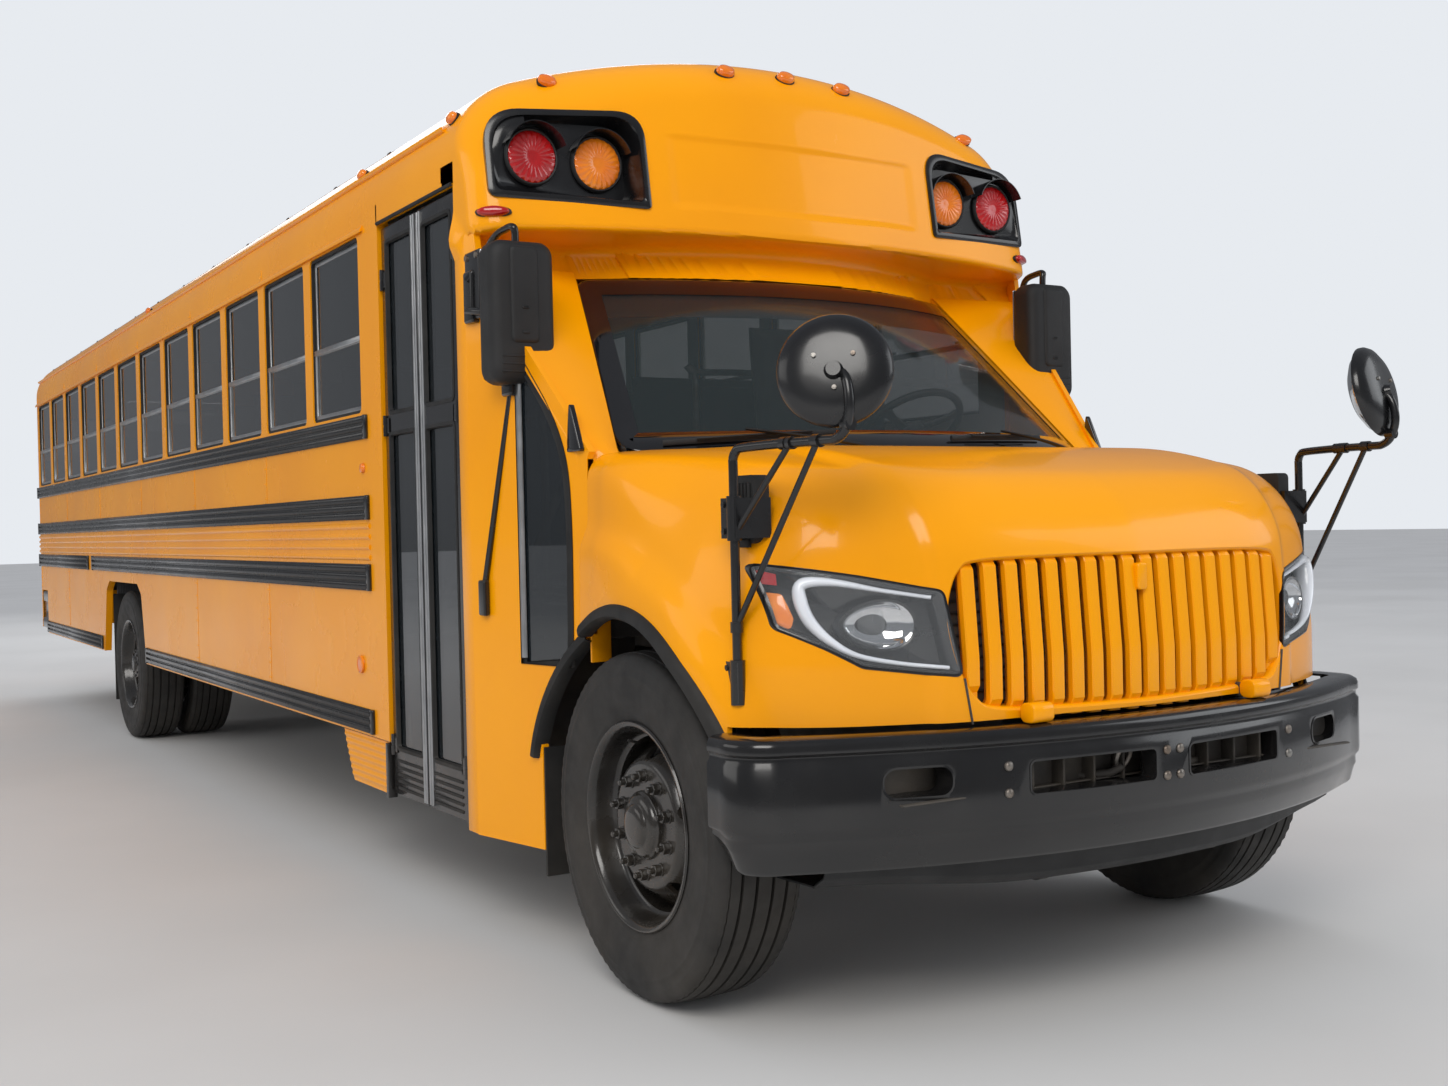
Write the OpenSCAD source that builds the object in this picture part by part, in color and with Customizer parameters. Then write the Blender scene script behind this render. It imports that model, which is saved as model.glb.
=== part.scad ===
/* [Overall] */
// Length from the crossview mirrors to the rear bumper
overall_length = 12150; // [10000:10:14600]
// Width over the body side panels
body_w = 2440; // [2200:10:2950]
// Front axle to rear axle
wheelbase = 7250; // [6000:10:8700]
// Front axle to the front face of the front bumper
front_overhang = 930; // [900:5:1000]
// Reach of the crossview mirrors in front of the front bumper
mirror_reach = 50; // [30:5:120]
// Thickness of the walls, roof and pillars
wall_t = 45; // [30:1:60]

/* [Heights] */
// Floor surface over the wheel hubs
floor_rise = 555; // [540:5:700]
// Crown of the roof over the floor
crown_rise = 2010; // [1900:10:2400]
// Roof seam over the floor
eave_rise = 1730; // [1640:5:1800]
// Window sill over the floor
sill_rise = 786; // [650:2:950]
// Height of the window openings
window_h = 703; // [580:1:800]
// Skirt edge below the floor
skirt_drop = 505; // [420:5:600]
// Edge of the front panels below the floor
front_skirt_drop = 725; // [620:5:750]

/* [Body shape] */
// Radius of the corner between side and roof
roof_corner_r = 300; // [250:5:360]
// Radius of the roof across the body
roof_r = 3500; // [3000:50:5000]
// Front axle to the front edge of the doorway
door_y = 1075; // [1050:5:1150]
// Width of the doorway
door_w = 785; // [700:5:900]
// Top of the doorway over the floor
door_top_rise = 1490; // [1440:5:1560]
// Number of passenger windows on each side
window_count = 12; // [8:1:14]
// Width of the posts between windows
post_w = 100; // [80:1:120]

/* [Wheels] */
// Outer radius of a tyre
tyre_r = 505; // [420:5:610]
// Width of a tyre
tyre_w = 280; // [230:5:300]
// Radius of the rim where the tyre sits
rim_r = 286; // [240:1:340]
// Gap between the outer face of a tyre and the body side, in plan
tyre_inset = 65; // [40:5:90]
// Distance between the middles of twin tyres
twin_pitch = 320; // [310:5:350]
// Running gap between a shaft and its bore
shaft_gap = 0.3; // [0.1:0.1:0.5]

/* [Chassis] */
// Width over the frame rails
frame_w = 865; // [800:5:900]
// Height of a frame rail
rail_h = 254; // [200:2:280]
// Thickness of the rail steel
rail_t = 10; // [6:1:14]
// Bore radius of the four tow eyes
tow_r = 22; // [18:1:26]

/* [Seats] */
// Rows of passenger seats
seat_rows = 13; // [8:1:14]
// Width of a passenger bench
bench_w = 960; // [760:5:990]
// Height of a bench cushion over the floor
cushion_rise = 430; // [400:5:470]
// Height of a bench back over the floor
back_rise = 1010; // [900:5:1100]

/* [Hidden] */
$fn = 64;

// Heights above the ground
hub_z = tyre_r;
floor_z = hub_z + floor_rise;
sill_z = floor_z + sill_rise;
header_z = sill_z + window_h;
eave_z = floor_z + eave_rise;
crown_z = floor_z + crown_rise;
skirt_z = floor_z - skirt_drop;
front_skirt_z = floor_z - front_skirt_drop;
door_top_z = floor_z + door_top_rise;
floor_t = 40;
rail_top_z = floor_z - floor_t - 120;
rail_z = rail_top_z - rail_h;

// Places along the body, measured back from the front axle
nose_y = -front_overhang;
front_y = nose_y - mirror_reach;
tail_y = overall_length + front_y;
axle_y = -overall_length / 2 - front_y;
rear_y = tail_y - 40;
door_end_y = door_y + door_w;
cab_y = 980;
window_start_y = door_end_y + 186;
window_pitch = (rear_y - 80 - window_start_y) / window_count;
window_w = window_pitch - post_w;
cap_end_y = 1180;
cap_y = 700;
cap_lip_z = floor_z + 1340;
cap_lean = 9;
cap_floor_t = 40;
cap_face_r = 4600;

// Places across the body
half_w = body_w / 2;
tyre_face_x = half_w - tyre_inset;
front_tyre_x = tyre_face_x - tyre_w / 2;
kingpin_x = tyre_face_x - 255;
rear_face_x = half_w - 20;
outer_tyre_x = rear_face_x - tyre_w / 2;
inner_tyre_x = outer_tyre_x - twin_pitch;
corner_x = half_w - roof_corner_r;
corner_z = crown_z - roof_r + sqrt(pow(roof_r - roof_corner_r, 2) - pow(corner_x, 2));
tangent_x = corner_x * roof_r / (roof_r - roof_corner_r);

// Clearances
arch_gap = 95;
arch_r = tyre_r + arch_gap;
panel_gap = 12;
leaf_gap = 14;
leaf_t = 38;

// Windscreen: a leaning cylinder, its foot on the centre line at screen_y, screen_z
screen_z = floor_z + 540;
screen_y = 20;
screen_lean = 48.6;
screen_r = 2300;
screen_top_z = screen_z + 635;
screen_foot_inset = 240;
screen_head_inset = 410;
screen_foot_x = half_w - screen_foot_inset;
screen_head_x = half_w - screen_head_inset;

// Hood
hood_t = 25;
hood_end_y = 340;
hood_pivot_y = nose_y + 25;
hood_pivot_z = hub_z + 350;
bumper_z = hub_z - 25;
bumper_h = 350;
bumper_end_y = -tyre_r - 25;

module from_axle(y = 0) {
    translate([0, axle_y + y, 0]) children();
}

module along(y0, y1) {
    translate([0, y1, 0]) rotate([90, 0, 0]) linear_extrude(y1 - y0) children();
}

module across(x0, x1) {
    translate([x0, 0, 0]) rotate([90, 0, 90]) linear_extrude(x1 - x0) children();
}

module block(low, high) {
    translate(low) cube(high - low);
}

module bar_x(x0, x1, r, y, z) {
    translate([x0, y, z]) rotate([0, 90, 0]) cylinder(h = x1 - x0, r = r);
}

module both_sides() {
    children();
    mirror([1, 0, 0]) children();
}

// Cross-section of the body, drawn in x and z, with its wall moved in by t
module body_outline(t, low) {
    translate([-half_w + t, low]) square([body_w - 2 * t, corner_z - low]);
    for (s = [-1, 1]) translate([s * corner_x, corner_z]) circle(roof_corner_r - t, $fn = 96);
    intersection() {
        translate([0, crown_z - roof_r]) circle(roof_r - t, $fn = 360);
        translate([-tangent_x, corner_z - 1]) square([2 * tangent_x, roof_r]);
    }
}

module body_ring(y0, y1, low) {
    along(y0, y1) difference() {
        body_outline(0, low);
        body_outline(wall_t, low - 10);
    }
}

module wheel_arch_cut(y) {
    bar_x(-body_w, body_w, arch_r, y, hub_z);
}

// Rear arch: a trapezoid that reaches up beside the third rub rail
module rear_arch_cut() {
    arch_top_z = hub_z + arch_r - 40;
    from_axle(wheelbase) across(-body_w, body_w) polygon([
        [-arch_r - 180, skirt_z - 50], [-arch_r - 20, arch_top_z - 65], [-arch_r + 90, arch_top_z],
        [arch_r - 90, arch_top_z], [arch_r + 20, arch_top_z - 65], [arch_r + 180, skirt_z - 50]
    ]);
}

module window_openings(x0, x1) {
    for (i = [0 : window_count - 1]) {
        y = window_start_y + post_w / 2 + i * window_pitch;
        from_axle(y) block([x0, 0, sill_z], [x1, window_w, header_z]);
    }
}

// One side wall, drawn on the +x side
module wall_side(y0, y1, low) {
    from_axle() intersection() {
        body_ring(y0, y1, low);
        block([half_w - 200, y0 - 1, low - 1], [half_w + 1, y1 + 1, eave_z]);
    }
}

driver_window_y = [door_y + 70, door_end_y + 20];
driver_window_z = [sill_z - 150, header_z];

module left_side_wall() {
    color("orange") difference() {
        union() {
            wall_side(cab_y + 5, rear_y - wall_t, skirt_z);
            // hinge post of the stop arm
            from_axle() block([half_w - 1, stop_y - 50, stop_z - 100],
                [half_w + rail_depth + 6, stop_y - 18, stop_z + 100]);
        }
        window_openings(0, body_w);
        from_axle() block([0, driver_window_y[0], driver_window_z[0]],
            [body_w, driver_window_y[1], driver_window_z[1]]);
        rear_arch_cut();
        from_axle() block([0, tail_y - 440, 0], [body_w, tail_y, hub_z + 420]);
    }
}

module right_side_wall() {
    color("orange") mirror([1, 0, 0]) difference() {
        union() {
            wall_side(door_end_y, rear_y - wall_t, skirt_z);
            wall_side(door_end_y, door_end_y + 480, front_skirt_z);
            from_axle() intersection() {
                body_ring(cab_y + 5, door_end_y + 1, floor_z);
                block([half_w - 200, cab_y, door_top_z], [half_w + 1, door_end_y + 1, eave_z]);
            }
        }
        window_openings(0, body_w);
        rear_arch_cut();
        from_axle() block([0, tail_y - 440, 0], [body_w, tail_y, hub_z + 420]);
    }
}

module roof() {
    color("white") from_axle() intersection() {
        body_ring(cap_end_y, rear_y - wall_t, floor_z);
        block([-body_w, cap_end_y, eave_z], [body_w, tail_y, crown_z + 10]);
    }
}

// Front of the cap: a big cylinder that leans back
module cap_face(t) {
    translate([0, cap_y + t, cap_lip_z]) rotate([-cap_lean, 0, 0])
        translate([0, cap_face_r, -1500]) cylinder(h = 3500, r = cap_face_r, $fn = 360);
}

function roof_at(x) = crown_z - roof_r + sqrt(pow(roof_r, 2) - pow(x, 2));
function cap_at(x, z) = cap_y + (z - cap_lip_z) * tan(cap_lean)
    + (cap_face_r - sqrt(pow(cap_face_r, 2) - pow(x, 2))) / cos(cap_lean);

module front_cap() {
    color("orange") from_axle() difference() {
        intersection() {
            along(500, cap_end_y) body_outline(0, floor_z);
            cap_face(0);
            block([-body_w, 500, cap_lip_z - cap_floor_t], [body_w, cap_end_y, crown_z + 10]);
        }
        intersection() {
            along(400, cap_end_y + 10) body_outline(wall_t, floor_z);
            cap_face(wall_t);
            block([-body_w, 400, cap_lip_z], [body_w, cap_end_y + 10, crown_z]);
        }
        // its floor ends at the pillars and top rail round the glass
        screen_cylinder(screen_r, -0.5);
        block([-body_w, cab_y, 0], [body_w, cap_end_y + 10, eave_z + 1]);
    }
}

// Plan of the cab in front of the doorway, drawn in x and y, moved in by t
module cab_plan(t) {
    nose_x = half_w - 130;
    polygon([
        [-half_w + t, door_y - 5], [-half_w + t, cab_y], [-nose_x + t, hood_end_y + panel_gap],
        [nose_x - t, hood_end_y + panel_gap], [half_w - t, cab_y], [half_w - t, door_y - 5]
    ]);
}

module screen_cylinder(r, t) {
    translate([0, screen_y, screen_z]) rotate([-screen_lean, 0, 0])
        translate([0, r, -1500]) cylinder(h = 4000, r = r - t, $fn = 360);
}

// Outline of the glass from the front, drawn in x and z, made larger by t
module screen_outline(t) {
    polygon([
        [-screen_foot_x - t, screen_z - t], [screen_foot_x + t, screen_z - t],
        [screen_head_x + t, screen_top_z + t], [-screen_head_x - t, screen_top_z + t]
    ]);
}

module windshield() {
    color([0.3, 0.4, 0.4, 0.4]) from_axle() intersection() {
        difference() {
            screen_cylinder(screen_r, 10);
            screen_cylinder(screen_r, 18);
        }
        along(-300, 1400) screen_outline(0);
    }
}

// Side panel of the cab in y and z: it stops at a line up beside the glass
module side_panel_profile() {
    top = cap_lip_z - cap_floor_t - 1;
    polygon([
        [hood_end_y, 0], [hood_end_y, screen_z], [cab_y - 60, screen_top_z + 14],
        [cab_y - 30, top], [door_y, top], [door_y, 0]
    ]);
}

// Narrow glass beside the driver's feet, in y and z, made larger by t
module side_glass_profile(t) {
    y = [hood_end_y + 90 - t, hood_end_y + 370 + t];
    z = [floor_z - 130 - t, floor_z + 880 + t];
    polygon([[y[0], z[0]], [y[1], z[0]], [y[1], z[1]], [y[1] - 40, z[1]], [y[0], screen_z - 20]]);
}

module cowl() {
    deck_z = screen_z - 60;
    color("orange") from_axle() difference() {
        union() {
            // side panels down to the skirt, and the door posts
            intersection() {
                translate([0, 0, front_skirt_z]) linear_extrude(cap_lip_z - front_skirt_z)
                    difference() {
                        cab_plan(0);
                        cab_plan(wall_t);
                        translate([-half_w + 170, 0]) square([body_w - 340, 2000]);
                    }
                across(-body_w, body_w) side_panel_profile();
            }
            // front post of the doorway, up to the header
            mirror([1, 0, 0]) intersection() {
                body_ring(cab_y + 5, door_y - 5, floor_z);
                block([half_w - 200, cab_y + 5, floor_z], [half_w + 1, door_y - 5, door_top_z]);
            }
            // pillars and top rail round the glass
            intersection() {
                difference() {
                    screen_cylinder(screen_r, 0);
                    screen_cylinder(screen_r, wall_t);
                }
                translate([0, 0, screen_z - 40])
                    linear_extrude(cap_lip_z - cap_floor_t - 1 - screen_z + 40) union() {
                        cab_plan(0);
                        translate([-half_w + 130, -200]) square([body_w - 260, 620]);
                    }
            }
            // deck under the glass and the bulkhead behind the engine
            intersection() {
                translate([0, 0, deck_z]) linear_extrude(25)
                    translate([-half_w + 130, -200]) square([body_w - 260, 600]);
                screen_cylinder(screen_r, 20);
            }
            block([-half_w + 175, 375, floor_z - floor_t], [half_w - 175, 400, deck_z]);
        }
        along(-300, 1400) screen_outline(0.5);
        across(-body_w, body_w) side_glass_profile(0);
        wheel_arch_cut(0);
        // room for the mud flaps, and for the side wall behind the driver's post
        both_sides() block([half_w - 400, -arch_r, 0], [half_w, flap_y[1], flap_z[1] + panel_gap]);
        block([half_w - 200, cab_y + 4, 0], [half_w + 10, 2000, crown_z]);
        mirror([1, 0, 0]) block([half_w - 200, door_y - 5, 0], [half_w + 10, 2000, crown_z]);
    }
}

rear_door_w = 900;
rear_door_z = [floor_z - 30, floor_z + 1570];

module rear_wall() {
    color("orange") from_axle() difference() {
        along(rear_y - wall_t, rear_y) body_outline(0, skirt_z + 40);
        block([-rear_door_w / 2, rear_y - 100, rear_door_z[0]],
            [rear_door_w / 2, rear_y + 10, rear_door_z[1]]);
        both_sides() block([560, rear_y - 100, sill_z], [half_w - 110, rear_y + 10, header_z]);
        for (s = [-1, 1]) translate([820 + s * 89, rear_y - 100, floor_z + 300])
            rotate([-90, 0, 0]) cylinder(h = 200, r = 3.5);
    }
}

// Boxes over the twin rear wheels, each let into the floor
well_w = twin_pitch + tyre_w + 60;
well_x = half_w - wall_t - 1 - well_w;
well_top = 2 * tyre_r + 90;
well_t = 20;

module wheel_well_space(gap, top) {
    both_sides() block([well_x - gap, wheelbase - arch_r - gap, 0],
        [half_w - wall_t - 1 + gap, wheelbase + arch_r + gap, top]);
}

module wheel_boxes() {
    color("dimgray") from_axle() difference() {
        wheel_well_space(0, well_top);
        wheel_well_space(-well_t, well_top - well_t);
        both_sides() block([half_w - wall_t - 2 - well_t, 0, 0], [body_w, rear_y, hub_z + arch_r - 40]);
        block([-body_w, 0, 0], [body_w, rear_y, floor_z - floor_t - 50]);
    }
}

module floor() {
    sill_count = 9;
    sill_pitch = (rear_y - 2100) / (sill_count - 1);
    edge_x = half_w - wall_t - 1;
    color("dimgray") from_axle() difference() {
        union() {
            block([-edge_x, 401, floor_z - floor_t], [edge_x, rear_y - wall_t - 1, floor_z]);
            // cross sills between the rails and the deck
            for (i = [0 : sill_count - 1]) {
                y = 1900 + i * sill_pitch;
                block([-edge_x, y, floor_z - floor_t - 50], [edge_x, y + 60, floor_z - floor_t]);
            }
        }
        wheel_well_space(1, crown_z);
        mirror([1, 0, 0]) block([half_w - 670, door_y - 10, 0], [half_w, door_end_y + 10, crown_z]);
        // the floor narrows with the cab in front of the doorway
        both_sides() linear_extrude(crown_z) polygon([
            [half_w, 300], [half_w, cab_y], [edge_x - 1, cab_y],
            [half_w - 130 - wall_t - panel_gap, hood_end_y]
        ]);
    }
}

module stepwell() {
    step_h = (floor_z - front_skirt_z - 85) / 2;
    step_d = 290;
    x0 = -half_w + 88;
    low = front_skirt_z + 60;
    sheet = 12;
    ends = [door_y + 2, door_end_y - 2];
    color("gray") from_axle() union() {
        block([x0, ends[0], low], [x0 + step_d, ends[1], low + sheet]);
        block([x0 + step_d - sheet, ends[0], low], [x0 + step_d, ends[1], low + step_h]);
        block([x0 + step_d - sheet, ends[0], low + step_h - sheet],
            [x0 + 2 * step_d, ends[1], low + step_h]);
        block([x0 + 2 * step_d - sheet, ends[0], low + step_h - sheet],
            [x0 + 2 * step_d, ends[1], floor_z - 1]);
        for (y = [ends[0], ends[1] - sheet])
            block([x0, y, low], [x0 + 2 * step_d, y + sheet, floor_z - floor_t - 60]);
    }
}

module side_sash(y, w, z0, z1, bar_rise) {
    edge = 22;
    x0 = half_w - 34;
    x1 = half_w - 8;
    difference() {
        block([x0, y + 0.5, z0 + 0.5], [x1, y + w - 0.5, z1 - 0.5]);
        block([x0 - 1, y + edge, z0 + edge], [x1 + 1, y + w - edge, z0 + bar_rise - edge / 2]);
        block([x0 - 1, y + edge, z0 + bar_rise + edge / 2], [x1 + 1, y + w - edge, z1 - edge]);
    }
}

module side_pane(y, w, z0, z1) {
    edge = 22;
    block([half_w - 24, y + edge, z0 + edge], [half_w - 18, y + w - edge, z1 - edge]);
}

module each_window() {
    for (i = [0 : window_count - 1]) {
        $pane = [window_start_y + post_w / 2 + i * window_pitch, window_w, sill_z, header_z];
        children();
    }
}

module window_frames() {
    color("silver") from_axle() {
        both_sides() each_window() side_sash($pane[0], $pane[1], $pane[2], $pane[3], 300);
        side_sash(driver_window_y[0], driver_window_y[1] - driver_window_y[0],
            driver_window_z[0], driver_window_z[1], 420);
    }
}

module window_glass() {
    color([0.3, 0.4, 0.4, 0.4]) from_axle() {
        both_sides() each_window() difference() {
            side_pane($pane[0], $pane[1], $pane[2], $pane[3]);
            block([0, 0, sill_z + 289], [body_w, rear_y, sill_z + 311]);
        }
        difference() {
            side_pane(driver_window_y[0], driver_window_y[1] - driver_window_y[0],
                driver_window_z[0], driver_window_z[1]);
            block([0, 0, driver_window_z[0] + 409], [body_w, rear_y, driver_window_z[0] + 431]);
        }
        both_sides() block([560, rear_y - 30, sill_z], [half_w - 110, rear_y - 22, header_z]);
        both_sides() intersection() {
            linear_extrude(crown_z) difference() {
                cab_plan(16);
                cab_plan(22);
            }
            across(0, body_w) side_glass_profile(0);
        }
    }
}

rail_depth = 14;

module rub_rail(y0, y1, z0, z1) {
    block([half_w, y0, z0], [half_w + rail_depth, y1, z1]);
}

module rub_rail_set(front_y) {
    arch_front = wheelbase - arch_r - 60;
    arch_back = wheelbase + arch_r + 60;
    rub_rail(front_y, rear_y, sill_z - 106, sill_z - 12);
    rub_rail(front_y, rear_y, floor_z + 359, floor_z + 455);
    rub_rail(front_y, rear_y, floor_z + 76, floor_z + 181);
    rub_rail(front_y, arch_front - 110, skirt_z + 10, skirt_z + 106);
    rub_rail(arch_back + 130, tail_y - 442, skirt_z + 10, skirt_z + 106);
}

module rub_rails() {
    color("black") from_axle() {
        rub_rail_set(door_y + 80);
        mirror([1, 0, 0]) rub_rail_set(door_end_y + 165);
    }
}

module bumper_plan(t) {
    curve_r = 2600;
    intersection() {
        translate([0, nose_y + t + curve_r]) circle(curve_r, $fn = 360);
        translate([-half_w + 10 + t, -1200]) square([body_w - 20 - 2 * t, 1200]);
    }
}

module front_bumper() {
    skin = 8;
    depth = 70;
    color("black") from_axle() difference() {
        translate([0, 0, bumper_z]) linear_extrude(bumper_h) difference() {
            bumper_plan(0);
            bumper_plan(depth);
            translate([-body_w, bumper_end_y]) square([2 * body_w, 2000]);
        }
        translate([0, 0, bumper_z + skin]) linear_extrude(bumper_h - 2 * skin) difference() {
            bumper_plan(skin);
            translate([-body_w, bumper_end_y - skin]) square([2 * body_w, 2000]);
        }
        both_sides() block([60, nose_y - 10, bumper_z + 190], [480, nose_y + 200, bumper_z + 250]);
        both_sides() block([700, nose_y - 10, bumper_z + 190], [865, nose_y + 400, bumper_z + 250]);
    }
}

module rear_bumper() {
    skin = 10;
    z0 = hub_z + 85;
    z1 = z0 + 330;
    color("black") from_axle() difference() {
        block([-half_w, tail_y - 438, z0], [half_w, tail_y, z1]);
        block([-half_w + skin, tail_y - 500, z0 + skin], [half_w - skin, tail_y - skin, z1 - skin]);
        block([-half_w + wall_t + 5, tail_y - 500, z0 - 1], [half_w - wall_t - 5, rear_y + 1, z1 + 1]);
        block([-half_w - 1, rear_y - wall_t - 1, z0 - 1], [half_w + 1, rear_y + 1, z1 + 1]);
    }
}

// Front mud flaps, from front to back and from their edge up
flap_y = [arch_r + 2, arch_r + 12];
flap_z = [hub_z - 255, hub_z + 160];

module mud_flaps() {
    color("black") from_axle() {
        both_sides() block([half_w - 360, flap_y[0], flap_z[0]], [half_w - 80, flap_y[1], flap_z[1]]);
        both_sides() block([half_w - 640, wheelbase + arch_r + 40, hub_z - 300],
            [half_w - 50, wheelbase + arch_r + 50, floor_z - floor_t - 52]);
    }
}

module channel_rail(y0, y1) {
    x1 = frame_w / 2;
    difference() {
        block([x1 - 80, y0, rail_z], [x1, y1, rail_top_z]);
        block([x1 - 81, y0 - 1, rail_z + rail_t], [x1 - rail_t, y1 + 1, rail_top_z - rail_t]);
    }
}

// Eye plate with a cross bore, its outline drawn in y and z
module tow_eye(x, y, z, stem_z) {
    translate([x - 15, y, z]) difference() {
        union() {
            rotate([0, 90, 0]) cylinder(h = 30, r = tow_r + 22);
            block([0, -40, 0], [30, 40, stem_z - z]);
        }
        translate([-1, 0, 0]) rotate([0, 90, 0]) cylinder(h = 32, r = tow_r);
    }
}

tow_x = 330;
front_tow_y = nose_y + 136;
rear_tow_y = tail_y - 130;
tow_z = hub_z - 75;

module frame_rails() {
    front = nose_y + 150;
    back = rear_y - 60;
    cross_ys = [front + 60, 500, 1900, 3400, 4900, wheelbase - 700, wheelbase + arch_r + 100, back - 80];
    color("dimgray") from_axle() union() {
        both_sides() channel_rail(front, back);
        for (y = cross_ys) block([-frame_w / 2 + rail_t / 2, y, rail_z + 40],
            [frame_w / 2 - rail_t / 2, y + 60, rail_z + 150]);
        both_sides() {
            tow_eye(tow_x, front_tow_y, tow_z, rail_z + 60);
            tow_eye(tow_x, rear_tow_y, tow_z, rail_z + 60);
            block([tow_x - 15, front_tow_y - 40, rail_z], [frame_w / 2 - 5, front_tow_y + 40, rail_z + 60]);
            block([tow_x - 15, rear_tow_y - 40, rail_z], [frame_w / 2 - 5, rear_tow_y + 40, rail_z + 60]);
            // hinge arms of the hood
            block([frame_w / 2 - 40, hood_pivot_y - 15, hood_pivot_z - 20],
                [frame_w / 2 - 10, front + 60, hood_pivot_z + 16]);
            bar_x(frame_w / 2 - 40, frame_w / 2 + 20, 12, hood_pivot_y, hood_pivot_z);
        }
    }
}

axle_drop = 60;

module front_axle() {
    boss_h = 120;
    color("dimgray") from_axle() difference() {
        union() {
            block([-kingpin_x + 55, -45, hub_z - axle_drop - 60], [kingpin_x - 55, 45, hub_z - axle_drop + 20]);
            both_sides() translate([kingpin_x, 0, hub_z - boss_h / 2]) cylinder(h = boss_h, r = 48);
            both_sides() block([kingpin_x - 100, -40, hub_z - 60], [kingpin_x - 20, 40, hub_z + 20]);
        }
        both_sides() translate([kingpin_x, 0, 0]) cylinder(h = 2 * hub_z, r = 22);
    }
}

module rear_axle() {
    tube_r = 70;
    color("dimgray") from_axle(wheelbase) union() {
        bar_x(-inner_tyre_x + 20, inner_tyre_x - 20, tube_r, 0, hub_z);
        bar_x(-90, 90, 205, 0, hub_z);
        bar_x(-150, 150, 150, 0, hub_z);
        bar_x(-outer_tyre_x - 60, outer_tyre_x + 60, 50, 0, hub_z);
        // spring seats
        both_sides() block([spring_x - 60, -110, hub_z], [spring_x + 60, 110, hub_z + spring_pad]);
    }
}

spring_x = frame_w / 2 - 40;
spring_pad = 78;

module leaf_pack(y, z, half_len) {
    for (i = [0 : 3]) block([spring_x - 38, y - half_len + i * 110, z + i * 14],
        [spring_x + 38, y + half_len - i * 110, z + i * 14 + 14]);
    for (s = [-1, 1]) block([spring_x - 30, y + s * (half_len - 40) - 40, z + 14],
        [spring_x + 30, y + s * (half_len - 40) + 40, rail_z]);
}

module leaf_springs() {
    color("dimgray") from_axle() both_sides() {
        leaf_pack(0, hub_z - axle_drop + 20, 560);
        leaf_pack(wheelbase, hub_z + spring_pad, 640);
    }
}

module engine_block() {
    color("gray") from_axle() block([-330, -560, rail_z + 60], [330, 330, floor_z + 330]);
}

module drive_shaft() {
    shaft_z = rail_z + 110;
    color("gray") from_axle() union() {
        along(332, 480) translate([0, shaft_z]) circle(180);
        block([-150, 330, shaft_z - 190], [150, 498, shaft_z + 100]);
        along(480, wheelbase - 208) translate([0, hub_z + 20]) circle(55);
    }
}

module fuel_tank() {
    y0 = wheelbase + arch_r + 160;
    y1 = rear_y - 900;
    color("dimgray") from_axle() block([-frame_w / 2 + 90, y0, rail_z - 60],
        [frame_w / 2 - 90, y1, rail_top_z - 20]);
}

module exhaust() {
    pipe_x = frame_w / 2 + 145;
    pipe_z = rail_z + 60;
    color("gray") from_axle() union() {
        along(1000, wheelbase - 900) translate([pipe_x, pipe_z]) circle(50);
        along(3000, 4300) translate([pipe_x, pipe_z]) circle(125);
    }
}

module bench(x0, x1, y) {
    cushion_z = floor_z + cushion_rise;
    union() {
        block([x0, y - 380, cushion_z - 120], [x1, y, cushion_z]);
        block([x0, y - 20, cushion_z - 60], [x1, y + 90, floor_z + back_rise]);
        for (dy = [-330, -40]) block([x0 + 90, y + dy, floor_z + 0.5], [x0 + 130, y + dy + 40, cushion_z - 100]);
        block([x0 + 90, y - 330, cushion_z - 150], [x1, y, cushion_z - 118]);
    }
}

module passenger_seats() {
    inner = half_w - wall_t - 3;
    first = door_end_y + 560;
    pitch = (rear_y - wall_t - 110 - first) / (seat_rows - 1);
    color("darkblue") from_axle() both_sides() for (i = [0 : seat_rows - 1])
        bench(inner - bench_w, inner, first + i * pitch);
}

driver_x = 560;
driver_y = 1330;

module driver_seat() {
    w = 460;
    z = floor_z + 400;
    color("dimgray") from_axle() union() {
        block([driver_x - w / 2, driver_y - 240, z], [driver_x + w / 2, driver_y + 240, z + 110]);
        block([driver_x - w / 2, driver_y + 180, z + 60], [driver_x + w / 2, driver_y + 300, z + 720]);
        block([driver_x - 160, driver_y - 180, floor_z + 0.5], [driver_x + 160, driver_y + 200, z + 10]);
    }
}

module dashboard() {
    depth = 250;
    top = screen_z - 62;
    color("dimgray") from_axle() union() {
        block([-half_w + 180, 401, floor_z + 260], [half_w - 180, 401 + depth, top - 20]);
        block([driver_x - 260, 401, floor_z + 260], [driver_x + 260, 401 + depth + 60, top]);
    }
}

wheel_tilt = 38;
wheel_centre = [driver_x, driver_y - 480, floor_z + 660];

module steering_wheel() {
    rim_centre_r = 215;
    color("black") from_axle() translate(wheel_centre) rotate([-wheel_tilt, 0, 0]) union() {
        rotate_extrude() translate([rim_centre_r, 0]) circle(16, $fn = 24);
        for (a = [90, 210, 330]) rotate([0, 0, a]) block([20, -16, -10], [rim_centre_r, 16, 4]);
        translate([0, 0, -30]) cylinder(h = 40, r = 55);
        translate([0, 0, -110]) cylinder(h = 100, r = 26);
    }
}

mirror_x = half_w + 45;

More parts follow.
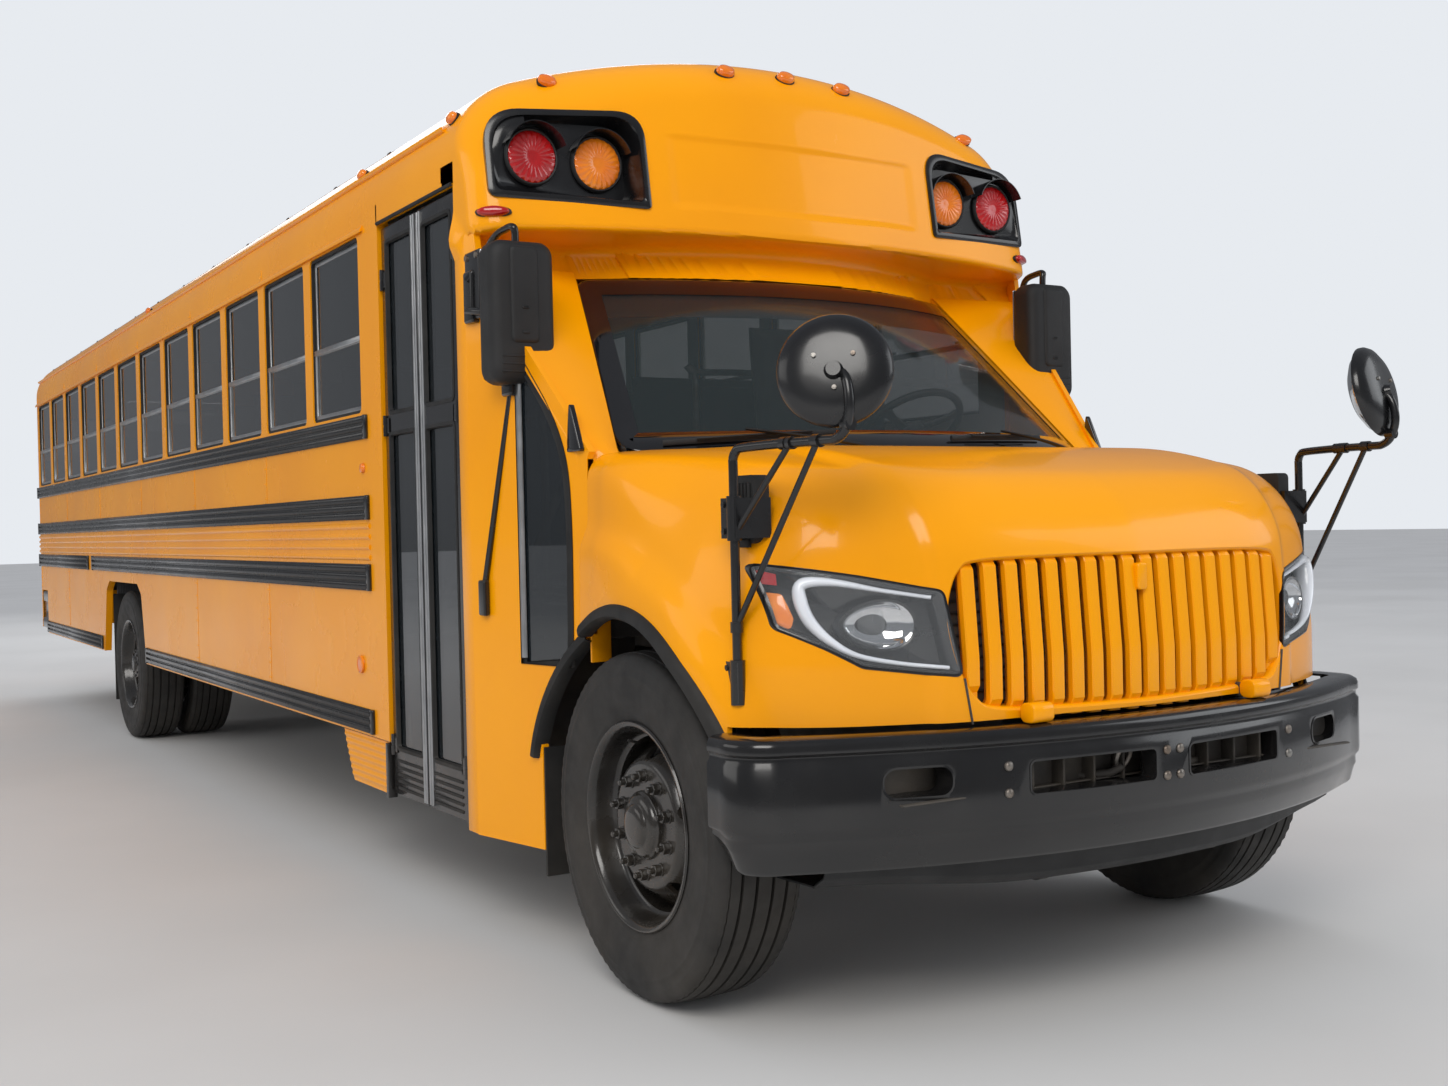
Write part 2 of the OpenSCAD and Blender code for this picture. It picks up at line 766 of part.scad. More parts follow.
module side_mirrors() {
    head_z = [floor_z + 770, floor_z + 1240];
    color("black") from_axle() difference() {
        both_sides() union() {
            block([mirror_x - 235, 690, head_z[0]], [mirror_x, 790, head_z[1]]);
            block([mirror_x - 130, 730, head_z[1] - 10], [mirror_x - 90, 770, head_z[1] + 60]);
            // arm and bracket, laid against the door post
            block([mirror_x - 110, 780, head_z[1] - 140], [mirror_x - 60, cab_y - 70, head_z[1] - 60]);
            block([half_w - 80, cab_y - 110, head_z[1] - 230], [half_w + 6, cab_y - 10, head_z[1] + 40]);
        }
        linear_extrude(crown_z) cab_plan(0);
    }
}

module warning_lamps() {
    z = [floor_z + 1400, floor_z + 1730];
    color("black") from_axle() difference() {
        union() {
            both_sides() intersection() {
                block([625, 500, z[0]], [1175, cab_y, z[1]]);
                difference() {
                    cap_face(-14);
                    cap_face(0);
                }
            }
            both_sides() block([620, rear_y, z[0] - 5], [1130, rear_y + 22, z[1] - 60]);
        }
    }
}

// Whole body from the cap's face to the rear, as one filled shape
module body_filled() {
    intersection() {
        along(500, cap_end_y) body_outline(0, floor_z);
        cap_face(0);
    }
    along(cap_end_y - 1, rear_y) body_outline(0, floor_z);
}

module marker_lamps() {
    r = 26;
    color("orange") from_axle() difference() {
        union() {
            for (x = [-260, 0, 260, half_w - 240, 240 - half_w])
                translate([x, cap_at(x, roof_at(x)) + 12, roof_at(x)]) sphere(r = r);
            for (x = [-260, 0, 260]) translate([x, rear_y - 60, roof_at(x)]) sphere(r = r);
            both_sides() for (y = [cap_end_y + 950, wheelbase - 900])
                translate([half_w - 3, y, eave_z]) sphere(r = r);
        }
        body_filled();
    }
}

module tail_lamps() {
    lamp_z = floor_z + 110;
    color("red") from_axle() both_sides() {
        for (x = [680, 920]) along(rear_y, rear_y + 24) translate([x, lamp_z]) circle(88);
    }
}

// Hood outlines: from the side in y and z, from above in x and y, from the front in x and z
module hood_profile(t) {
    z0 = hub_z + 335;
    polygon([
        [600, -200], [600, screen_z + 15 - t], [hood_end_y, screen_z + 10 - t], [-300, screen_z - 35 - t],
        [-700 + t / 2, screen_z - 150 - t], [-840 + t, screen_z - 250 - t / 2], [-868 + t, screen_z - 400],
        [-878 + t, z0], [-600 + t, z0], [-560 + t, -200]
    ]);
}

module hood_plan(t) {
    front_r = 2900;
    nose_half_w = 400;
    // One side from the cowl forward: inset from the body side, place along the body
    side = [[120, 700], [75, 0], [60, -250], [72, -380], [110, -500], [160, -590], [560, -850]];
    right = [for (p = side) [half_w - p[0] - t, p[1] + t / 2]];
    left = [for (i = [len(side) - 1 : -1 : 0]) [-right[i][0], right[i][1]]];
    intersection() {
        translate([0, -878 + t + front_r]) circle(front_r, $fn = 360);
        polygon(concat(right, [[nose_half_w, nose_y - 70], [-nose_half_w, nose_y - 70]], left));
    }
}

module hood_front(t) {
    polygon([
        [-half_w + t, 0], [-half_w + t, hub_z + 640], [-half_w + 110 + t, screen_z - 110], [-half_w + 260, screen_z - 20 - t],
        [-500, screen_z + 12 - t], [500, screen_z + 12 - t],
        [half_w - 260, screen_z - 20 - t], [half_w - 110 - t, screen_z - 110], [half_w - t, hub_z + 640], [half_w - t, 0]
    ]);
}

module hood_solid(t) {
    intersection() {
        across(-body_w, body_w) hood_profile(t);
        linear_extrude(crown_z) hood_plan(t);
        along(-1200, 1200) hood_front(t);
    }
}

grille_x = 590;
grille_z = [hub_z + 375, hub_z + 755];
lamp_x = [650, 1100];
lamp_z = [hub_z + 450, hub_z + 720];

module hood() {
    color("orange") from_axle() difference() {
        union() {
            difference() {
                hood_solid(0);
                hood_solid(hood_t);
                block([-body_w, hood_end_y, 0], [body_w, 2000, crown_z]);
                translate([0, 0, -1]) screen_foot_cut();
                wheel_arch_cut(0);
                block([-body_w, -2000, -500], [body_w, 2000, hub_z + 200]);
                block([-body_w, -2000, -500], [body_w, nose_y + 410, bumper_z + bumper_h + 10]);
                block([-grille_x, -2000, grille_z[0]], [grille_x, -600, grille_z[1]]);
                both_sides() block([lamp_x[0], -2000, lamp_z[0]], [lamp_x[1], -500, lamp_z[1]]);
            }
            // hinge lugs beside the frame's pins
            both_sides() block([frame_w / 2 - 2, hood_pivot_y - 20, hood_pivot_z - 20],
                [frame_w / 2 + 18, hood_pivot_y + 90, hood_pivot_z + 20]);
        }
        bar_x(-frame_w, frame_w, 12 + shaft_gap, hood_pivot_y, hood_pivot_z);
        // slots for the hinge arms
        both_sides() block([frame_w / 2 - 48, -1000, 0], [frame_w / 2 - 2, -700, hood_pivot_z + 24]);
    }
}

// The hood stops short of the foot of the windscreen
module screen_foot_cut() {
    translate([0, 0, screen_z - 120]) linear_extrude(1000) intersection() {
        translate([0, screen_y - 72 + 1600]) circle(1600, $fn = 180);
        translate([-half_w + 130, -300]) square([body_w - 260, 900]);
    }
}

module grille() {
    slats = 18;
    pitch = 2 * (grille_x - 2) / slats;
    color("orange") from_axle() intersection() {
        union() {
            for (i = [0 : slats - 1]) block([-grille_x + 2 + (i + 0.25) * pitch, -1000, grille_z[0] + 2],
                [-grille_x + 2 + (i + 0.75) * pitch, -600, grille_z[1] - 2]);
            for (z = [grille_z[0] + 2, grille_z[1] - 22])
                block([-grille_x + 2, -1000, z], [grille_x - 2, -600, z + 20]);
        }
        difference() {
            linear_extrude(crown_z) hood_plan(6);
            linear_extrude(crown_z) hood_plan(40);
        }
    }
}

module headlights() {
    color("white") from_axle() both_sides() intersection() {
        block([lamp_x[0] + 2, -1000, lamp_z[0] + 2], [lamp_x[1] - 2, -500, lamp_z[1] - 2]);
        hood_solid(4);
        difference() {
            linear_extrude(crown_z) hood_plan(4);
            linear_extrude(crown_z) hood_plan(60);
        }
    }
}

// Round rod from point a to point b
module rod(a, b, r) {
    d = b - a;
    translate(a) rotate([0, acos(d[2] / norm(d)), atan2(d[1], d[0])]) cylinder(h = norm(d), r = r);
}

module crossview_mirrors() {
    arm_z = floor_z + 500;
    foot = [half_w - 110, -545, hub_z + 385];
    shoulder = [foot[0], foot[1], arm_z];
    head_r = 120;
    head_depth = 60;
    wrist = [half_w - 190, front_y + head_depth + 20, arm_z];
    color("black") from_axle() difference() {
        both_sides() union() {
            rod(foot, shoulder + [0, 0, 12], 13);
            rod(shoulder, wrist, 12);
            rod(wrist - [0, 0, 12], wrist + [0, 0, 160], 13);
            translate([wrist[0], front_y + head_depth, arm_z + 160]) rotate([90, 0, 0])
                cylinder(h = head_depth, r1 = head_r, r2 = head_r / 2);
            // feet on the fenders
            for (z = [foot[2], arm_z - 250])
                block([foot[0] - 40, foot[1] - 14, z], [foot[0] + 14, foot[1] + 80, z + 60]);
        }
        hood_solid(0);
    }
}

spindle_r = 40;

module knuckle() {
    ear_z = [hub_z - 95, hub_z + 65];
    from_axle() union() {
        translate([kingpin_x, 0, ear_z[0]]) cylinder(h = ear_z[1] - ear_z[0] + 30, r = 22 - shaft_gap);
        for (z = ear_z) translate([kingpin_x, 0, z]) cylinder(h = 30, r = 46);
        for (z = ear_z) block([kingpin_x, -40, z], [kingpin_x + 70, 40, z + 30]);
        block([kingpin_x + 55, -60, ear_z[0]], [kingpin_x + 75, 60, ear_z[1] + 30]);
        bar_x(kingpin_x + 70, tyre_face_x - 20, spindle_r, 0, hub_z);
        block([kingpin_x - 2, 30, ear_z[0]], [kingpin_x + 28, 200, ear_z[0] + 25]);
    }
}

module knuckle_left() {
    color("dimgray") knuckle();
}

module knuckle_right() {
    color("dimgray") mirror([1, 0, 0]) knuckle();
}

module tyre(x) {
    shoulder = 34;
    translate([x, 0, hub_z]) rotate([0, 90, 0]) rotate_extrude($fn = 128) difference() {
        translate([rim_r + 0.5, -tyre_w / 2]) square([tyre_r - rim_r - 0.5, tyre_w]);
        for (s = [-1, 1]) {
            translate([tyre_r, s * tyre_w / 2]) rotate([0, 0, 45]) square(shoulder, center = true);
            translate([rim_r, s * tyre_w / 2]) rotate([0, 0, s * 20]) square([60, 26], center = true);
        }
    }
}

module wheel_disc(x, face_x, bore_r) {
    rim_w = tyre_w - 70;
    difference() {
        union() {
            translate([x, 0, hub_z]) rotate([0, 90, 0]) difference() {
                translate([0, 0, -rim_w / 2]) cylinder(h = rim_w, r = rim_r, $fn = 96);
                translate([0, 0, -rim_w]) cylinder(h = 2 * rim_w, r = rim_r - 22, $fn = 96);
            }
            bar_x(face_x - 10, face_x + 10, rim_r - 10, 0, hub_z);
        }
        for (a = [0 : 72 : 359]) translate([0, 0, hub_z]) rotate([a, 0, 0])
            bar_x(face_x - 20, face_x + 20, 30, 0, rim_r - 80);
        bar_x(face_x - 30, face_x + 30, bore_r, 0, hub_z);
    }
}

module front_wheel() {
    bore = spindle_r + shaft_gap;
    from_axle() union() {
        wheel_disc(front_tyre_x, front_tyre_x + 40, 90);
        difference() {
            bar_x(kingpin_x + 78, tyre_face_x - 5, 110, 0, hub_z);
            bar_x(kingpin_x + 70, tyre_face_x - 18, bore, 0, hub_z);
        }
    }
}

module front_tyre_left() {
    color([0.1, 0.1, 0.1]) from_axle() tyre(front_tyre_x);
}

module front_tyre_right() {
    color([0.1, 0.1, 0.1]) from_axle() tyre(-front_tyre_x);
}

module front_wheel_left() {
    color("gray") front_wheel();
}

module front_wheel_right() {
    color("gray") mirror([1, 0, 0]) front_wheel();
}

module rear_tyres() {
    from_axle(wheelbase) {
        tyre(outer_tyre_x);
        tyre(inner_tyre_x);
    }
}

module rear_wheels() {
    mid = (outer_tyre_x + inner_tyre_x) / 2;
    from_axle(wheelbase) union() {
        wheel_disc(outer_tyre_x, mid + 12, 90);
        wheel_disc(inner_tyre_x, mid - 12, 90);
        difference() {
            bar_x(inner_tyre_x + 40, outer_tyre_x + 110, 120, 0, hub_z);
            bar_x(inner_tyre_x, outer_tyre_x + 70, 50 + shaft_gap, 0, hub_z);
        }
        for (s = [-1, 1]) difference() {
            bar_x(mid + s * 60 - 60, mid + s * 60 + 60, rim_r - 15, 0, hub_z);
            bar_x(mid - 200, mid + 200, rim_r - 40, 0, hub_z);
        }
    }
}

module rear_tyres_left() {
    color([0.1, 0.1, 0.1]) rear_tyres();
}

module rear_tyres_right() {
    color([0.1, 0.1, 0.1]) mirror([1, 0, 0]) rear_tyres();
}

module rear_wheels_left() {
    color("gray") rear_wheels();
}

module rear_wheels_right() {
    color("gray") mirror([1, 0, 0]) rear_wheels();
}

leaf_x = half_w - 12;
leaf_w = (door_w - 2 * panel_gap - leaf_gap) / 2;

// One leaf of the entrance door: a frame with glass above and below its cross bar, and its pivots
module door_leaf(y, pivot_y) {
    edge = 46;
    z0 = front_skirt_z + 20;
    z1 = door_top_z - panel_gap;
    bar_z = sill_z - 100;
    mirror([1, 0, 0]) difference() {
        union() {
            block([leaf_x - leaf_t, y, z0], [leaf_x, y + leaf_w, z1]);
            for (z = [z0 + 150, bar_z, z1 - 230])
                translate([leaf_x + 4, pivot_y, z]) cylinder(h = 80, r = 8);
        }
        for (x = [leaf_x - leaf_t - 1, leaf_x - 14])
            for (z = [[z0 + 200, bar_z], [bar_z + 70, z1 - edge]])
                block([x, y + edge, z[0]], [x + 15, y + leaf_w - edge, z[1]]);
    }
}

module door_leaf_front() {
    color("black") from_axle() door_leaf(door_y + panel_gap, door_y + panel_gap + 2);
}

module door_leaf_rear() {
    color("black") from_axle() door_leaf(door_end_y - panel_gap - leaf_w, door_end_y - panel_gap - 2);
}

module emergency_door() {
    edge = 70;
    gap = 8;
    x = rear_door_w / 2 - gap;
    z = [rear_door_z[0] + gap, rear_door_z[1] - gap];
    color("orange") from_axle() difference() {
        union() {
            block([-x, rear_y - wall_t + 3, z[0]], [x, rear_y - 1, z[1]]);
            // hinge straps and their barrels
            for (zz = [z[0] + 200, (z[0] + z[1]) / 2, z[1] - 260]) {
                block([-x + 6, rear_y - 2, zz], [-x + 90, rear_y + 16, zz + 60]);
                block([-x - 4, rear_y + 8, zz], [-x + 10, rear_y + 16, zz + 60]);
                translate([-x - 4, rear_y + 16, zz]) cylinder(h = 60, r = 10);
            }
        }
        for (y = [rear_y - wall_t - 1, rear_y - 16])
            for (zz = [[z[0] + 220, sill_z - 160], [sill_z, header_z]])
                block([-x + edge, y, zz[0]], [x - edge, y + 20, zz[1]]);
    }
}

stop_y = driver_window_y[0] - 60;
stop_z = floor_z + 400;

module stop_arm() {
    across_flats = 450;
    side_r = across_flats / 2 / cos(22.5);
    x = half_w + rail_depth + 6;
    color("red") from_axle() union() {
        translate([x, stop_y + 60 + across_flats / 2, stop_z]) rotate([0, 90, 0])
            rotate([0, 0, 22.5]) cylinder(h = 10, r = side_r, $fn = 8);
        block([x + 1, stop_y - 6, stop_z - 62], [x + 9, stop_y + 200, stop_z + 58]);
        translate([x + 5, stop_y - 4, stop_z - 70]) cylinder(h = 140, r = 7);
    }
}

frame_rails();
front_axle();
rear_axle();
leaf_springs();
engine_block();
drive_shaft();
fuel_tank();
exhaust();
floor();
wheel_boxes();
stepwell();
left_side_wall();
right_side_wall();
roof();
front_cap();
cowl();
rear_wall();
windshield();
window_frames();
window_glass();
rub_rails();
front_bumper();
rear_bumper();
mud_flaps();
driver_seat();
passenger_seats();
dashboard();
steering_wheel();
side_mirrors();
warning_lamps();
marker_lamps();
tail_lamps();
hood();
grille();
headlights();
crossview_mirrors();
knuckle_left();
knuckle_right();
front_tyre_left();
front_tyre_right();
front_wheel_left();
front_wheel_right();
rear_tyres_left();
rear_tyres_right();
rear_wheels_left();
rear_wheels_right();
door_leaf_front();
door_leaf_rear();
emergency_door();
stop_arm();
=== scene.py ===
"""Looks of the school bus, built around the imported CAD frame.

Sizes are metres. Inside this script y is measured back from the front axle; make() moves each piece
to the frame's own origin.
"""

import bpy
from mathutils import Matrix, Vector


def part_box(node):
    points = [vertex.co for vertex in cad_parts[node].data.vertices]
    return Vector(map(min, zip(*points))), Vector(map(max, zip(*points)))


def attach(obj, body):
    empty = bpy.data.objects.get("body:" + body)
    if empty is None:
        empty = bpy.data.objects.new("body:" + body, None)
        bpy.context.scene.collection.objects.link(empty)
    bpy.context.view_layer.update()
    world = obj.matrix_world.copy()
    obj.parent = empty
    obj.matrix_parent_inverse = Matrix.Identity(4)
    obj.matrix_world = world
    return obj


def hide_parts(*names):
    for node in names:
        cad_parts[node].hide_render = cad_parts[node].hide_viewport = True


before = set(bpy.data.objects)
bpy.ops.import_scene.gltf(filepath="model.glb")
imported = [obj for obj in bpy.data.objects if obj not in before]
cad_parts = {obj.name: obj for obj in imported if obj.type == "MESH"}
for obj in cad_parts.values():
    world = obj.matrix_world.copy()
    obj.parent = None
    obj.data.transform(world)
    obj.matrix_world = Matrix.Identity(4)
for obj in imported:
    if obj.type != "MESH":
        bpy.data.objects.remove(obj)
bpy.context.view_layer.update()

import math

import bmesh
import bpy
import numpy as np
from mathutils import Matrix, Vector

# ---------------------------------------------------------------- places taken from the frame


def mid(node, axis):
    """Middle of a CAD node along one axis."""
    low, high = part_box(node)
    return (low[axis] + high[axis]) / 2


AXLE_Y = mid("front_tyre_left", 1)
HUB_Z = mid("front_tyre_left", 2)
WHEELBASE = mid("rear_tyres_left", 1) - AXLE_Y
TYRE_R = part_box("front_tyre_left")[1][2] - HUB_Z
HALF_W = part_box("rear_wall")[1][0]
CROWN_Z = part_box("roof")[1][2]
REAR_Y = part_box("rear_wall")[1][1] - AXLE_Y
SKIRT_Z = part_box("left_side_wall")[0][2]
FRONT_SKIRT_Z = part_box("right_side_wall")[0][2]
FLOOR_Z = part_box("floor")[1][2]
SILL_Z = FLOOR_Z + 0.786
HEADER_Z = SILL_Z + 0.703
EAVE_Z = FLOOR_Z + 1.73
WALL_T = 0.045
CORNER_R = 0.3
ROOF_R = 3.5
CORNER_X = HALF_W - CORNER_R
CORNER_Z = CROWN_Z - ROOF_R + math.sqrt((ROOF_R - CORNER_R) ** 2 - CORNER_X ** 2)
TANGENT_X = CORNER_X * ROOF_R / (ROOF_R - CORNER_R)
DOOR_Y = (1.075, 1.86)
DOOR_TOP_Z = FLOOR_Z + 1.49
CAB_Y = 0.98
CAP_END_Y = 1.18
ROOF_SEAM_Y = 2.03
WINDOWS = 12
POST_W = 0.1
WINDOW_START = DOOR_Y[1] + 0.186
WINDOW_PITCH = (REAR_Y - 0.08 - WINDOW_START) / WINDOWS
WINDOW_W = WINDOW_PITCH - POST_W
CURB, DRIVER = -1, 1
DRIVER_X = 0.56
COWL_Y, ARCH_Y, STOP_Y, TAIL_Y = 0.352, 0.045, 1.085, 11.17
BUMPER_NOSE, BUMPER_R = -0.98, 2.6
SIDE_NAME = {CURB: "curb", DRIVER: "driver"}
ORIGIN = (0, 0, 0)


def window_y(i):
    """Front edge of a side window."""
    return WINDOW_START + POST_W / 2 + i * WINDOW_PITCH


# ---------------------------------------------------------------- mesh kit


class Shape:
    """Points and faces of one piece, each face with the number of its material."""

    def __init__(self):
        self.points, self.faces, self.paints = [], [], []

    def add(self, points, faces, paint=0):
        base = len(self.points)
        self.points += [tuple(float(c) for c in p) for p in points]
        self.faces += [tuple(base + i for i in f) for f in faces]
        self.paints += [paint] * len(faces)
        return self

    def join(self, other, paint=None):
        base = len(self.points)
        self.points += other.points
        self.faces += [tuple(base + i for i in f) for f in other.faces]
        self.paints += other.paints if paint is None else [paint] * len(other.faces)
        return self

    def box(self, low, high):
        """Box between two opposite corners."""
        across, along, up = [sorted(pair) for pair in zip(low, high)]
        corners = [(x, y, z) for x in across for y in along for z in up]
        faces = [(0, 1, 3, 2), (4, 6, 7, 5), (0, 4, 5, 1), (2, 3, 7, 6), (0, 2, 6, 4), (1, 5, 7, 3)]
        return self.add(corners, faces)

    def prism(self, outline, axis, low, high, paint=0):
        """Outline in the other two axes, in their order, pushed along axis."""
        put = {"x": lambda u, v, w: (w, u, v), "y": lambda u, v, w: (u, w, v),
               "z": lambda u, v, w: (u, v, w)}[axis]
        n = len(outline)
        points = [put(u, v, low) for u, v in outline] + [put(u, v, high) for u, v in outline]
        sides = [(i, (i + 1) % n, n + (i + 1) % n, n + i) for i in range(n)]
        return self.add(points, sides + [tuple(range(n))[::-1], tuple(range(n, 2 * n))], paint)

    def grid(self, rows, paint=0, wrap=False, closed=False):
        """Rows of points joined into quads; wrap joins each row's ends, closed the last row to the first."""
        r, c = len(rows), len(rows[0])
        faces = []
        for i in range(r if closed else r - 1):
            for j in range(c if wrap else c - 1):
                a, b = i * c, ((i + 1) % r) * c
                faces.append((a + j, a + (j + 1) % c, b + (j + 1) % c, b + j))
        return self.add([p for row in rows for p in row], faces, paint)

    def tube(self, path, radius, paint=0, sides=12, closed=False, flat=1.0):
        """Round tube along a path; flat squeezes its second direction."""
        pts = [Vector(p) for p in path]
        n = len(pts)
        rings, up = [], None
        for i, p in enumerate(pts):
            after = pts[(i + 1) % n] if closed or i < n - 1 else p
            before = pts[i - 1] if closed or i > 0 else p
            along = (after - before).normalized()
            if up is None:
                up = Vector((0, 0, 1)) if abs(along.z) < 0.9 else Vector((0, 1, 0))
            side = along.cross(up).normalized()
            up = side.cross(along).normalized()
            r = radius[i] if isinstance(radius, (list, tuple)) else radius
            rings.append([p + side * math.cos(t) * r + up * math.sin(t) * r * flat
                          for t in np.linspace(0, 2 * math.pi, sides, endpoint=False)])
        base = len(self.points)
        self.grid(rings, paint, wrap=True, closed=closed)
        if not closed:
            self.faces += [tuple(base + i for i in range(sides))[::-1],
                           tuple(base + (n - 1) * sides + i for i in range(sides))]
            self.paints += [paint, paint]
        return self

    def lathe(self, profile, centre, axis="x", steps=48, paint=0, start=0.0, turn=2 * math.pi):
        """Profile of (distance along the axis, radius), turned about the axis through centre."""
        c = Vector(centre)
        whole = abs(turn - 2 * math.pi) < 1e-6
        angles = np.linspace(start, start + turn, steps, endpoint=not whole)
        rows = []
        for t in angles:
            u, v = math.cos(t), math.sin(t)
            rows.append([c + Vector({"x": (a, r * u, r * v), "y": (r * u, a, r * v), "z": (r * u, r * v, a)}[axis])
                         for a, r in profile])
        return self.grid(rows, paint, closed=whole)

    def moved(self, fn):
        out = Shape()
        out.points = [tuple(float(c) for c in fn(*p)) for p in self.points]
        out.faces, out.paints = list(self.faces), list(self.paints)
        return out

    def mirrored(self):
        out = self.moved(lambda x, y, z: (-x, y, z))
        out.faces = [f[::-1] for f in out.faces]
        return out

    def same(self):
        return self

    def both(self):
        return Shape().join(self).join(self.mirrored())


def capped(rows, paint=0):
    """Closed outlines joined in order, with a flat face on the last."""
    return Shape().grid(rows, paint, wrap=True).add(rows[-1], [tuple(range(len(rows[-1])))], paint)


def on_side(shape, side):
    """A shape drawn on the driver's side, for either side."""
    return shape if side == DRIVER else shape.mirrored()


def turned(shape, centre, axis, angle):
    """The shape turned about an axis through centre."""
    c, m = Vector(centre), Matrix.Rotation(angle, 3, axis)
    return shape.moved(lambda x, y, z: c + m @ (Vector((x, y, z)) - c))


def arc(cx, cy, r, start, stop, steps):
    """Points on an arc, angles in degrees."""
    return [(cx + r * math.cos(t), cy + r * math.sin(t)) for t in np.radians(np.linspace(start, stop, steps))]


def rounded(u0, v0, u1, v1, r, steps=6):
    """Rectangle with round corners, counterclockwise."""
    u0, u1, v0, v1 = min(u0, u1), max(u0, u1), min(v0, v1), max(v0, v1)
    return (arc(u1 - r, v0 + r, r, -90, 0, steps) + arc(u1 - r, v1 - r, r, 0, 90, steps)
            + arc(u0 + r, v1 - r, r, 90, 180, steps) + arc(u0 + r, v0 + r, r, 180, 270, steps))


def rounded_corners(outline, r, steps=5):
    """Any convex or concave outline with its corners rounded by r, or by one radius each."""
    out, n = [], len(outline)
    for i in range(n):
        p, a, b = Vector(outline[i]), Vector(outline[i - 1]), Vector(outline[(i + 1) % n])
        ri = r[i] if isinstance(r, (list, tuple)) else r
        u, v = (a - p).normalized(), (b - p).normalized()
        half = math.acos(max(-1, min(1, u.dot(v)))) / 2
        if ri <= 0 or half > 1.5:
            out.append(tuple(p))
            continue
        reach = min(ri / math.tan(half), 0.45 * (a - p).length, 0.45 * (b - p).length)
        for t in np.linspace(0, 1, steps):
            out.append(tuple((1 - t) ** 2 * (p + u * reach) + 2 * t * (1 - t) * p + t * t * (p + v * reach)))
    return out


def smooth_path(points, steps=6):
    """Catmull-Rom curve through the points."""
    pts = [Vector(p) for p in points]
    pts = [2 * pts[0] - pts[1]] + pts + [2 * pts[-1] - pts[-2]]
    out = []
    for i in range(1, len(pts) - 2):
        a, b, c, d = pts[i - 1:i + 3]
        for t in np.linspace(0, 1, steps, endpoint=False):
            out.append(0.5 * (2 * b + (c - a) * t + (2 * a - 5 * b + 4 * c - d) * t * t
                              + (3 * b - a - 3 * c + d) * t ** 3))
    return out + [pts[-2]]


def make(name, shape, paints, body="root", slot=None, bevel=0.0, segments=2, angle=40, flat=False):
    """Turns a shape into an object that rides on a body."""
    mesh = bpy.data.meshes.new(name)
    mesh.from_pydata([(x, y + AXLE_Y, z) for x, y, z in shape.points], [], shape.faces)
    mesh.polygons.foreach_set("material_index", shape.paints)
    bm = bmesh.new()
    bm.from_mesh(mesh)
    bmesh.ops.remove_doubles(bm, verts=bm.verts, dist=1e-5)
    bmesh.ops.dissolve_degenerate(bm, dist=1e-6, edges=bm.edges)
    bmesh.ops.recalc_face_normals(bm, faces=bm.faces)
    if bevel:
        sharp = [e for e in bm.edges if len(e.link_faces) == 2 and e.calc_face_angle(0) > math.radians(angle)]
        bmesh.ops.bevel(bm, geom=sharp, offset=bevel, segments=segments, affect="EDGES",
                        profile=0.5, clamp_overlap=True)
    bm.to_mesh(mesh)
    bm.free()
    for p in paints if isinstance(paints, (list, tuple)) else [paints]:
        mesh.materials.append(p)
    obj = bpy.data.objects.new(name, mesh)
    bpy.context.scene.collection.objects.link(obj)
    shade(obj, 1 if flat else 50)
    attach(obj, body)
    return obj


def shade(obj, degrees=50):
    """Smooth shading, with edges sharper than this kept hard."""
    obj.data.polygons.foreach_set("use_smooth", [True] * len(obj.data.polygons))
    obj.data.set_sharp_from_angle(angle=math.radians(degrees))


def bake_modifiers(obj):
    """Makes the modifiers' result the object's own mesh."""
    graph = bpy.context.evaluated_depsgraph_get()
    mesh = bpy.data.meshes.new_from_object(obj.evaluated_get(graph))
    obj.modifiers.clear()
    obj.data = mesh


def cut(obj, shape, keep=50):
    """Takes a shape out of an object."""
    tool = make(obj.name + "_tool", shape, [])
    step = obj.modifiers.new("cut", "BOOLEAN")
    step.operation, step.object, step.solver = "DIFFERENCE", tool, "EXACT"
    bpy.context.view_layer.update()
    bake_modifiers(obj)
    bpy.data.objects.remove(tool)
    shade(obj, keep)
    return obj


def thicken(obj, depth):
    """Gives an open sheet a thickness, inwards."""
    step = obj.modifiers.new("thick", "SOLIDIFY")
    step.thickness, step.offset = depth, -1
    bpy.context.view_layer.update()
    bake_modifiers(obj)
    shade(obj)
    return obj


# ---------------------------------------------------------------- sculpted skins


def round_meet(a, b, r):
    """Where two solids meet, with a fillet of radius r (fields are below zero inside)."""
    return np.minimum(-r, np.maximum(a, b)) + np.hypot(np.maximum(r + a, 0), np.maximum(r + b, 0))


def soft_union(a, b, r):
    """Two solids joined, with a hollow fillet of radius r."""
    return -round_meet(-a, -b, r)


def smooth_step(t):
    """0 to 1 with soft ends."""
    t = np.clip(t, 0, 1)
    return t * t * (3 - 2 * t)


HALVINGS = 46


def onto(field, start, toward, reach=3.0):
    """Moves points out from start, along toward, until the field's surface."""
    low, high = np.zeros(len(start)), np.full(len(start), reach)
    for _ in range(HALVINGS):
        t = (low + high) / 2
        inside = field(*(start + toward * t[:, None]).T) < 0
        low, high = np.where(inside, t, low), np.where(inside, high, t)
    return start + toward * ((low + high) / 2)[:, None]

# ---------------------------------------------------------------- materials


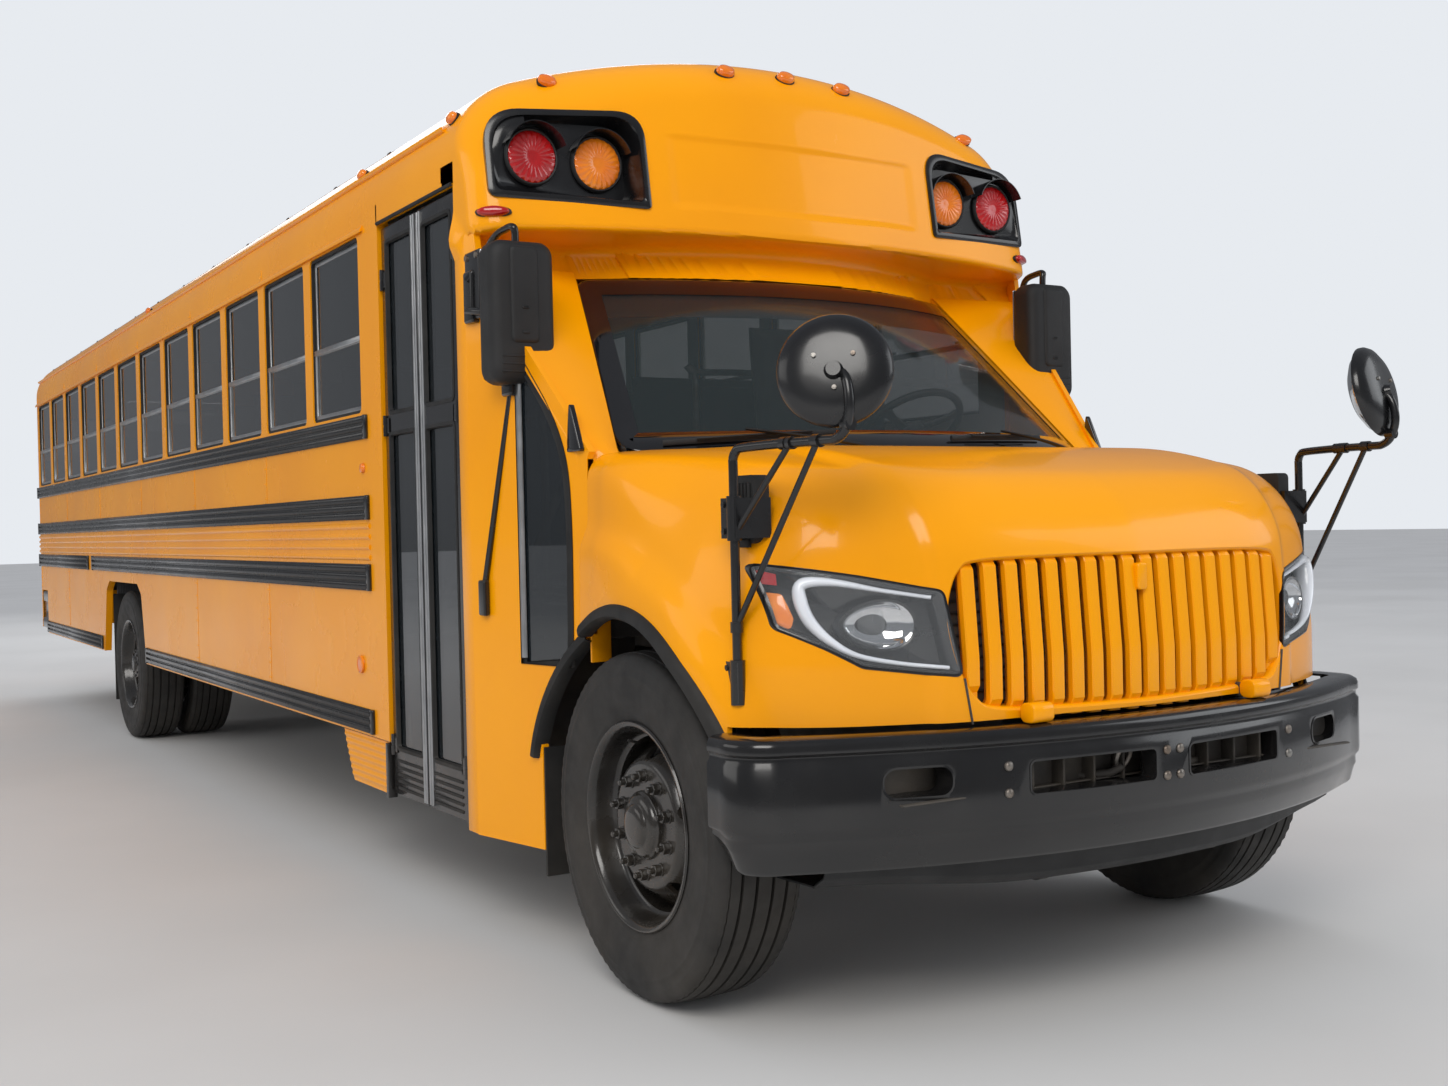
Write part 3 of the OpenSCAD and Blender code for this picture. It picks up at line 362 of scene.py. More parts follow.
def material(name, colour, tint=None, rough=0.4, rough_to=None, drift=1.5, grain=0.0, grain_size=400.0,
             dirt=0.0, wave=None, **sockets):
    """Procedural surface: colour drifts to tint, gloss drifts, fine grain bumps, dirt gathers low down."""
    mat = bpy.data.materials.new(name)
    mat.use_nodes = True
    nodes, links = mat.node_tree.nodes, mat.node_tree.links
    shader = nodes["Principled BSDF"]
    place = nodes.new("ShaderNodeTexCoord").outputs["Object"]

    def noise(scale, detail=4.0):
        n = nodes.new("ShaderNodeTexNoise")
        n.inputs["Scale"].default_value, n.inputs["Detail"].default_value = scale, detail
        links.new(place, n.inputs["Vector"])
        return n.outputs["Fac"]

    def spread(value, low, high, to_low, to_high):
        m = nodes.new("ShaderNodeMapRange")
        for key, number in zip(("From Min", "From Max", "To Min", "To Max"), (low, high, to_low, to_high)):
            m.inputs[key].default_value = number
        links.new(value, m.inputs["Value"])
        return m.outputs["Result"]

    def colour_socket(sockets_, name):
        return next(s for s in sockets_ if s.name == name and s.type == "RGBA")

    def mix(factor, a, b):
        m = nodes.new("ShaderNodeMix")
        m.data_type = "RGBA"
        links.new(factor, m.inputs["Factor"])
        for key, c in (("A", a), ("B", b)):
            socket = colour_socket(m.inputs, key)
            if isinstance(c, tuple):
                socket.default_value = (*c, 1)
            else:
                links.new(c, socket)
        return colour_socket(m.outputs, "Result")

    tint = tint or tuple(c * 0.82 for c in colour)
    out = mix(spread(noise(drift), 0.38, 0.66, 0.0, 1.0), colour, tint)
    if dirt:
        split = nodes.new("ShaderNodeSeparateXYZ")
        links.new(place, split.inputs[0])
        low = spread(split.outputs["Z"], 0.25, 1.3, dirt, 0.0)
        both = nodes.new("ShaderNodeMath")
        both.operation = "MULTIPLY"
        links.new(low, both.inputs[0])
        links.new(spread(noise(3.0, 6.0), 0.35, 0.7, 0.15, 1.0), both.inputs[1])
        out = mix(both.outputs[0], out, (0.30, 0.24, 0.17))
    links.new(out, shader.inputs["Base Color"])
    high = rough * 1.35 if rough_to is None else rough_to
    links.new(spread(noise(drift * 2.3, 6.0), 0.35, 0.7, rough, high), shader.inputs["Roughness"])
    if grain or wave:
        bump = nodes.new("ShaderNodeBump")
        bump.inputs["Strength"].default_value = grain or wave[2]
        bump.inputs["Distance"].default_value = 0.002 if grain else wave[3]
        if wave:
            w = nodes.new("ShaderNodeTexWave")
            w.bands_direction, w.inputs["Scale"].default_value = wave[0], wave[1]
            links.new(place, w.inputs["Vector"])
            links.new(w.outputs["Fac"], bump.inputs["Height"])
        else:
            links.new(noise(grain_size, 2.0), bump.inputs["Height"])
        links.new(bump.outputs["Normal"], shader.inputs["Normal"])
    for key, value in sockets.items():
        shader.inputs[key.replace("_", " ")].default_value = value
    return mat


def glass(name, colour, rough=0.0, alpha=0.35, **sockets):
    return material(name, colour, tint=tuple(c * 0.9 for c in colour), rough=rough, rough_to=rough + 0.02,
                    drift=0.8, IOR=1.5, Alpha=alpha, **sockets)


YELLOW = (0.95, 0.36, 0.0)
M = {
    "yellow": material("bus_yellow", YELLOW, (0.89, 0.325, 0.002), 0.20, 0.28, 0.9, 0.0, 900.0,
                       Coat_Weight=0.25, Coat_Roughness=0.04, Specular_IOR_Level=0.2),
    "lower": material("bus_yellow_low", YELLOW, (0.89, 0.322, 0.002), 0.22, 0.32, 0.9, 0.0, 900.0, dirt=0.05,
                      Coat_Weight=0.22, Coat_Roughness=0.05, Specular_IOR_Level=0.2),
    "white": material("roof_white", (0.72, 0.735, 0.75), (0.60, 0.62, 0.63), 0.42, 0.6, 1.6, 0.06, 300.0),
    "black": material("trim_black", (0.005, 0.005, 0.0055), (0.009, 0.009, 0.010), 0.20, 0.34, 2.0, 0.0, 700.0,
                      dirt=0.05, Coat_Weight=0.35, Coat_Roughness=0.12),
    "bumper": material("bumper_black", (0.004, 0.004, 0.0045), (0.007, 0.007, 0.0075), 0.16, 0.30, 3.0, 0.0, 500.0,
                       dirt=0.02, Coat_Weight=0.5, Coat_Roughness=0.10),
    "plastic": material("moulded_black", (0.009, 0.009, 0.0095), (0.015, 0.015, 0.0155), 0.48,
                        0.62, 4.0, 0.35, 1400.0),
    "rubber": material("rubber", (0.008, 0.008, 0.008), (0.015, 0.0145, 0.014), 0.60, 0.78, 6.0,
                       0.15, 900.0, dirt=0.08),
    "tyre": material("tyre_rubber", (0.011, 0.011, 0.011), (0.020, 0.019, 0.018), 0.60, 0.80, 7.0, 0.30, 600.0,
                     dirt=0.10),
    "rim": material("wheel_black", (0.005, 0.005, 0.0055), (0.010, 0.010, 0.010), 0.16, 0.36, 5.0, 0.05, 500.0,
                    dirt=0.12, Coat_Weight=0.5, Coat_Roughness=0.1),
    "chassis": material("chassis_black", (0.02, 0.02, 0.021), (0.06, 0.052, 0.042), 0.5, 0.8, 5.0,
                        0.3, 220.0, dirt=0.35),
    "cast": material("cast_iron", (0.10, 0.10, 0.10), (0.16, 0.13, 0.11), 0.55, 0.8, 6.0, 0.6, 260.0, Metallic=0.7),
    "steel": material("bare_steel", (0.34, 0.33, 0.31), (0.26, 0.21, 0.17), 0.34, 0.55, 8.0, 0.2, 500.0, Metallic=1.0),
    "chrome": material("chrome", (0.72, 0.73, 0.74), (0.60, 0.61, 0.62), 0.05, 0.10, 3.0, Metallic=1.0),
    "alu": material("sash_aluminium", (0.50, 0.51, 0.52), (0.40, 0.41, 0.42), 0.30, 0.46, 9.0, 0.15,
                    800.0, Metallic=1.0),
    "dash": material("dash_plastic", (0.055, 0.056, 0.06), (0.07, 0.07, 0.075), 0.55, 0.7, 4.0, 0.4, 900.0),
    "lining": material("cabin_lining", (0.52, 0.52, 0.50), (0.44, 0.44, 0.42), 0.5, 0.65, 3.0, 0.1, 500.0),
    "vinyl": material("bench_vinyl", (0.022, 0.034, 0.062), (0.034, 0.048, 0.08), 0.42, 0.58, 5.0, 0.45, 700.0,
                      Coat_Weight=0.1),
    "fabric": material("seat_fabric", (0.07, 0.07, 0.08), (0.10, 0.10, 0.11), 0.85, 0.95, 9.0, 0.7, 1500.0,
                       Sheen_Weight=0.3),
    "floor": material("floor_rubber", (0.045, 0.046, 0.05), (0.07, 0.068, 0.066), 0.6, 0.8, 4.0,
                      wave=("X", 28.0, 0.6, 0.003)),
    "red": material("lens_red", (0.36, 0.004, 0.006), (0.52, 0.008, 0.01), 0.12, 0.2, 9.0, Coat_Weight=0.8,
                    Coat_Roughness=0.03),
    "amber": material("lens_amber", (0.80, 0.17, 0.006), (0.90, 0.26, 0.01), 0.12, 0.2, 9.0, Coat_Weight=0.8,
                      Coat_Roughness=0.03),
    "white_lens": material("lens_white", (0.80, 0.82, 0.85), (0.72, 0.74, 0.78), 0.15, 0.25, 9.0, Coat_Weight=0.8,
                           Coat_Roughness=0.03),
    "stop": material("stop_red", (0.42, 0.006, 0.008), (0.36, 0.005, 0.008), 0.3, 0.42, 5.0, 0.3, 1600.0),
    "tint": glass("side_glass", (0.012, 0.016, 0.019), 0.015, 0.72, Coat_Weight=1.0, Coat_Roughness=0.01),
    "screen": glass("screen_glass", (0.035, 0.048, 0.048), 0.01, 0.30, Coat_Weight=1.0, Coat_Roughness=0.01),
    "clear": glass("lamp_clear", (0.75, 0.78, 0.8), 0.02, 0.10, Coat_Weight=1.0, Coat_Roughness=0.01),
    "frit": material("screen_border", (0.006, 0.006, 0.007), (0.009, 0.009, 0.01), 0.06, 0.10, 3.0, Coat_Weight=0.6,
                     Coat_Roughness=0.03),
}

# ---------------------------------------------------------------- camera, light and floor


def camera():
    """The photograph's viewpoint, fitted to the body lines."""
    yaw, pitch, roll = 0.548, -0.012, -0.023
    place, focal_px, image_w, sensor = Vector((-3.218, -3.933 + AXLE_Y, 1.367)), 1547.35, 1448, 36
    ahead = Vector((math.sin(yaw) * math.cos(pitch), math.cos(yaw) * math.cos(pitch), math.sin(pitch)))
    right = Vector((math.cos(yaw), -math.sin(yaw), 0))
    up = right.cross(ahead)
    r = right * math.cos(roll) + up * math.sin(roll)
    u = -right * math.sin(roll) + up * math.cos(roll)
    data = bpy.data.cameras.new("camera")
    data.sensor_width, data.lens = sensor, sensor * focal_px / image_w
    data.clip_start, data.clip_end = 0.05, 500
    cam = bpy.data.objects.new("camera", data)
    cam.matrix_world = Matrix((r, u, -ahead)).transposed().to_4x4()
    cam.location = place
    bpy.context.scene.collection.objects.link(cam)
    bpy.context.scene.camera = cam


def area_light(name, place, target, size, power, tone=(1, 1, 1)):
    data = bpy.data.lights.new(name, "AREA")
    data.shape, data.size, data.size_y, data.energy, data.color = "RECTANGLE", size[0], size[1], power, tone
    lamp = bpy.data.objects.new(name, data)
    lamp.location = place
    lamp.rotation_euler = (Vector(target) - Vector(place)).to_track_quat("-Z", "Y").to_euler()
    bpy.context.scene.collection.objects.link(lamp)


def studio():
    """Pale floor, a soft dome that is paler towards the top, and four large soft lamps."""
    scene = bpy.context.scene
    scene.view_settings.view_transform = "Standard"
    world = bpy.data.worlds.new("studio")
    world.use_nodes = True
    scene.world = world
    nodes, links = world.node_tree.nodes, world.node_tree.links
    back = nodes["Background"]
    seen = nodes.new("ShaderNodeBackground")
    seen.inputs["Color"].default_value, seen.inputs["Strength"].default_value = (0.80, 0.83, 0.87, 1), 1.0
    ray, both = nodes.new("ShaderNodeLightPath"), nodes.new("ShaderNodeMixShader")
    coord, split = nodes.new("ShaderNodeTexCoord"), nodes.new("ShaderNodeSeparateXYZ")
    ramp = nodes.new("ShaderNodeValToRGB")
    ramp.color_ramp.elements[0].position, ramp.color_ramp.elements[0].color = 0.42, (0.34, 0.33, 0.32, 1)
    ramp.color_ramp.elements[1].position, ramp.color_ramp.elements[1].color = 0.95, (0.72, 0.76, 0.84, 1)
    step = ramp.color_ramp.elements.new(0.52)
    step.color = (0.60, 0.62, 0.66, 1)
    shift = nodes.new("ShaderNodeMapRange")
    shift.inputs["From Min"].default_value = -1
    links.new(coord.outputs["Generated"], split.inputs[0])
    links.new(split.outputs["Z"], shift.inputs["Value"])
    links.new(shift.outputs["Result"], ramp.inputs["Fac"])
    links.new(ramp.outputs["Color"], back.inputs["Color"])
    back.inputs["Strength"].default_value = 1.05
    links.new(ray.outputs["Is Camera Ray"], both.inputs[0])
    links.new(back.outputs[0], both.inputs[1])
    links.new(seen.outputs[0], both.inputs[2])
    # mirrored in paint and glass, the dome is dimmer
    dim, glossy = nodes.new("ShaderNodeBackground"), nodes.new("ShaderNodeMixShader")
    links.new(ramp.outputs["Color"], dim.inputs["Color"])
    dim.inputs["Strength"].default_value = 0.30
    links.new(ray.outputs["Is Glossy Ray"], glossy.inputs[0])
    links.new(both.outputs[0], glossy.inputs[1])
    links.new(dim.outputs[0], glossy.inputs[2])
    links.new(glossy.outputs[0], nodes["World Output"].inputs["Surface"])
    area_light("key", (-9, -14, 11), (0, -3, 1.5), (9, 7), 1150, (1.0, 0.975, 0.94))
    area_light("fill", (12, -12, 7), (0, -3, 1.5), (9, 7), 330, (0.94, 0.97, 1.0))
    area_light("back", (6, 16, 10), (0, 2, 1.5), (10, 8), 650, (0.96, 0.98, 1.0))
    area_light("curb", (-14, 3, 7), (0, 1, 1.5), (12, 6), 240, (1.0, 0.98, 0.95))

    floor = bpy.data.meshes.new("ground")
    reach = 90
    corners = [(-reach, -reach, 0), (reach, -reach, 0), (reach, reach, 0), (-reach, reach, 0)]
    floor.from_pydata(corners, [], [(0, 1, 2, 3)])
    ground = bpy.data.objects.new("ground", floor)
    bpy.context.scene.collection.objects.link(ground)
    floor.materials.append(material("pale_floor", (0.60, 0.585, 0.56), (0.56, 0.545, 0.52), 0.7, 0.85, 0.4, 0.1, 60.0))


camera()
studio()

# ---------------------------------------------------------------- body sides


def section(t=0.0, low=None, steps=14):
    """Half of the body's cross-section in x and z, from the crown down to low, moved in by t."""
    crown = [(x, CROWN_Z - ROOF_R + math.sqrt((ROOF_R - t) ** 2 - x ** 2))
             for x in np.linspace(0, TANGENT_X * (ROOF_R - t) / ROOF_R, steps)]
    a0 = math.degrees(math.asin(TANGENT_X / ROOF_R))
    corner = arc(CORNER_X, CORNER_Z, CORNER_R - t, 90 - a0, 0, steps)
    return crown + corner[1:] + ([(HALF_W - t, low)] if low is not None else [])


DRIVER_Y, DRIVER_W, DRIVER_SILL_DROP = 1.145, 0.735, 0.15


def wall_outline(low):
    """Solid outline of one side wall, in x and z, up to the eave."""
    out = [p for p in section(0, low) if p[1] <= EAVE_Z]
    inner = [p for p in section(WALL_T, low) if p[1] <= EAVE_Z]
    return out + inner[::-1]


ARCH_HALF = TYRE_R + 0.095
ARCH_FLARE = 0.17


def arch_outline():
    """Rear wheel opening in y and z."""
    r = ARCH_HALF
    half = [(r + ARCH_FLARE, SKIRT_Z - 0.1), (r + 0.02, HUB_Z + 0.495), (r - 0.10, HUB_Z + 0.56)]
    return [(WHEELBASE - y, z) for y, z in half] + [(WHEELBASE + y, z) for y, z in half[::-1]]


def side_wall(side):
    """One side of the body: a shell with its windows, wheel opening and doorway cut out."""
    front = CAB_Y + 0.005 if side == DRIVER else DOOR_Y[1]
    shell = Shape().prism(wall_outline(SKIRT_Z), "y", front, REAR_Y - WALL_T)
    wall = make("wall_" + SIDE_NAME[side], on_side(shell, side), [M["lower"], M["lining"]], slot="body_yellow")
    outside, through = side * 1.1, side * 1.3
    holes = Shape()
    for i in range(WINDOWS):
        y = window_y(i)
        holes.prism(rounded(y, SILL_Z, y + WINDOW_W, HEADER_Z, 0.028), "x", outside, through)
    if side == DRIVER:
        low = SILL_Z - DRIVER_SILL_DROP
        holes.prism(rounded(DRIVER_Y, low, DRIVER_Y + DRIVER_W, HEADER_Z, 0.03), "x", outside, through)
    cut(wall, holes)
    arch = rounded_corners(arch_outline(), [0, 0.05, 0.05, 0.05, 0.05, 0])
    tool = Shape().prism(arch, "x", outside, through)
    cut(wall, tool.box((outside, REAR_Y - 0.4, 0), (through, REAR_Y + 0.1, HUB_Z + 0.42)))
    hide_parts("left_side_wall" if side == DRIVER else "right_side_wall")
    line_inside(wall, side)


def line_inside(wall, side):
    """Gives the faces that look into the cabin the lining's finish."""
    for face in wall.data.polygons:
        inner = face.normal.x * side < -0.4 and abs(face.center.x) < HALF_W - WALL_T + 0.01
        window_head = face.normal.z < -0.9 and face.center.z > EAVE_Z - 0.02
        if inner or window_head:
            face.material_index = 1


RAIL_DEEP = 0.014


def rail_profile(z0, z1):
    """Rub rail section in x and z: a flat strip pressed into three long ribs."""
    deep, n, h = RAIL_DEEP, 3, z1 - z0
    out = [(HALF_W - 0.002, z0), (HALF_W + deep * 0.45, z0)]
    for i in range(n):
        a, b = z0 + h * (i + 0.10) / n, z0 + h * (i + 0.90) / n
        out += [(HALF_W + deep * 0.4, a), (HALF_W + deep, a + 0.16 * (b - a)), (HALF_W + deep, b - 0.16 * (b - a)),
                (HALF_W + deep * 0.4, b)]
    return out + [(HALF_W + deep * 0.45, z1), (HALF_W - 0.002, z1)]


def rub_rails():
    """Four rails on each side: under the windows, at seat and floor height, and along the skirt."""
    before_arch = WHEELBASE - ARCH_HALF - ARCH_FLARE
    behind_arch = WHEELBASE + ARCH_HALF + ARCH_FLARE + 0.02
    window, seat = (SILL_Z - 0.106, SILL_Z - 0.012), (FLOOR_Z + 0.359, FLOOR_Z + 0.455)
    floor_, skirt = (FLOOR_Z + 0.076, FLOOR_Z + 0.181), (SKIRT_Z + 0.010, SKIRT_Z + 0.106)
    for side in (CURB, DRIVER):
        start = 2.025 if side == CURB else 1.155
        spans = [(*window, start, REAR_Y), (*seat, start, REAR_Y),
                 (*floor_, start, REAR_Y - 2.72), (*floor_, REAR_Y - 2.56, REAR_Y),
                 (*skirt, start, before_arch), (*skirt, behind_arch, REAR_Y - 0.405)]
        rails, ends = Shape(), Shape()
        for z0, z1, y0, y1 in spans:
            rails.prism(rail_profile(z0, z1), "y", y0 + 0.03, y1 - 0.03)
            for a, b in ((y0, y0 + 0.034), (y1 - 0.034, y1)):
                ends.prism(rounded(a, z0 - 0.001, b, z1 + 0.001, 0.006, 3), "x", HALF_W - 0.002, HALF_W + 0.0125)
        obj = make("rub_rails_" + SIDE_NAME[side], on_side(rails.join(ends), side), [M["black"]],
                   slot="black_trim", bevel=0.0012, segments=1, angle=50)
        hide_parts("rub_rails")


def pressed_ribs():
    """Long yellow ribs pressed into the side sheets, between the second and third rails."""
    for side in (CURB, DRIVER):
        start = 2.03 if side == CURB else 1.16
        ribs = Shape()
        z0, z1, n = FLOOR_Z + 0.187, FLOOR_Z + 0.353, 4
        for i in range(n):
            z = z0 + (z1 - z0) * (i + 0.5) / n
            h = (z1 - z0) / n * 0.36
            bulge = [(-0.003, -h), (0.004, -h * 0.55), (0.0075, 0), (0.004, h * 0.55), (-0.003, h)]
            ribs.prism([(HALF_W + out, z + up) for out, up in bulge], "y", start, REAR_Y - 0.01)
        make("side_ribs_" + SIDE_NAME[side], on_side(ribs, side), [M["lower"]], slot="body_yellow")


def sheet_joints():
    """Vertical laps where the side sheets meet, with their rivets, and the drip rail at the eave."""
    for side in (CURB, DRIVER):
        laps, rivets, drip = Shape(), Shape(), Shape()
        for i in range(0, WINDOWS + 1, 2):
            y = min(window_y(i) - POST_W / 2, REAR_Y - 0.06)
            if side == CURB and i == 0:
                continue
            spans = ((SKIRT_Z + 0.11, FLOOR_Z + 0.07), (FLOOR_Z + 0.46, SILL_Z - 0.11),
                     (HEADER_Z + 0.03, EAVE_Z - 0.16))
            for z0, z1 in spans:
                if z0 < FLOOR_Z and abs(y - WHEELBASE) < 0.8:
                    continue
                laps.prism(rounded(y - 0.02, z0, y + 0.02, z1, 0.003, 2), "x", HALF_W - 0.001, HALF_W + 0.0015)
                for z in np.arange(z0 + 0.02, z1, 0.07):
                    for dy in (-0.012, 0.012):
                        rivets.lathe([(HALF_W + 0.001, 0.0045), (HALF_W + 0.003, 0.0035), (HALF_W + 0.0038, 0.0)],
                                     (0, y + dy, z), "x", 7)
        x0, z = [p for p in section(0) if p[1] <= EAVE_Z][0]
        gutter = [(-0.012, -0.012), (0.010, -0.010), (0.018, -0.002), (0.018, 0.006), (0.013, 0.006),
                  (0.011, -0.003), (-0.008, 0.010)]
        drip.prism([(x0 + out, z + up) for out, up in gutter], "y", CAP_END_Y + 0.03, REAR_Y - 0.02)
        # belt over the windows, which throws their heads into shadow
        belt = [(-0.002, 0.014), (0.010, 0.006), (0.012, 0.012), (0.004, 0.030), (-0.002, 0.034)]
        drip.prism([(HALF_W + out, HEADER_Z + up) for out, up in belt], "y", ROOF_SEAM_Y, REAR_Y - 0.02)
        for piece, name in ((laps, "laps"), (rivets, "rivets"), (drip, "drip_rail")):
            make(f"{name}_{SIDE_NAME[side]}", on_side(piece, side), [M["yellow"]], slot="body_yellow")


def sash(y, w, z0, z1, bar):
    """Split window in its aluminium frame: returns the frame, the rubber round it and the panes."""
    x0, x1, e = HALF_W - 0.034, HALF_W - 0.010, 0.022
    bars, seal, panes = Shape(), Shape(), Shape()

    def ring(shape, y0, za, y1, zb, wide, xa, xb, r):
        outer = rounded(y0, za, y1, zb, r, 4)
        inner = rounded(y0 + wide, za + wide, y1 - wide, zb - wide, max(r - wide, 0.004), 4)
        loops = [[(x, u, v) for u, v in line] for x, line in ((xa, inner), (xa, outer), (xb, outer), (xb, inner))]
        shape.grid(loops, wrap=True, closed=True)

    ring(seal, y + 0.001, z0 + 0.001, y + w - 0.001, z1 - 0.001, 0.012, x0, HALF_W - 0.006, 0.027)
    # fixed lower light, and the sliding upper one set further in
    ring(bars, y + 0.008, z0 + 0.008, y + w - 0.008, z0 + bar + 0.014, e, x0 + 0.010, x1, 0.02)
    ring(bars, y + 0.010, z0 + bar - 0.012, y + w - 0.010, z1 - 0.008, e, x0, x1 - 0.008, 0.02)
    bars.box((x1 - 0.006, y + 0.014, z0 + bar - 0.010), (x1 + 0.003, y + w - 0.014, z0 + bar + 0.012))
    # finger catches
    for dy in (0.11, w - 0.15):
        bars.box((x0 - 0.012, y + dy, z0 + bar + 0.012), (x0 + 0.004, y + dy + 0.04, z0 + bar + 0.024))
    panes.box((x1 - 0.014, y + 0.026, z0 + 0.026), (x1 - 0.009, y + w - 0.026, z0 + bar - 0.006))
    panes.box((x0 + 0.008, y + 0.028, z0 + bar + 0.008), (x0 + 0.013, y + w - 0.028, z1 - 0.026))
    return bars, seal, panes


def side_windows():
    """All the side windows and the driver's window, sorted into frames, seals and glass."""
    frames, seals, panes = Shape(), Shape(), Shape()
    spots = [(side, window_y(i), WINDOW_W, SILL_Z, 0.30) for side in (CURB, DRIVER) for i in range(WINDOWS)]
    spots.append((DRIVER, DRIVER_Y, DRIVER_W, SILL_Z - DRIVER_SILL_DROP, 0.42))
    for side, y, w, z0, bar in spots:
        for target, piece in zip((frames, seals, panes), sash(y, w, z0, HEADER_Z, bar)):
            target.join(on_side(piece, side))
    obj = make("sash_frames", frames, [M["alu"]], slot="aluminium", bevel=0.0015, segments=1)
    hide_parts("window_frames")
    make("sash_seals", seals, [M["rubber"]], slot="rubber")
    obj = make("side_panes", panes, [M["tint"]], slot="glass_tinted")
    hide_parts("window_glass")


# ---------------------------------------------------------------- roof


WHITE_X = 1.085


def roof_z(x):
    """Height of the roof's skin at this place across the bus."""
    x = abs(x)
    if x <= TANGENT_X:
        return CROWN_Z - ROOF_R + math.sqrt(ROOF_R ** 2 - x ** 2)
    return CORNER_Z + math.sqrt(max(CORNER_R ** 2 - (x - CORNER_X) ** 2, 0))


def roof():
    """Roof skin: yellow shoulders and front, white from a slanting, rounded edge to the rear."""
    steps = 10
    back = REAR_Y - WALL_T
    half = [p for p in section(0, steps=steps) if p[1] >= EAVE_Z - 0.001]
    line = [(-x, z) for x, z in half[::-1]] + half[1:]
    edge = max(abs(x) for x, z in line)

    def start(x):
        """How far back the white begins at this place across the roof."""
        near = abs(x) / WHITE_X
        return ROOF_SEAM_Y - 0.62 * (1 - near ** 3) if near < 1 else REAR_Y

    def skin(x, y0, y1, lift=0.0):
        return [(x, y, roof_z(x) + lift) for y in np.linspace(y0, y1, 3)]

    yellow, white, inner = Shape(), Shape(), Shape()
    split = sorted(set([x for x, z in line] + [-WHITE_X, WHITE_X]))
    yellow.grid([skin(x, CAP_END_Y, back) for x in split if x <= -WHITE_X + 1e-9])
    yellow.grid([skin(x, CAP_END_Y, back) for x in split if x >= WHITE_X - 1e-9])
    fine = np.linspace(-WHITE_X, WHITE_X, 61)
    yellow.grid([skin(x, CAP_END_Y, start(x)) for x in fine])
    white.grid([skin(x, start(x) if abs(x) < WHITE_X - 1e-6 else ROOF_SEAM_Y, back, 0.0015) for x in fine])
    inner_half = [p for p in section(WALL_T, steps=steps) if p[1] >= EAVE_Z - 0.02]
    inner_line = [(-x, z) for x, z in inner_half[::-1]] + inner_half[1:]
    inner.grid([[(x, y, z) for y in (CAP_END_Y, back)] for x, z in inner_line])
    n = len(inner_line)
    for y in (CAP_END_Y, back):
        outer = [(x, y, roof_z(x)) for x in np.linspace(-edge, edge, n)]
        inner.add([(x, y, z) for x, z in inner_line] + outer, [(i, i + 1, n + i + 1, n + i) for i in range(n - 1)])
    obj = make("roof_yellow", yellow, [M["yellow"]], slot="body_yellow")
    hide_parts("roof")
    make("roof_white", white, [M["white"]], slot="roof_white")
    make("roof_lining", inner, [M["lining"]], slot="body_yellow")
    roof_bows(back)
    roof_hatches()


def roof_bows(back):
    """Raised laps across the roof, and rivets along it between them."""
    bows, rivets = Shape(), Shape()
    lap = [(-0.028, 0), (-0.024, 0.006), (-0.016, 0.0085), (0.016, 0.0085), (0.024, 0.006), (0.028, 0)]
    for i in range(WINDOWS + 1):
        y = max(min(window_y(i) - POST_W / 2, back - 0.03), ROOF_SEAM_Y + 0.06)
        bows.grid([[(x, y + dy, roof_z(x) + up) for dy, up in lap]
                   for x in np.linspace(-WHITE_X + 0.004, WHITE_X - 0.004, 41)])
    make("roof_bows", bows, [M["white"]], slot="roof_white")
    rivet_x = 0.9
    z = roof_z(rivet_x)
    for i in range(1, 2 * WINDOWS):
        y = window_y(0) + i * WINDOW_PITCH / 2
        if y > back - 0.05:
            break
        for s in (-1, 1):
            rivets.lathe([(z + 0.001, 0.006), (z + 0.005, 0.004), (z + 0.006, 0)], (s * rivet_x, y, 0), "z", 8)
    make("roof_rivets", rivets, [M["white"]], slot="roof_white")


def roof_hatches():
    """Two escape hatches with rounded lids."""
    lids, half = Shape(), 0.31
    lid = ((-0.02, 0.0), (-0.012, 0.022), (0.0, 0.03), (0.02, 0.047), (0.05, 0.055), (0.2, 0.066), (0.30, 0.068))
    for y in (3.6, 8.6):
        base = rounded(-0.33, y, 0.33, y + 2 * half, 0.09, 6)
        rows = []
        for inset, z in lid:
            size = 1 - inset / 0.34
            rows.append([(x * size, y + half + (v - y - half) * size, CROWN_Z - 0.022 + z * 0.45) for x, v in base])
        lids.join(capped(rows))
    make("roof_hatches", lids, [M["white"]], slot="roof_white")


for which in (CURB, DRIVER):
    side_wall(which)
rub_rails()
pressed_ribs()
sheet_joints()
side_windows()
roof()

# ---------------------------------------------------------------- windscreen and cab front


SCREEN_Y, SCREEN_Z, SCREEN_TOP = 0.02, 1.6, 2.235
SCREEN_R, LEAN = 2.3, math.radians(48.6)
FOOT_X, HEAD_X = 0.98, 0.81
LIP_Z, CAP_Y, CAP_R, CAP_LEAN = 2.40, 0.70, 4.6, math.radians(9)


def screen_y(x, z, out=0.0):
    """Front of the windscreen's cylinder, moved out along its normal."""
    return SCREEN_Y + (SCREEN_R - np.sqrt(SCREEN_R ** 2 - np.minimum(np.abs(x), 1.5) ** 2)
                       + (z - SCREEN_Z) * math.sin(LEAN) - out) / math.cos(LEAN)


def cap_face_y(x, z):
    """Leaning, slightly rounded face of the front cap."""
    return CAP_Y + (z - LIP_Z) * math.tan(CAP_LEAN) + CAP_R - np.sqrt(CAP_R ** 2 - x ** 2)


def cab_side_x(y):
    """Side of the cab ahead of the doorway: it narrows towards the hood."""
    return HALF_W - np.clip((CAB_Y - y) / (CAB_Y - COWL_Y), 0, 1.2) * 0.13


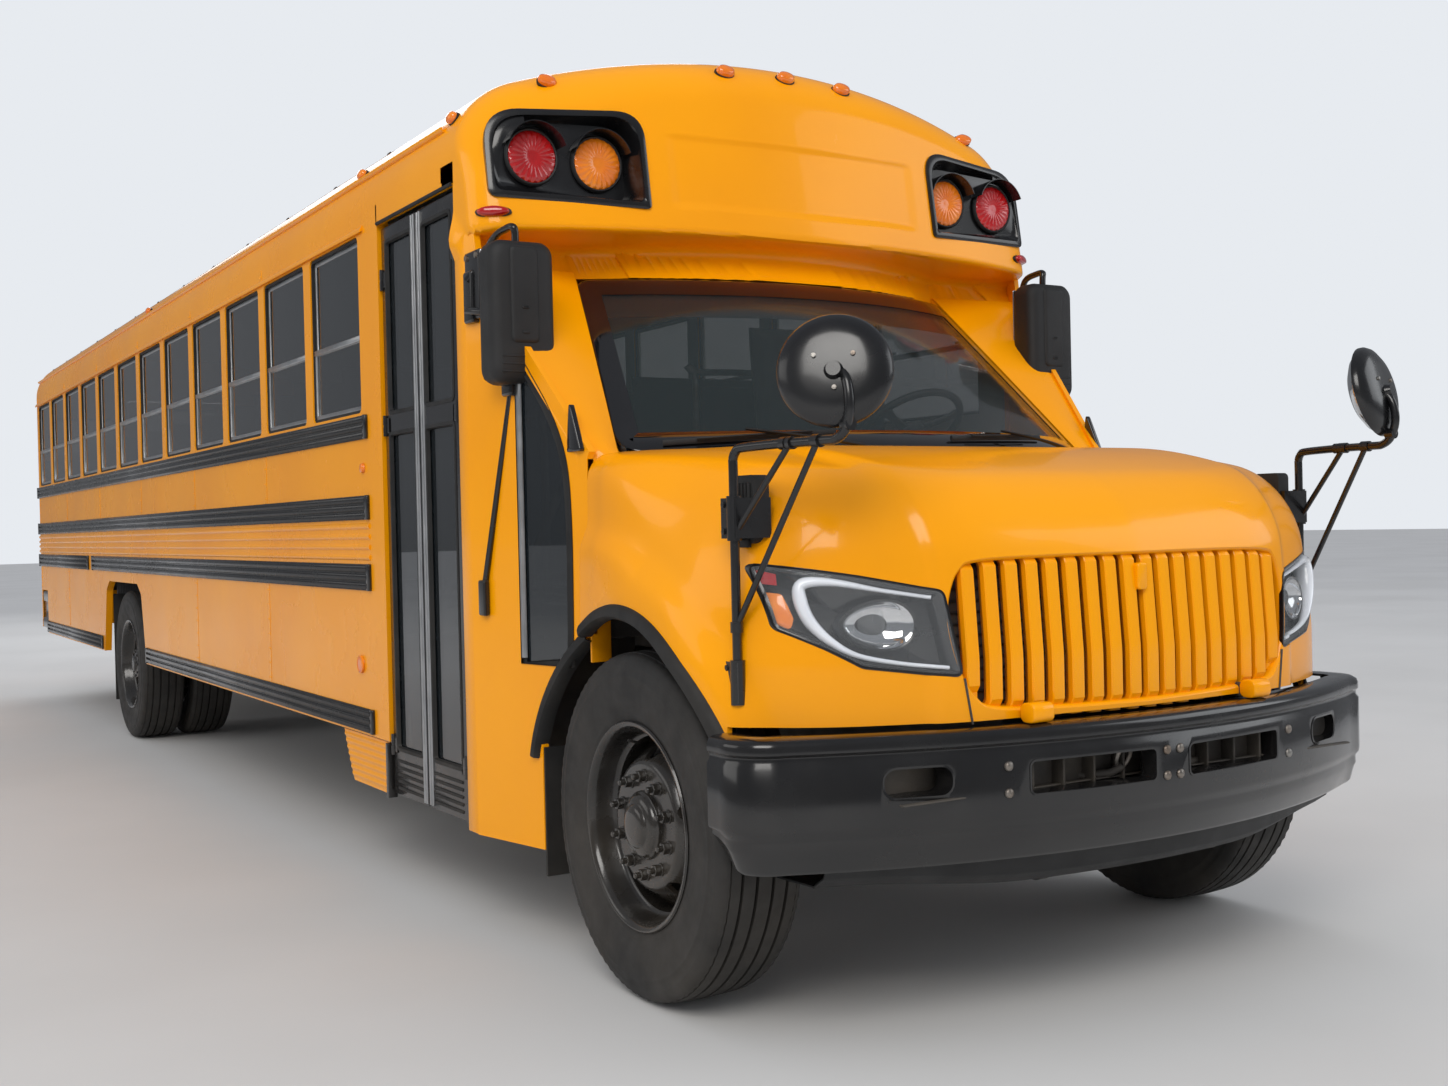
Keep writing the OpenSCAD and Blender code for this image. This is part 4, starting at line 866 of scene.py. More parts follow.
def section_field(x, z):
    """The body's cross-section as a field, below zero inside."""
    x = np.abs(x)
    crown = np.hypot(x, z - (CROWN_Z - ROOF_R)) - ROOF_R
    corner = np.hypot(x - CORNER_X, z - CORNER_Z) - CORNER_R
    lean = TANGENT_X / math.sqrt(ROOF_R ** 2 - TANGENT_X ** 2)
    upper = np.where(x > CORNER_X + np.maximum(z - CORNER_Z, 0) * lean, corner, crown)
    return np.where(z > CORNER_Z, upper, x - HALF_W)


SIGN_X, SIGN_Z = 0.53, (2.475, 2.735)


def cap_field(x, y, z):
    """The front cap: rounded box with a leaning face, a shallow sign panel, a lip and a cove under it."""
    face = (cap_face_y(x, z) - y) * math.cos(CAP_LEAN)
    inside = np.maximum(np.abs(x) - SIGN_X, np.maximum(SIGN_Z[0] - z, z - SIGN_Z[1]))
    face = face + 0.006 * smooth_step(-inside / 0.012)
    edge_r = 0.085 + 0.085 * smooth_step((z - 2.5) / 0.3)
    shell = round_meet(section_field(x, z), face, edge_r)
    under = LIP_Z - 0.02 - z - 0.10 * np.clip(y - 0.72, 0, 1) - 0.015 * np.clip(np.abs(x) - 0.9, 0, 1)
    shell = round_meet(shell, under, 0.018)
    flat_x = np.minimum(np.abs(x), HEAD_X + 0.01)
    neck_y = screen_y(flat_x, z, 0.004) - 0.14 * np.maximum(np.abs(x) - HEAD_X, 0)
    neck = np.maximum((neck_y - y) * math.cos(LEAN), SCREEN_TOP + 0.008 - z)
    neck = round_meet(neck, np.abs(x) - cab_side_x(y) + 0.004, 0.03)
    return soft_union(shell, neck, 0.075)


def fan(field, spine_x, y0, z0, swing, nx, nphi, nfan):
    """Skin of a field, seen from a line across the bus: rows run from straight up, forward, and down by swing."""
    phis = np.linspace(0, swing, nphi)
    columns = [(-spine_x, -p) for p in np.linspace(math.pi / 2, 0, nfan, endpoint=False)]
    columns += [(x, 0.0) for x in np.linspace(-spine_x, spine_x, nx)]
    columns += [(spine_x, p) for p in np.linspace(0, math.pi / 2, nfan + 1)[1:]]
    start, toward = [], []
    for sx, psi in columns:
        for phi in phis:
            start.append((sx, y0, z0))
            toward.append((math.sin(psi), -math.cos(psi) * math.sin(phi), math.cos(psi) * math.cos(phi)))
    toward = np.array(toward)
    toward /= np.linalg.norm(toward, axis=1)[:, None]
    skin = onto(field, np.array(start), toward)
    return Shape().grid(skin.reshape(len(columns), nphi, 3).tolist())


LAMP_X, LAMP_Z = (0.625, 1.172), (2.462, 2.79)


def lamp_box_outline(grow=0.0):
    """Outline of a front warning lamp housing in x and z."""
    x0, x1 = LAMP_X[0] - grow, LAMP_X[1] + grow
    z0, z1 = LAMP_Z[0] - grow, LAMP_Z[1] + grow
    return rounded_corners([(x0, z0), (x1, z0 + 0.018), (x1, z1 - 0.015), (x0, z1 + 0.012)],
                           [0.02, 0.03, 0.13, 0.10], 10)


def front_cap():
    """The cap over the windscreen, with openings for the lamp housings and the doorway."""
    cap = make("cap", fan(cap_field, 0.9, CAP_END_Y, 2.62, math.pi, 90, 150, 34), [M["yellow"]], slot="body_yellow")
    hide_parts("front_cap")
    thicken(cap, 0.02)
    holes = Shape().prism(lamp_box_outline(-0.006), "y", 0.4, 0.90)
    cut(cap, holes.both(), 40)
    cut(cap, Shape().box((-1.4, DOOR_Y[0] - 0.006, 1.9), (-0.95, 1.4, DOOR_TOP_Z + 0.006)), 40)


def round_lens(x, y, z, r, paint, bowl, spokes=22, axis_y=-1, proud=0.016):
    """Moulded lamp lens: dome with radial ribs, on a dark seat."""
    out = Shape()
    rows, n = [], spokes * 4
    dome = [(1.0, 0.0), (0.99, 0.55), (0.92, 0.8), (0.78, 0.95), (0.52, 1.0), (0.30, 0.98), (0.27, 0.9), (0.1, 0.93),
            (0.0, 0.95)]
    for k, (rr, d) in enumerate(dome):
        ring = []
        for j in range(n):
            a = 2 * math.pi * j / n
            lift = 0.0016 * (1 if j % 4 < 2 else -1) if 2 <= k <= 4 else 0
            ring.append((x + r * rr * math.cos(a), y + axis_y * (proud * d + lift), z + r * rr * math.sin(a)))
        rows.append(ring)
    out.grid(rows, paint, wrap=True)
    seat = [(0.0, 1.0), (0.010, 1.0), (0.012, 1.05), (0.006, 1.12), (0.0, 1.12)]
    return out.lathe([(axis_y * d, r * k) for d, k in seat], (x, y, z), "y", 48, bowl)


def warning_lamps():
    """Black lamp housings with deep hoods: two lenses in each, front and rear."""
    outer, inner, deep = lamp_box_outline(0.004), lamp_box_outline(-0.022), lamp_box_outline(-0.040)

    def at(line, back, flat=0.0):
        return [(x, (1 - flat) * float(cap_face_y(x, z)) + flat * 0.872 + back, z) for x, z in line]

    rows = [at(lamp_box_outline(0.0), 0.02), at(outer, 0.0), at(outer, -0.007), at(lamp_box_outline(-0.005), -0.012),
            at(lamp_box_outline(-0.018), -0.011), at(inner, -0.002), at(deep, 0.0, 1.0)]
    box, lenses, hoods, lens_z, lens_r = capped(rows), Shape(), Shape(), 2.622, 0.088
    for paint, x in enumerate((0.772, 1.018)):
        lenses.join(round_lens(x, 0.866, lens_z, lens_r, paint, 2))
        hoods.lathe([(0.868, 0.104), (0.80, 0.108), (0.80, 0.111), (0.868, 0.108)], (x, 0, lens_z), "y", 30, 0,
                    math.radians(20), math.radians(140))
    obj = make("lamp_housings_front", box.join(hoods).both(), [M["black"]], slot="black_trim")
    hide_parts("warning_lamps")
    make("lamp_lenses_front", lenses.both(), [M["amber"], M["red"], M["plastic"]], slot="lamp_amber")
    loops = [[(x, REAR_Y + d, z)
              for x, z in rounded(0.62 + g, FLOOR_Z + 1.395 + g, 1.10 - g, FLOOR_Z + 1.67 - g, 0.05)]
             for d, g in ((-0.002, 0.0), (0.018, 0.0), (0.022, 0.006), (0.022, 0.018), (0.008, 0.026))]
    rear, rear_lenses = capped(loops), Shape()
    for paint, x in enumerate((0.745, 0.975)):
        rear_lenses.join(round_lens(x, REAR_Y + 0.008, FLOOR_Z + 1.532, lens_r, paint, 2, axis_y=1, proud=0.013))
    make("lamp_housings_rear", rear.both(), [M["black"]], slot="black_trim")
    make("lamp_lenses_rear", rear_lenses.both(), [M["amber"], M["red"], M["plastic"]], slot="lamp_amber")


def marker_lamp(place, out, along, size=(0.045, 0.026, 0.026)):
    """Small lens on a base, standing out from a surface."""
    n, t = Vector(out).normalized(), Vector(along).normalized()
    s = n.cross(t)
    shape, rows = Shape(), []
    for grow, lift in ((1.12, -0.3), (1.12, 0.12), (1.0, 0.16), (1.0, 0.5), (0.86, 0.84), (0.55, 1.0), (0.0, 1.04)):
        rows.append([Vector(place) + t * size[0] * grow * math.cos(a) + s * size[1] * grow * math.sin(a)
                     + n * size[2] * lift for a in np.linspace(0, 2 * math.pi, 24, endpoint=False)])
    shape.grid(rows[:3], 1, wrap=True)
    shape.grid(rows[2:], 0, wrap=True)
    return shape


def marker_lamps():
    """Small clearance lamps on the roof and sides, and wedge lamps on the lip."""
    amber, red = Shape(), Shape()
    for x in (-0.26, 0.0, 0.26, HALF_W - 0.24, 0.24 - HALF_W):
        lean = 0.55 if abs(x) < 0.5 else 0.45
        start = np.array([[x * 0.8, CAP_END_Y, 2.62]])
        aim = np.array([[x * 0.2, -0.36, 0.40]])
        p = onto(cap_field, start, aim / np.linalg.norm(aim))[0]
        amber.join(marker_lamp(p, (0.3 * np.sign(x) if abs(x) > 0.5 else 0, -0.7, lean), (1, 0, 0),
                               (0.036, 0.026, 0.026)))
    for s in (-1, 1):
        for y in (CAP_END_Y - 0.02, CAP_END_Y + 0.95, WHEELBASE - 0.9):
            x0, z0 = [p for p in section(0) if p[1] <= EAVE_Z + 0.012][0]
            amber.join(marker_lamp((s * (x0 + 0.004), y, z0), (s, 0, 0.45), (0, 1, 0), (0.032, 0.022, 0.024)))
        # wedge lamps at the lip's lower corners
        p = (s * 1.16, float(cap_face_y(1.16, 2.425)) + 0.012, 2.425)
        red.join(marker_lamp(p, (s * 0.5, -0.8, 0.1), (s * 0.8, 0.5, 0), (0.055, 0.018, 0.024)))
    for x in (-0.26, 0.0, 0.26):
        red.join(marker_lamp((x, REAR_Y - 0.03, CROWN_Z - 0.012), (0, 0.5, 0.8), (1, 0, 0), (0.036, 0.024, 0.02)))
    obj = make("marker_lamps_amber", amber, [M["amber"], M["plastic"]], slot="lamp_amber")
    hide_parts("marker_lamps")
    make("marker_lamps_red", red, [M["red"], M["plastic"]], slot="lamp_red")


def screen_outline():
    """Outline of the glass in x and z, with rounded corners."""
    line = [(-FOOT_X, SCREEN_Z), (FOOT_X, SCREEN_Z), (HEAD_X, SCREEN_TOP), (-HEAD_X, SCREEN_TOP)]
    return spaced(rounded_corners(line, 0.06, 8), 0.05)


def spaced(line, gap=0.02):
    """Closed outline with no gap longer than asked."""
    out = []
    for i, p in enumerate(line):
        q = line[(i + 1) % len(line)]
        n = max(1, int(math.hypot(q[0] - p[0], q[1] - p[1]) / gap))
        out += [(p[0] + (q[0] - p[0]) * k / n, p[1] + (q[1] - p[1]) * k / n) for k in range(n)]
    return out


def shrink(line, t):
    """The outline moved in by t, kept point for point."""
    pts = np.array(line)
    ahead, back = np.roll(pts, -1, 0), np.roll(pts, 1, 0)
    d = ahead - back
    n = np.stack([-d[:, 1], d[:, 0]], 1) / np.linalg.norm(d, axis=1)[:, None]
    return (pts + n * t).tolist()


def windscreen():
    """One-piece curved glass with its printed border and shade band."""
    edge = screen_outline()
    sight = shrink(edge, 0.062)

    def on_glass(line, out):
        return [(x, float(screen_y(x, z, out)), z) for x, z in line]

    border = [on_glass(edge, -0.012), on_glass(edge, -0.001), on_glass(shrink(edge, 0.004), 0.001),
              on_glass(shrink(edge, 0.03), 0.0005), on_glass(sight, -0.0008), on_glass(sight, -0.006)]
    make("screen_border", Shape().grid(border, wrap=True), [M["frit"]], slot="black_trim")
    rows = []
    for z in np.linspace(SCREEN_TOP - 0.15, SCREEN_TOP - 0.055, 4):
        w = HEAD_X + (FOOT_X - HEAD_X) * (SCREEN_TOP - z) / (SCREEN_TOP - SCREEN_Z) - 0.055
        rows.append([(x, float(screen_y(x, z, -0.014)), z) for x in np.linspace(-w, w, 41)])
    band = make("screen_shade_band", Shape().grid(rows), [M["frit"]], slot="black_trim")
    thicken(band, 0.002)
    rows = []
    for t in np.linspace(0, 1, 15):
        z = SCREEN_Z + 0.012 + (SCREEN_TOP - SCREEN_Z - 0.024) * t
        w = FOOT_X + (HEAD_X - FOOT_X) * (z - SCREEN_Z) / (SCREEN_TOP - SCREEN_Z) - 0.012
        rows.append([(x, float(screen_y(x, z, -0.003)), z) for x in np.linspace(-w, w, 61)])
    pane = make("screen_glass", Shape().grid(rows), [M["screen"]], slot="glass_clear")
    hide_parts("windshield")
    thicken(pane, 0.006)


def wipers():
    """Two wipers lying on the foot of the glass."""
    shape = Shape()

    def lay(x, z, out):
        return Vector((x, float(screen_y(x, z, out)), z))

    def between(a, b, t):
        return a[0] + (b[0] - a[0]) * t, a[1] + (b[1] - a[1]) * t

    for pivot, tip, blade0, blade1 in (((-0.20, 1.585), (-0.62, 1.665), (-0.86, 1.625), (-0.33, 1.655)),
                                       ((0.78, 1.585), (0.36, 1.665), (0.10, 1.635), (0.62, 1.650))):
        arm = [lay(*between(pivot, tip, t), 0.03 + 0.025 * math.sin(math.pi * t)) for t in np.linspace(0, 1, 9)]
        shape.tube(arm, [0.011 - 0.005 * t for t in np.linspace(0, 1, 9)], sides=8, flat=0.7)
        blade = [lay(*between(blade0, blade1, t), 0.012) for t in np.linspace(0, 1, 13)]
        shape.tube(blade, 0.0065, sides=6, flat=1.6)
        bridge = [p + Vector((0, -0.012 - 0.006 * math.sin(math.pi * i / 12), 0.006))
                  for i, p in enumerate(blade)][2:11]
        shape.tube(bridge, 0.0045, sides=6)
        shape.lathe([(-0.02, 0.026), (0.012, 0.024), (0.02, 0.016), (0.024, 0.0)],
                    lay(pivot[0], pivot[1], 0.012), "z", 16)
    make("wipers", shape, [M["plastic"]], slot="black_plastic")


def cab_front():
    """Side panels, door posts and pillars ahead of the doorway, then the header and the deck under the glass."""
    for side in (CURB, DRIVER):
        cab_flank(side)
        cab_pillar(side)
        cab_side_light(side)
    door_header()
    # deck under the glass and the lining behind it
    rows = []
    for x in np.linspace(-1.02, 1.02, 41):
        y = float(screen_y(x, SCREEN_Z - 0.03, 0.02))
        rows.append([(x, y + dy, SCREEN_Z - dz)
                     for dy, dz in ((0.30, 0.045), (0.02, 0.035), (-0.015, 0.05), (-0.015, 0.075))])
    obj = make("cowl_grille", Shape().grid(rows), [M["plastic"]], slot="black_plastic")
    thicken(obj, 0.004)
    fire = Shape().box((-1.04, 0.375, FLOOR_Z - 0.04), (1.04, 0.40, SCREEN_Z - 0.06))
    make("bulkhead", fire, [M["chassis"]], slot="body_yellow", bevel=0.004)


def cab_flank(side):
    """Flat flank with the wheel arch and the light cut in it, and the post between it and the doorway."""
    name = "cab_" + SIDE_NAME[side]
    r, foot_y = 0.612, 0.612
    arch = [(ARCH_Y + r * math.cos(a), HUB_Z + r * math.sin(a)) for a in np.linspace(0.285, 1.045, 20)]
    line = [(foot_y, FRONT_SKIRT_Z), (foot_y, arch[0][1] - 0.004)] + arch
    line += [(COWL_Y, arch[-1][1] + 0.004), (COWL_Y, SCREEN_Z - 0.02)]
    line += [(pillar_y(z) - 0.012, z) for z in np.linspace(SCREEN_Z, SCREEN_TOP, 8)]
    line += [(CAB_Y - 0.03, 2.52), (CAB_Y, 2.52), (CAB_Y, FRONT_SKIRT_Z)]
    flank = Shape().prism(line, "x", -0.022, 0.0)
    flank = flank.moved(lambda x, y, z: (x + float(cab_side_x(y)), y, z))
    obj = make(name, on_side(flank, side), [M["yellow"]], slot="body_yellow")
    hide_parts("cowl")
    cut(obj, on_side(Shape().prism(side_glass_line(), "x", 0.9, 1.3), side))
    back = DOOR_Y[0] - 0.005 if side == CURB else CAB_Y + 0.005
    post = Shape().box((HALF_W - 0.022, CAB_Y - 0.001, FRONT_SKIRT_Z), (HALF_W - 0.0005, back, 2.545))
    make(name + "_post", on_side(post, side), [M["yellow"]], slot="body_yellow", bevel=0.003)


def cab_pillar(side):
    """Windscreen pillar that turns from the glass into the flank, and the flange below it."""
    name = "cab_" + SIDE_NAME[side]
    rows = []
    for z in np.linspace(SCREEN_Z - 0.035, SCREEN_TOP + 0.03, 30):
        t = np.clip((z - SCREEN_Z) / (SCREEN_TOP - SCREEN_Z), 0, 1.04)
        sx = FOOT_X + (HEAD_X - FOOT_X) * t + 0.004
        sy, py, r = float(screen_y(sx, z, 0.004)), float(pillar_y(z)), 0.035
        px = float(cab_side_x(py))
        row = [(sx - 0.03, sy + 0.05, z), (sx, sy + 0.012, z)]
        row += [(sx + (px - r - sx) * u, sy + (py - sy) * u ** 1.4 - 0.012 * math.sin(math.pi * u), z)
                for u in np.linspace(0, 1, 10)]
        row += [(px - r + r * math.sin(a), py + r * (1 - math.cos(a)), z) for a in np.linspace(0.2, math.pi / 2, 7)]
        end = row[-1]
        row += [(float(cab_side_x(end[1] + d)) + 0.0005, end[1] + d, z) for d in (0.012, 0.022)]
        rows.append(row)
    pillar = make(name + "_pillar", on_side(Shape().grid(rows), side), [M["yellow"]], slot="body_yellow")
    thicken(pillar, 0.010)
    outer = float(cab_side_x(COWL_Y)) - 0.001
    flange = Shape().box((1.02, COWL_Y, 0.95), (outer, COWL_Y + 0.010, SCREEN_Z - 0.02))
    make(name + "_flange", on_side(flange, side), [M["yellow"]], slot="body_yellow", bevel=0.002)


def cab_side_light(side):
    """Fixed glass with its seal and bright bar, and the small blind light in the corner ahead of the pillar."""
    name, outline = "cab_" + SIDE_NAME[side], side_glass_line()

    def at(y, out):
        return side * (float(cab_side_x(y)) + out)

    loops = []
    for d, t in ((0.004, 0.0), (-0.004, 0.0), (-0.004, 0.024), (0.002, 0.030)):
        loops.append([(at(y, d), y, z) for y, z in inset_line(outline, t)])
    make(name + "_light_seal", Shape().grid(loops, wrap=True), [M["rubber"]], slot="rubber")
    line = inset_line(outline, 0.020)
    n = len(line)
    pane = Shape().add([(at(y, -0.006), y, z) for y, z in line] + [(at(y, -0.011), y, z) for y, z in line],
                       [tuple(range(n)), tuple(range(n, 2 * n))[::-1]]
                       + [(i, (i + 1) % n, n + (i + 1) % n, n + i) for i in range(n)])
    make(name + "_light", pane, [M["tint"]], slot="glass_tinted")
    bar_y = 0.695
    bar = ((-0.004, -0.013), (0.006, -0.010), (0.008, 0.0), (0.006, 0.010), (-0.004, 0.013))
    strip = Shape().prism([(side * (float(cab_side_x(bar_y)) + dx), bar_y + dy) for dx, dy in bar], "z", 0.95, 1.94)
    make(name + "_light_strip", strip, [M["alu"]], slot="aluminium")
    tri = [(0.357, 1.603), (0.452, 1.603), (0.455, 1.62), (0.432, 1.765)]
    blind = Shape().prism(rounded_corners(tri, 0.008), "x", at(0.42, -0.012), at(0.42, 0.006))
    make(name + "_corner_light", blind, [M["frit"]], slot="black_trim", bevel=0.003)


def door_header():
    """Panel over the doorway, with its drip lip."""
    def wall_x(z):
        return HALF_W if z <= CORNER_Z else CORNER_X + math.sqrt(CORNER_R ** 2 - (z - CORNER_Z) ** 2)

    zs = list(np.linspace(DOOR_TOP_Z + 0.004, EAVE_Z + 0.012, 14))
    ys = (DOOR_Y[0] - 0.01, 1.3, 1.6, DOOR_Y[1] + 0.012)
    panel = make("door_header", Shape().grid([[(-wall_x(z), y, z) for y in ys] for z in zs]), [M["yellow"]],
                 slot="body_yellow")
    thicken(panel, 0.02)
    x, z = -HALF_W - 0.001, DOOR_TOP_Z + 0.006
    lip = Shape().tube([(x, DOOR_Y[0] + 0.004, z), (x, DOOR_Y[1] - 0.004, z)], 0.007, sides=8)
    make("door_header_seal", lip, [M["rubber"]], slot="rubber")


def pillar_y(z):
    """Where the pillar turns into the cab's side."""
    return COWL_Y + 0.563 * np.clip((z - SCREEN_Z) / (SCREEN_TOP - SCREEN_Z), 0, 1.06)


def side_glass_line():
    """Outline of the fixed glass beside the windscreen: straight behind, curved ahead."""
    back_y, z0, z1 = 0.71, 0.93, 1.94
    ahead = [(0.690, z1), (0.622, 1.86), (0.515, 1.72), (0.450, 1.57), (0.432, 1.38), (0.434, 1.10), (0.440, z0)]
    return [(back_y, z0), (back_y, z1 + 0.02)] + smooth_flat(ahead, 6)


def smooth_flat(points, steps):
    """Smooth curve through flat points."""
    return [(p[0], p[1]) for p in smooth_path([(*p, 0) for p in points], steps)]


def inset_line(line, t):
    """Closed outline moved in by t, whichever way round it runs."""
    pts = np.array(line)
    d = np.roll(pts, -1, 0) - np.roll(pts, 1, 0)
    n = np.stack([-d[:, 1], d[:, 0]], 1) / np.maximum(np.linalg.norm(d, axis=1), 1e-9)[:, None]
    area = np.sum(pts[:, 0] * np.roll(pts[:, 1], -1) - np.roll(pts[:, 0], -1) * pts[:, 1])
    return (pts + n * t * np.sign(area)).tolist()


front_cap()
warning_lamps()
marker_lamps()
windscreen()
wipers()
cab_front()

# ---------------------------------------------------------------- hood, grille and headlights


HOOD_PLAN = [(0, -0.878), (0.30, -0.862), (0.59, -0.835), (0.85, -0.745), (1.0, -0.655), (1.07, -0.575), (1.11, -0.50),
             (1.145, -0.38), (1.155, -0.25), (1.140, 0), (1.115, 0.2), (1.10, 0.34), (1.092, 0.6)]
HOOD_TOP = [(-1.0, 1.345), (-0.88, 1.40), (-0.60, 1.50), (-0.30, 1.565), (0.0, 1.595), (0.40, 1.612)]
FENDER_EDGE = [(-50, 0.66), (5, 0.68), (38, 0.735), (82, 0.775), (110, 0.91), (150, 0.93)]
ARCH_R = 0.61
PLAN_Y = 0.2


def dense(points):
    """Control points drawn as a fine curve."""
    return np.array(smooth_flat(points, 12))


PLAN = dense(HOOD_PLAN)
PLAN_TURN = np.arctan2(PLAN[:, 0], PLAN_Y - PLAN[:, 1])
PLAN_REACH = np.hypot(PLAN[:, 0], PLAN[:, 1] - PLAN_Y)
TOP = dense(HOOD_TOP)


def hood_field(x, y, z):
    """The one-piece hood: plan outline, falling top with a raised middle, fenders that swell round the wheels."""
    ax = np.abs(x)
    reach = np.interp(np.arctan2(ax, PLAN_Y - y), PLAN_TURN, PLAN_REACH)
    # the rear edge keeps the cab's full width up to a tight shoulder
    rear = smooth_step((y + 0.30) / 0.55)
    reach = reach - 0.08 * (1 - 0.85 * rear) * np.maximum(z - 1.0, 0)
    reach = reach - 0.05 * (1 - rear) * smooth_step((z - 1.12) / 0.3) * smooth_step((ax - 0.9) / 0.2)
    turn = np.degrees(np.arctan2(z - HUB_Z, -(y - ARCH_Y)))
    rho = np.hypot(z - HUB_Z, y - ARCH_Y)
    edge = np.interp(turn, *zip(*FENDER_EDGE))
    swell = 0.030 * smooth_step((edge + 0.03 - rho) / 0.10) * smooth_step((ax - 0.85) / 0.2)
    # raised surround that frames the grille
    frame_x = 0.70 + 0.03 * (1.26 - z) + 0.10 * np.maximum(z - 1.27, 0)
    column = 0.016 * smooth_step((frame_x - ax) / 0.035) * smooth_step((-0.55 - y) / 0.15)
    side = np.hypot(x, y - PLAN_Y) - reach - swell - column
    crown = np.interp(y, TOP[:, 0], TOP[:, 1]) - 1.36 * (1 - 0.75 * rear) * np.maximum(ax - 0.5, 0) ** 4.9
    panel_x = 0.74 + 0.35 * np.maximum(y + 0.88, 0) * 0.25
    crown = crown + 0.018 * smooth_step((panel_x - ax) / 0.09) * smooth_step((0.30 - y) / 0.7)
    return round_meet(side, z - crown, 0.19 - 0.12 * rear)


def hood_y(x, z):
    """Front surface of the hood at each (x, z)."""
    x, z = np.atleast_1d(np.asarray(x, float)), np.atleast_1d(np.asarray(z, float))
    start = np.stack([x, np.full(len(x), 0.0), z], 1)
    return onto(hood_field, start, np.tile([0.0, -1.0, 0.0], (len(x), 1)), 1.2)[:, 1]


def hood_x(y, z):
    """Side surface of the hood at each (y, z), on the driver's side."""
    y, z = np.atleast_1d(np.asarray(y, float)), np.atleast_1d(np.asarray(z, float))
    start = np.stack([np.full(len(y), 0.3), y, z], 1)
    return onto(hood_field, start, np.tile([1.0, 0.0, 0.0], (len(y), 1)), 1.2)[:, 0]


def on_front(line, out):
    """Outline (x, z) laid on the hood's front, moved forward by out."""
    line = np.array(line)
    return [(x, y - out, z) for (x, z), y in zip(line.tolist(), hood_y(line[:, 0], line[:, 1]).tolist())]


def headlight_outline():
    """Driver's side headlight in x and z."""
    corners = [(1.069, 1.268), (0.86, 1.229), (0.656, 1.185), (0.617, 0.958), (0.70, 0.966), (0.863, 0.989),
               (0.946, 1.040), (1.046, 1.094)]
    return rounded_corners(corners, [0.02, 0, 0.03, 0.02, 0, 0.05, 0.03, 0.03], 6)


def grille_outline():
    """Opening of the grille in x and z."""
    half = smooth_flat([(0, 1.268), (0.30, 1.268), (0.55, 1.262), (0.615, 1.235), (0.648, 1.16), (0.652, 1.08),
                        (0.630, 0.98), (0.588, 0.905), (0.52, 0.868), (0.30, 0.856), (0, 0.852)], 5)
    return half[::-1] + [(-x, z) for x, z in half[1:-1]]


def hood_shell():
    """Skin of the hood with the openings for grille, headlights, wheels and glass cut from it."""
    skin = fan(hood_field, 0.72, 0.346, 0.70, math.pi / 2, 90, 120, 76)
    hood = make("hood_shell", skin, [M["yellow"]], "hood", "body_yellow")
    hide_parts("hood")
    thicken(hood, 0.014)
    # the rear edge follows the foot of the glass
    foot = [(x, float(screen_y(x, SCREEN_Z)) - 0.032) for x in np.linspace(-0.985, 0.985, 25)]
    lamp = Shape().prism(headlight_outline(), "y", -1.3, -0.2)
    wheels = Shape().lathe([(0.5, 0.0), (0.5, ARCH_R), (1.6, ARCH_R), (1.6, 0.0)], (0, ARCH_Y, HUB_Z), "x", 96)
    for tool in (Shape().prism(foot + [(0.99, 0.5), (-0.99, 0.5)], "z", 1.42, 2.0),
                 Shape().prism(grille_outline(), "y", -1.3, -0.3), lamp.both(), wheels.both(),
                 Shape().box((-1.5, -1.4, 0.3), (1.5, -0.515, 0.842)),
                 Shape().box((-1.5, -0.6, 0.3), (1.5, 0.5, 0.708))):
        cut(hood, tool, 40)
    # seams from the headlights down towards the grille, drawn as thin dark tubes laid on the skin: painted shade of
    # the seam's groove
    for s, end in ((-1, "r"), (1, "l")):
        path = on_front([(s * (0.615 - 0.02 * t), 0.955 - 0.12 * t) for t in np.linspace(0, 1, 8)], 0.001)
        seam_shade = Shape().tube(path, 0.0035, sides=6)
        make("hood_seam_" + end, seam_shade, [M["chassis"]], "hood", "black_trim")


def hinge_covers():
    """Painted caps over the frame's two hinge arms, at the foot of the grille."""
    caps = Shape()
    for x in (-0.4225, 0.4225):
        caps.prism(rounded(-0.934, 0.831, -0.878, 0.884, 0.020, 6), "x", x - 0.036, x + 0.036)
    make("hinge_covers", caps, [M["yellow"]], slot="body_yellow", bevel=0.004)


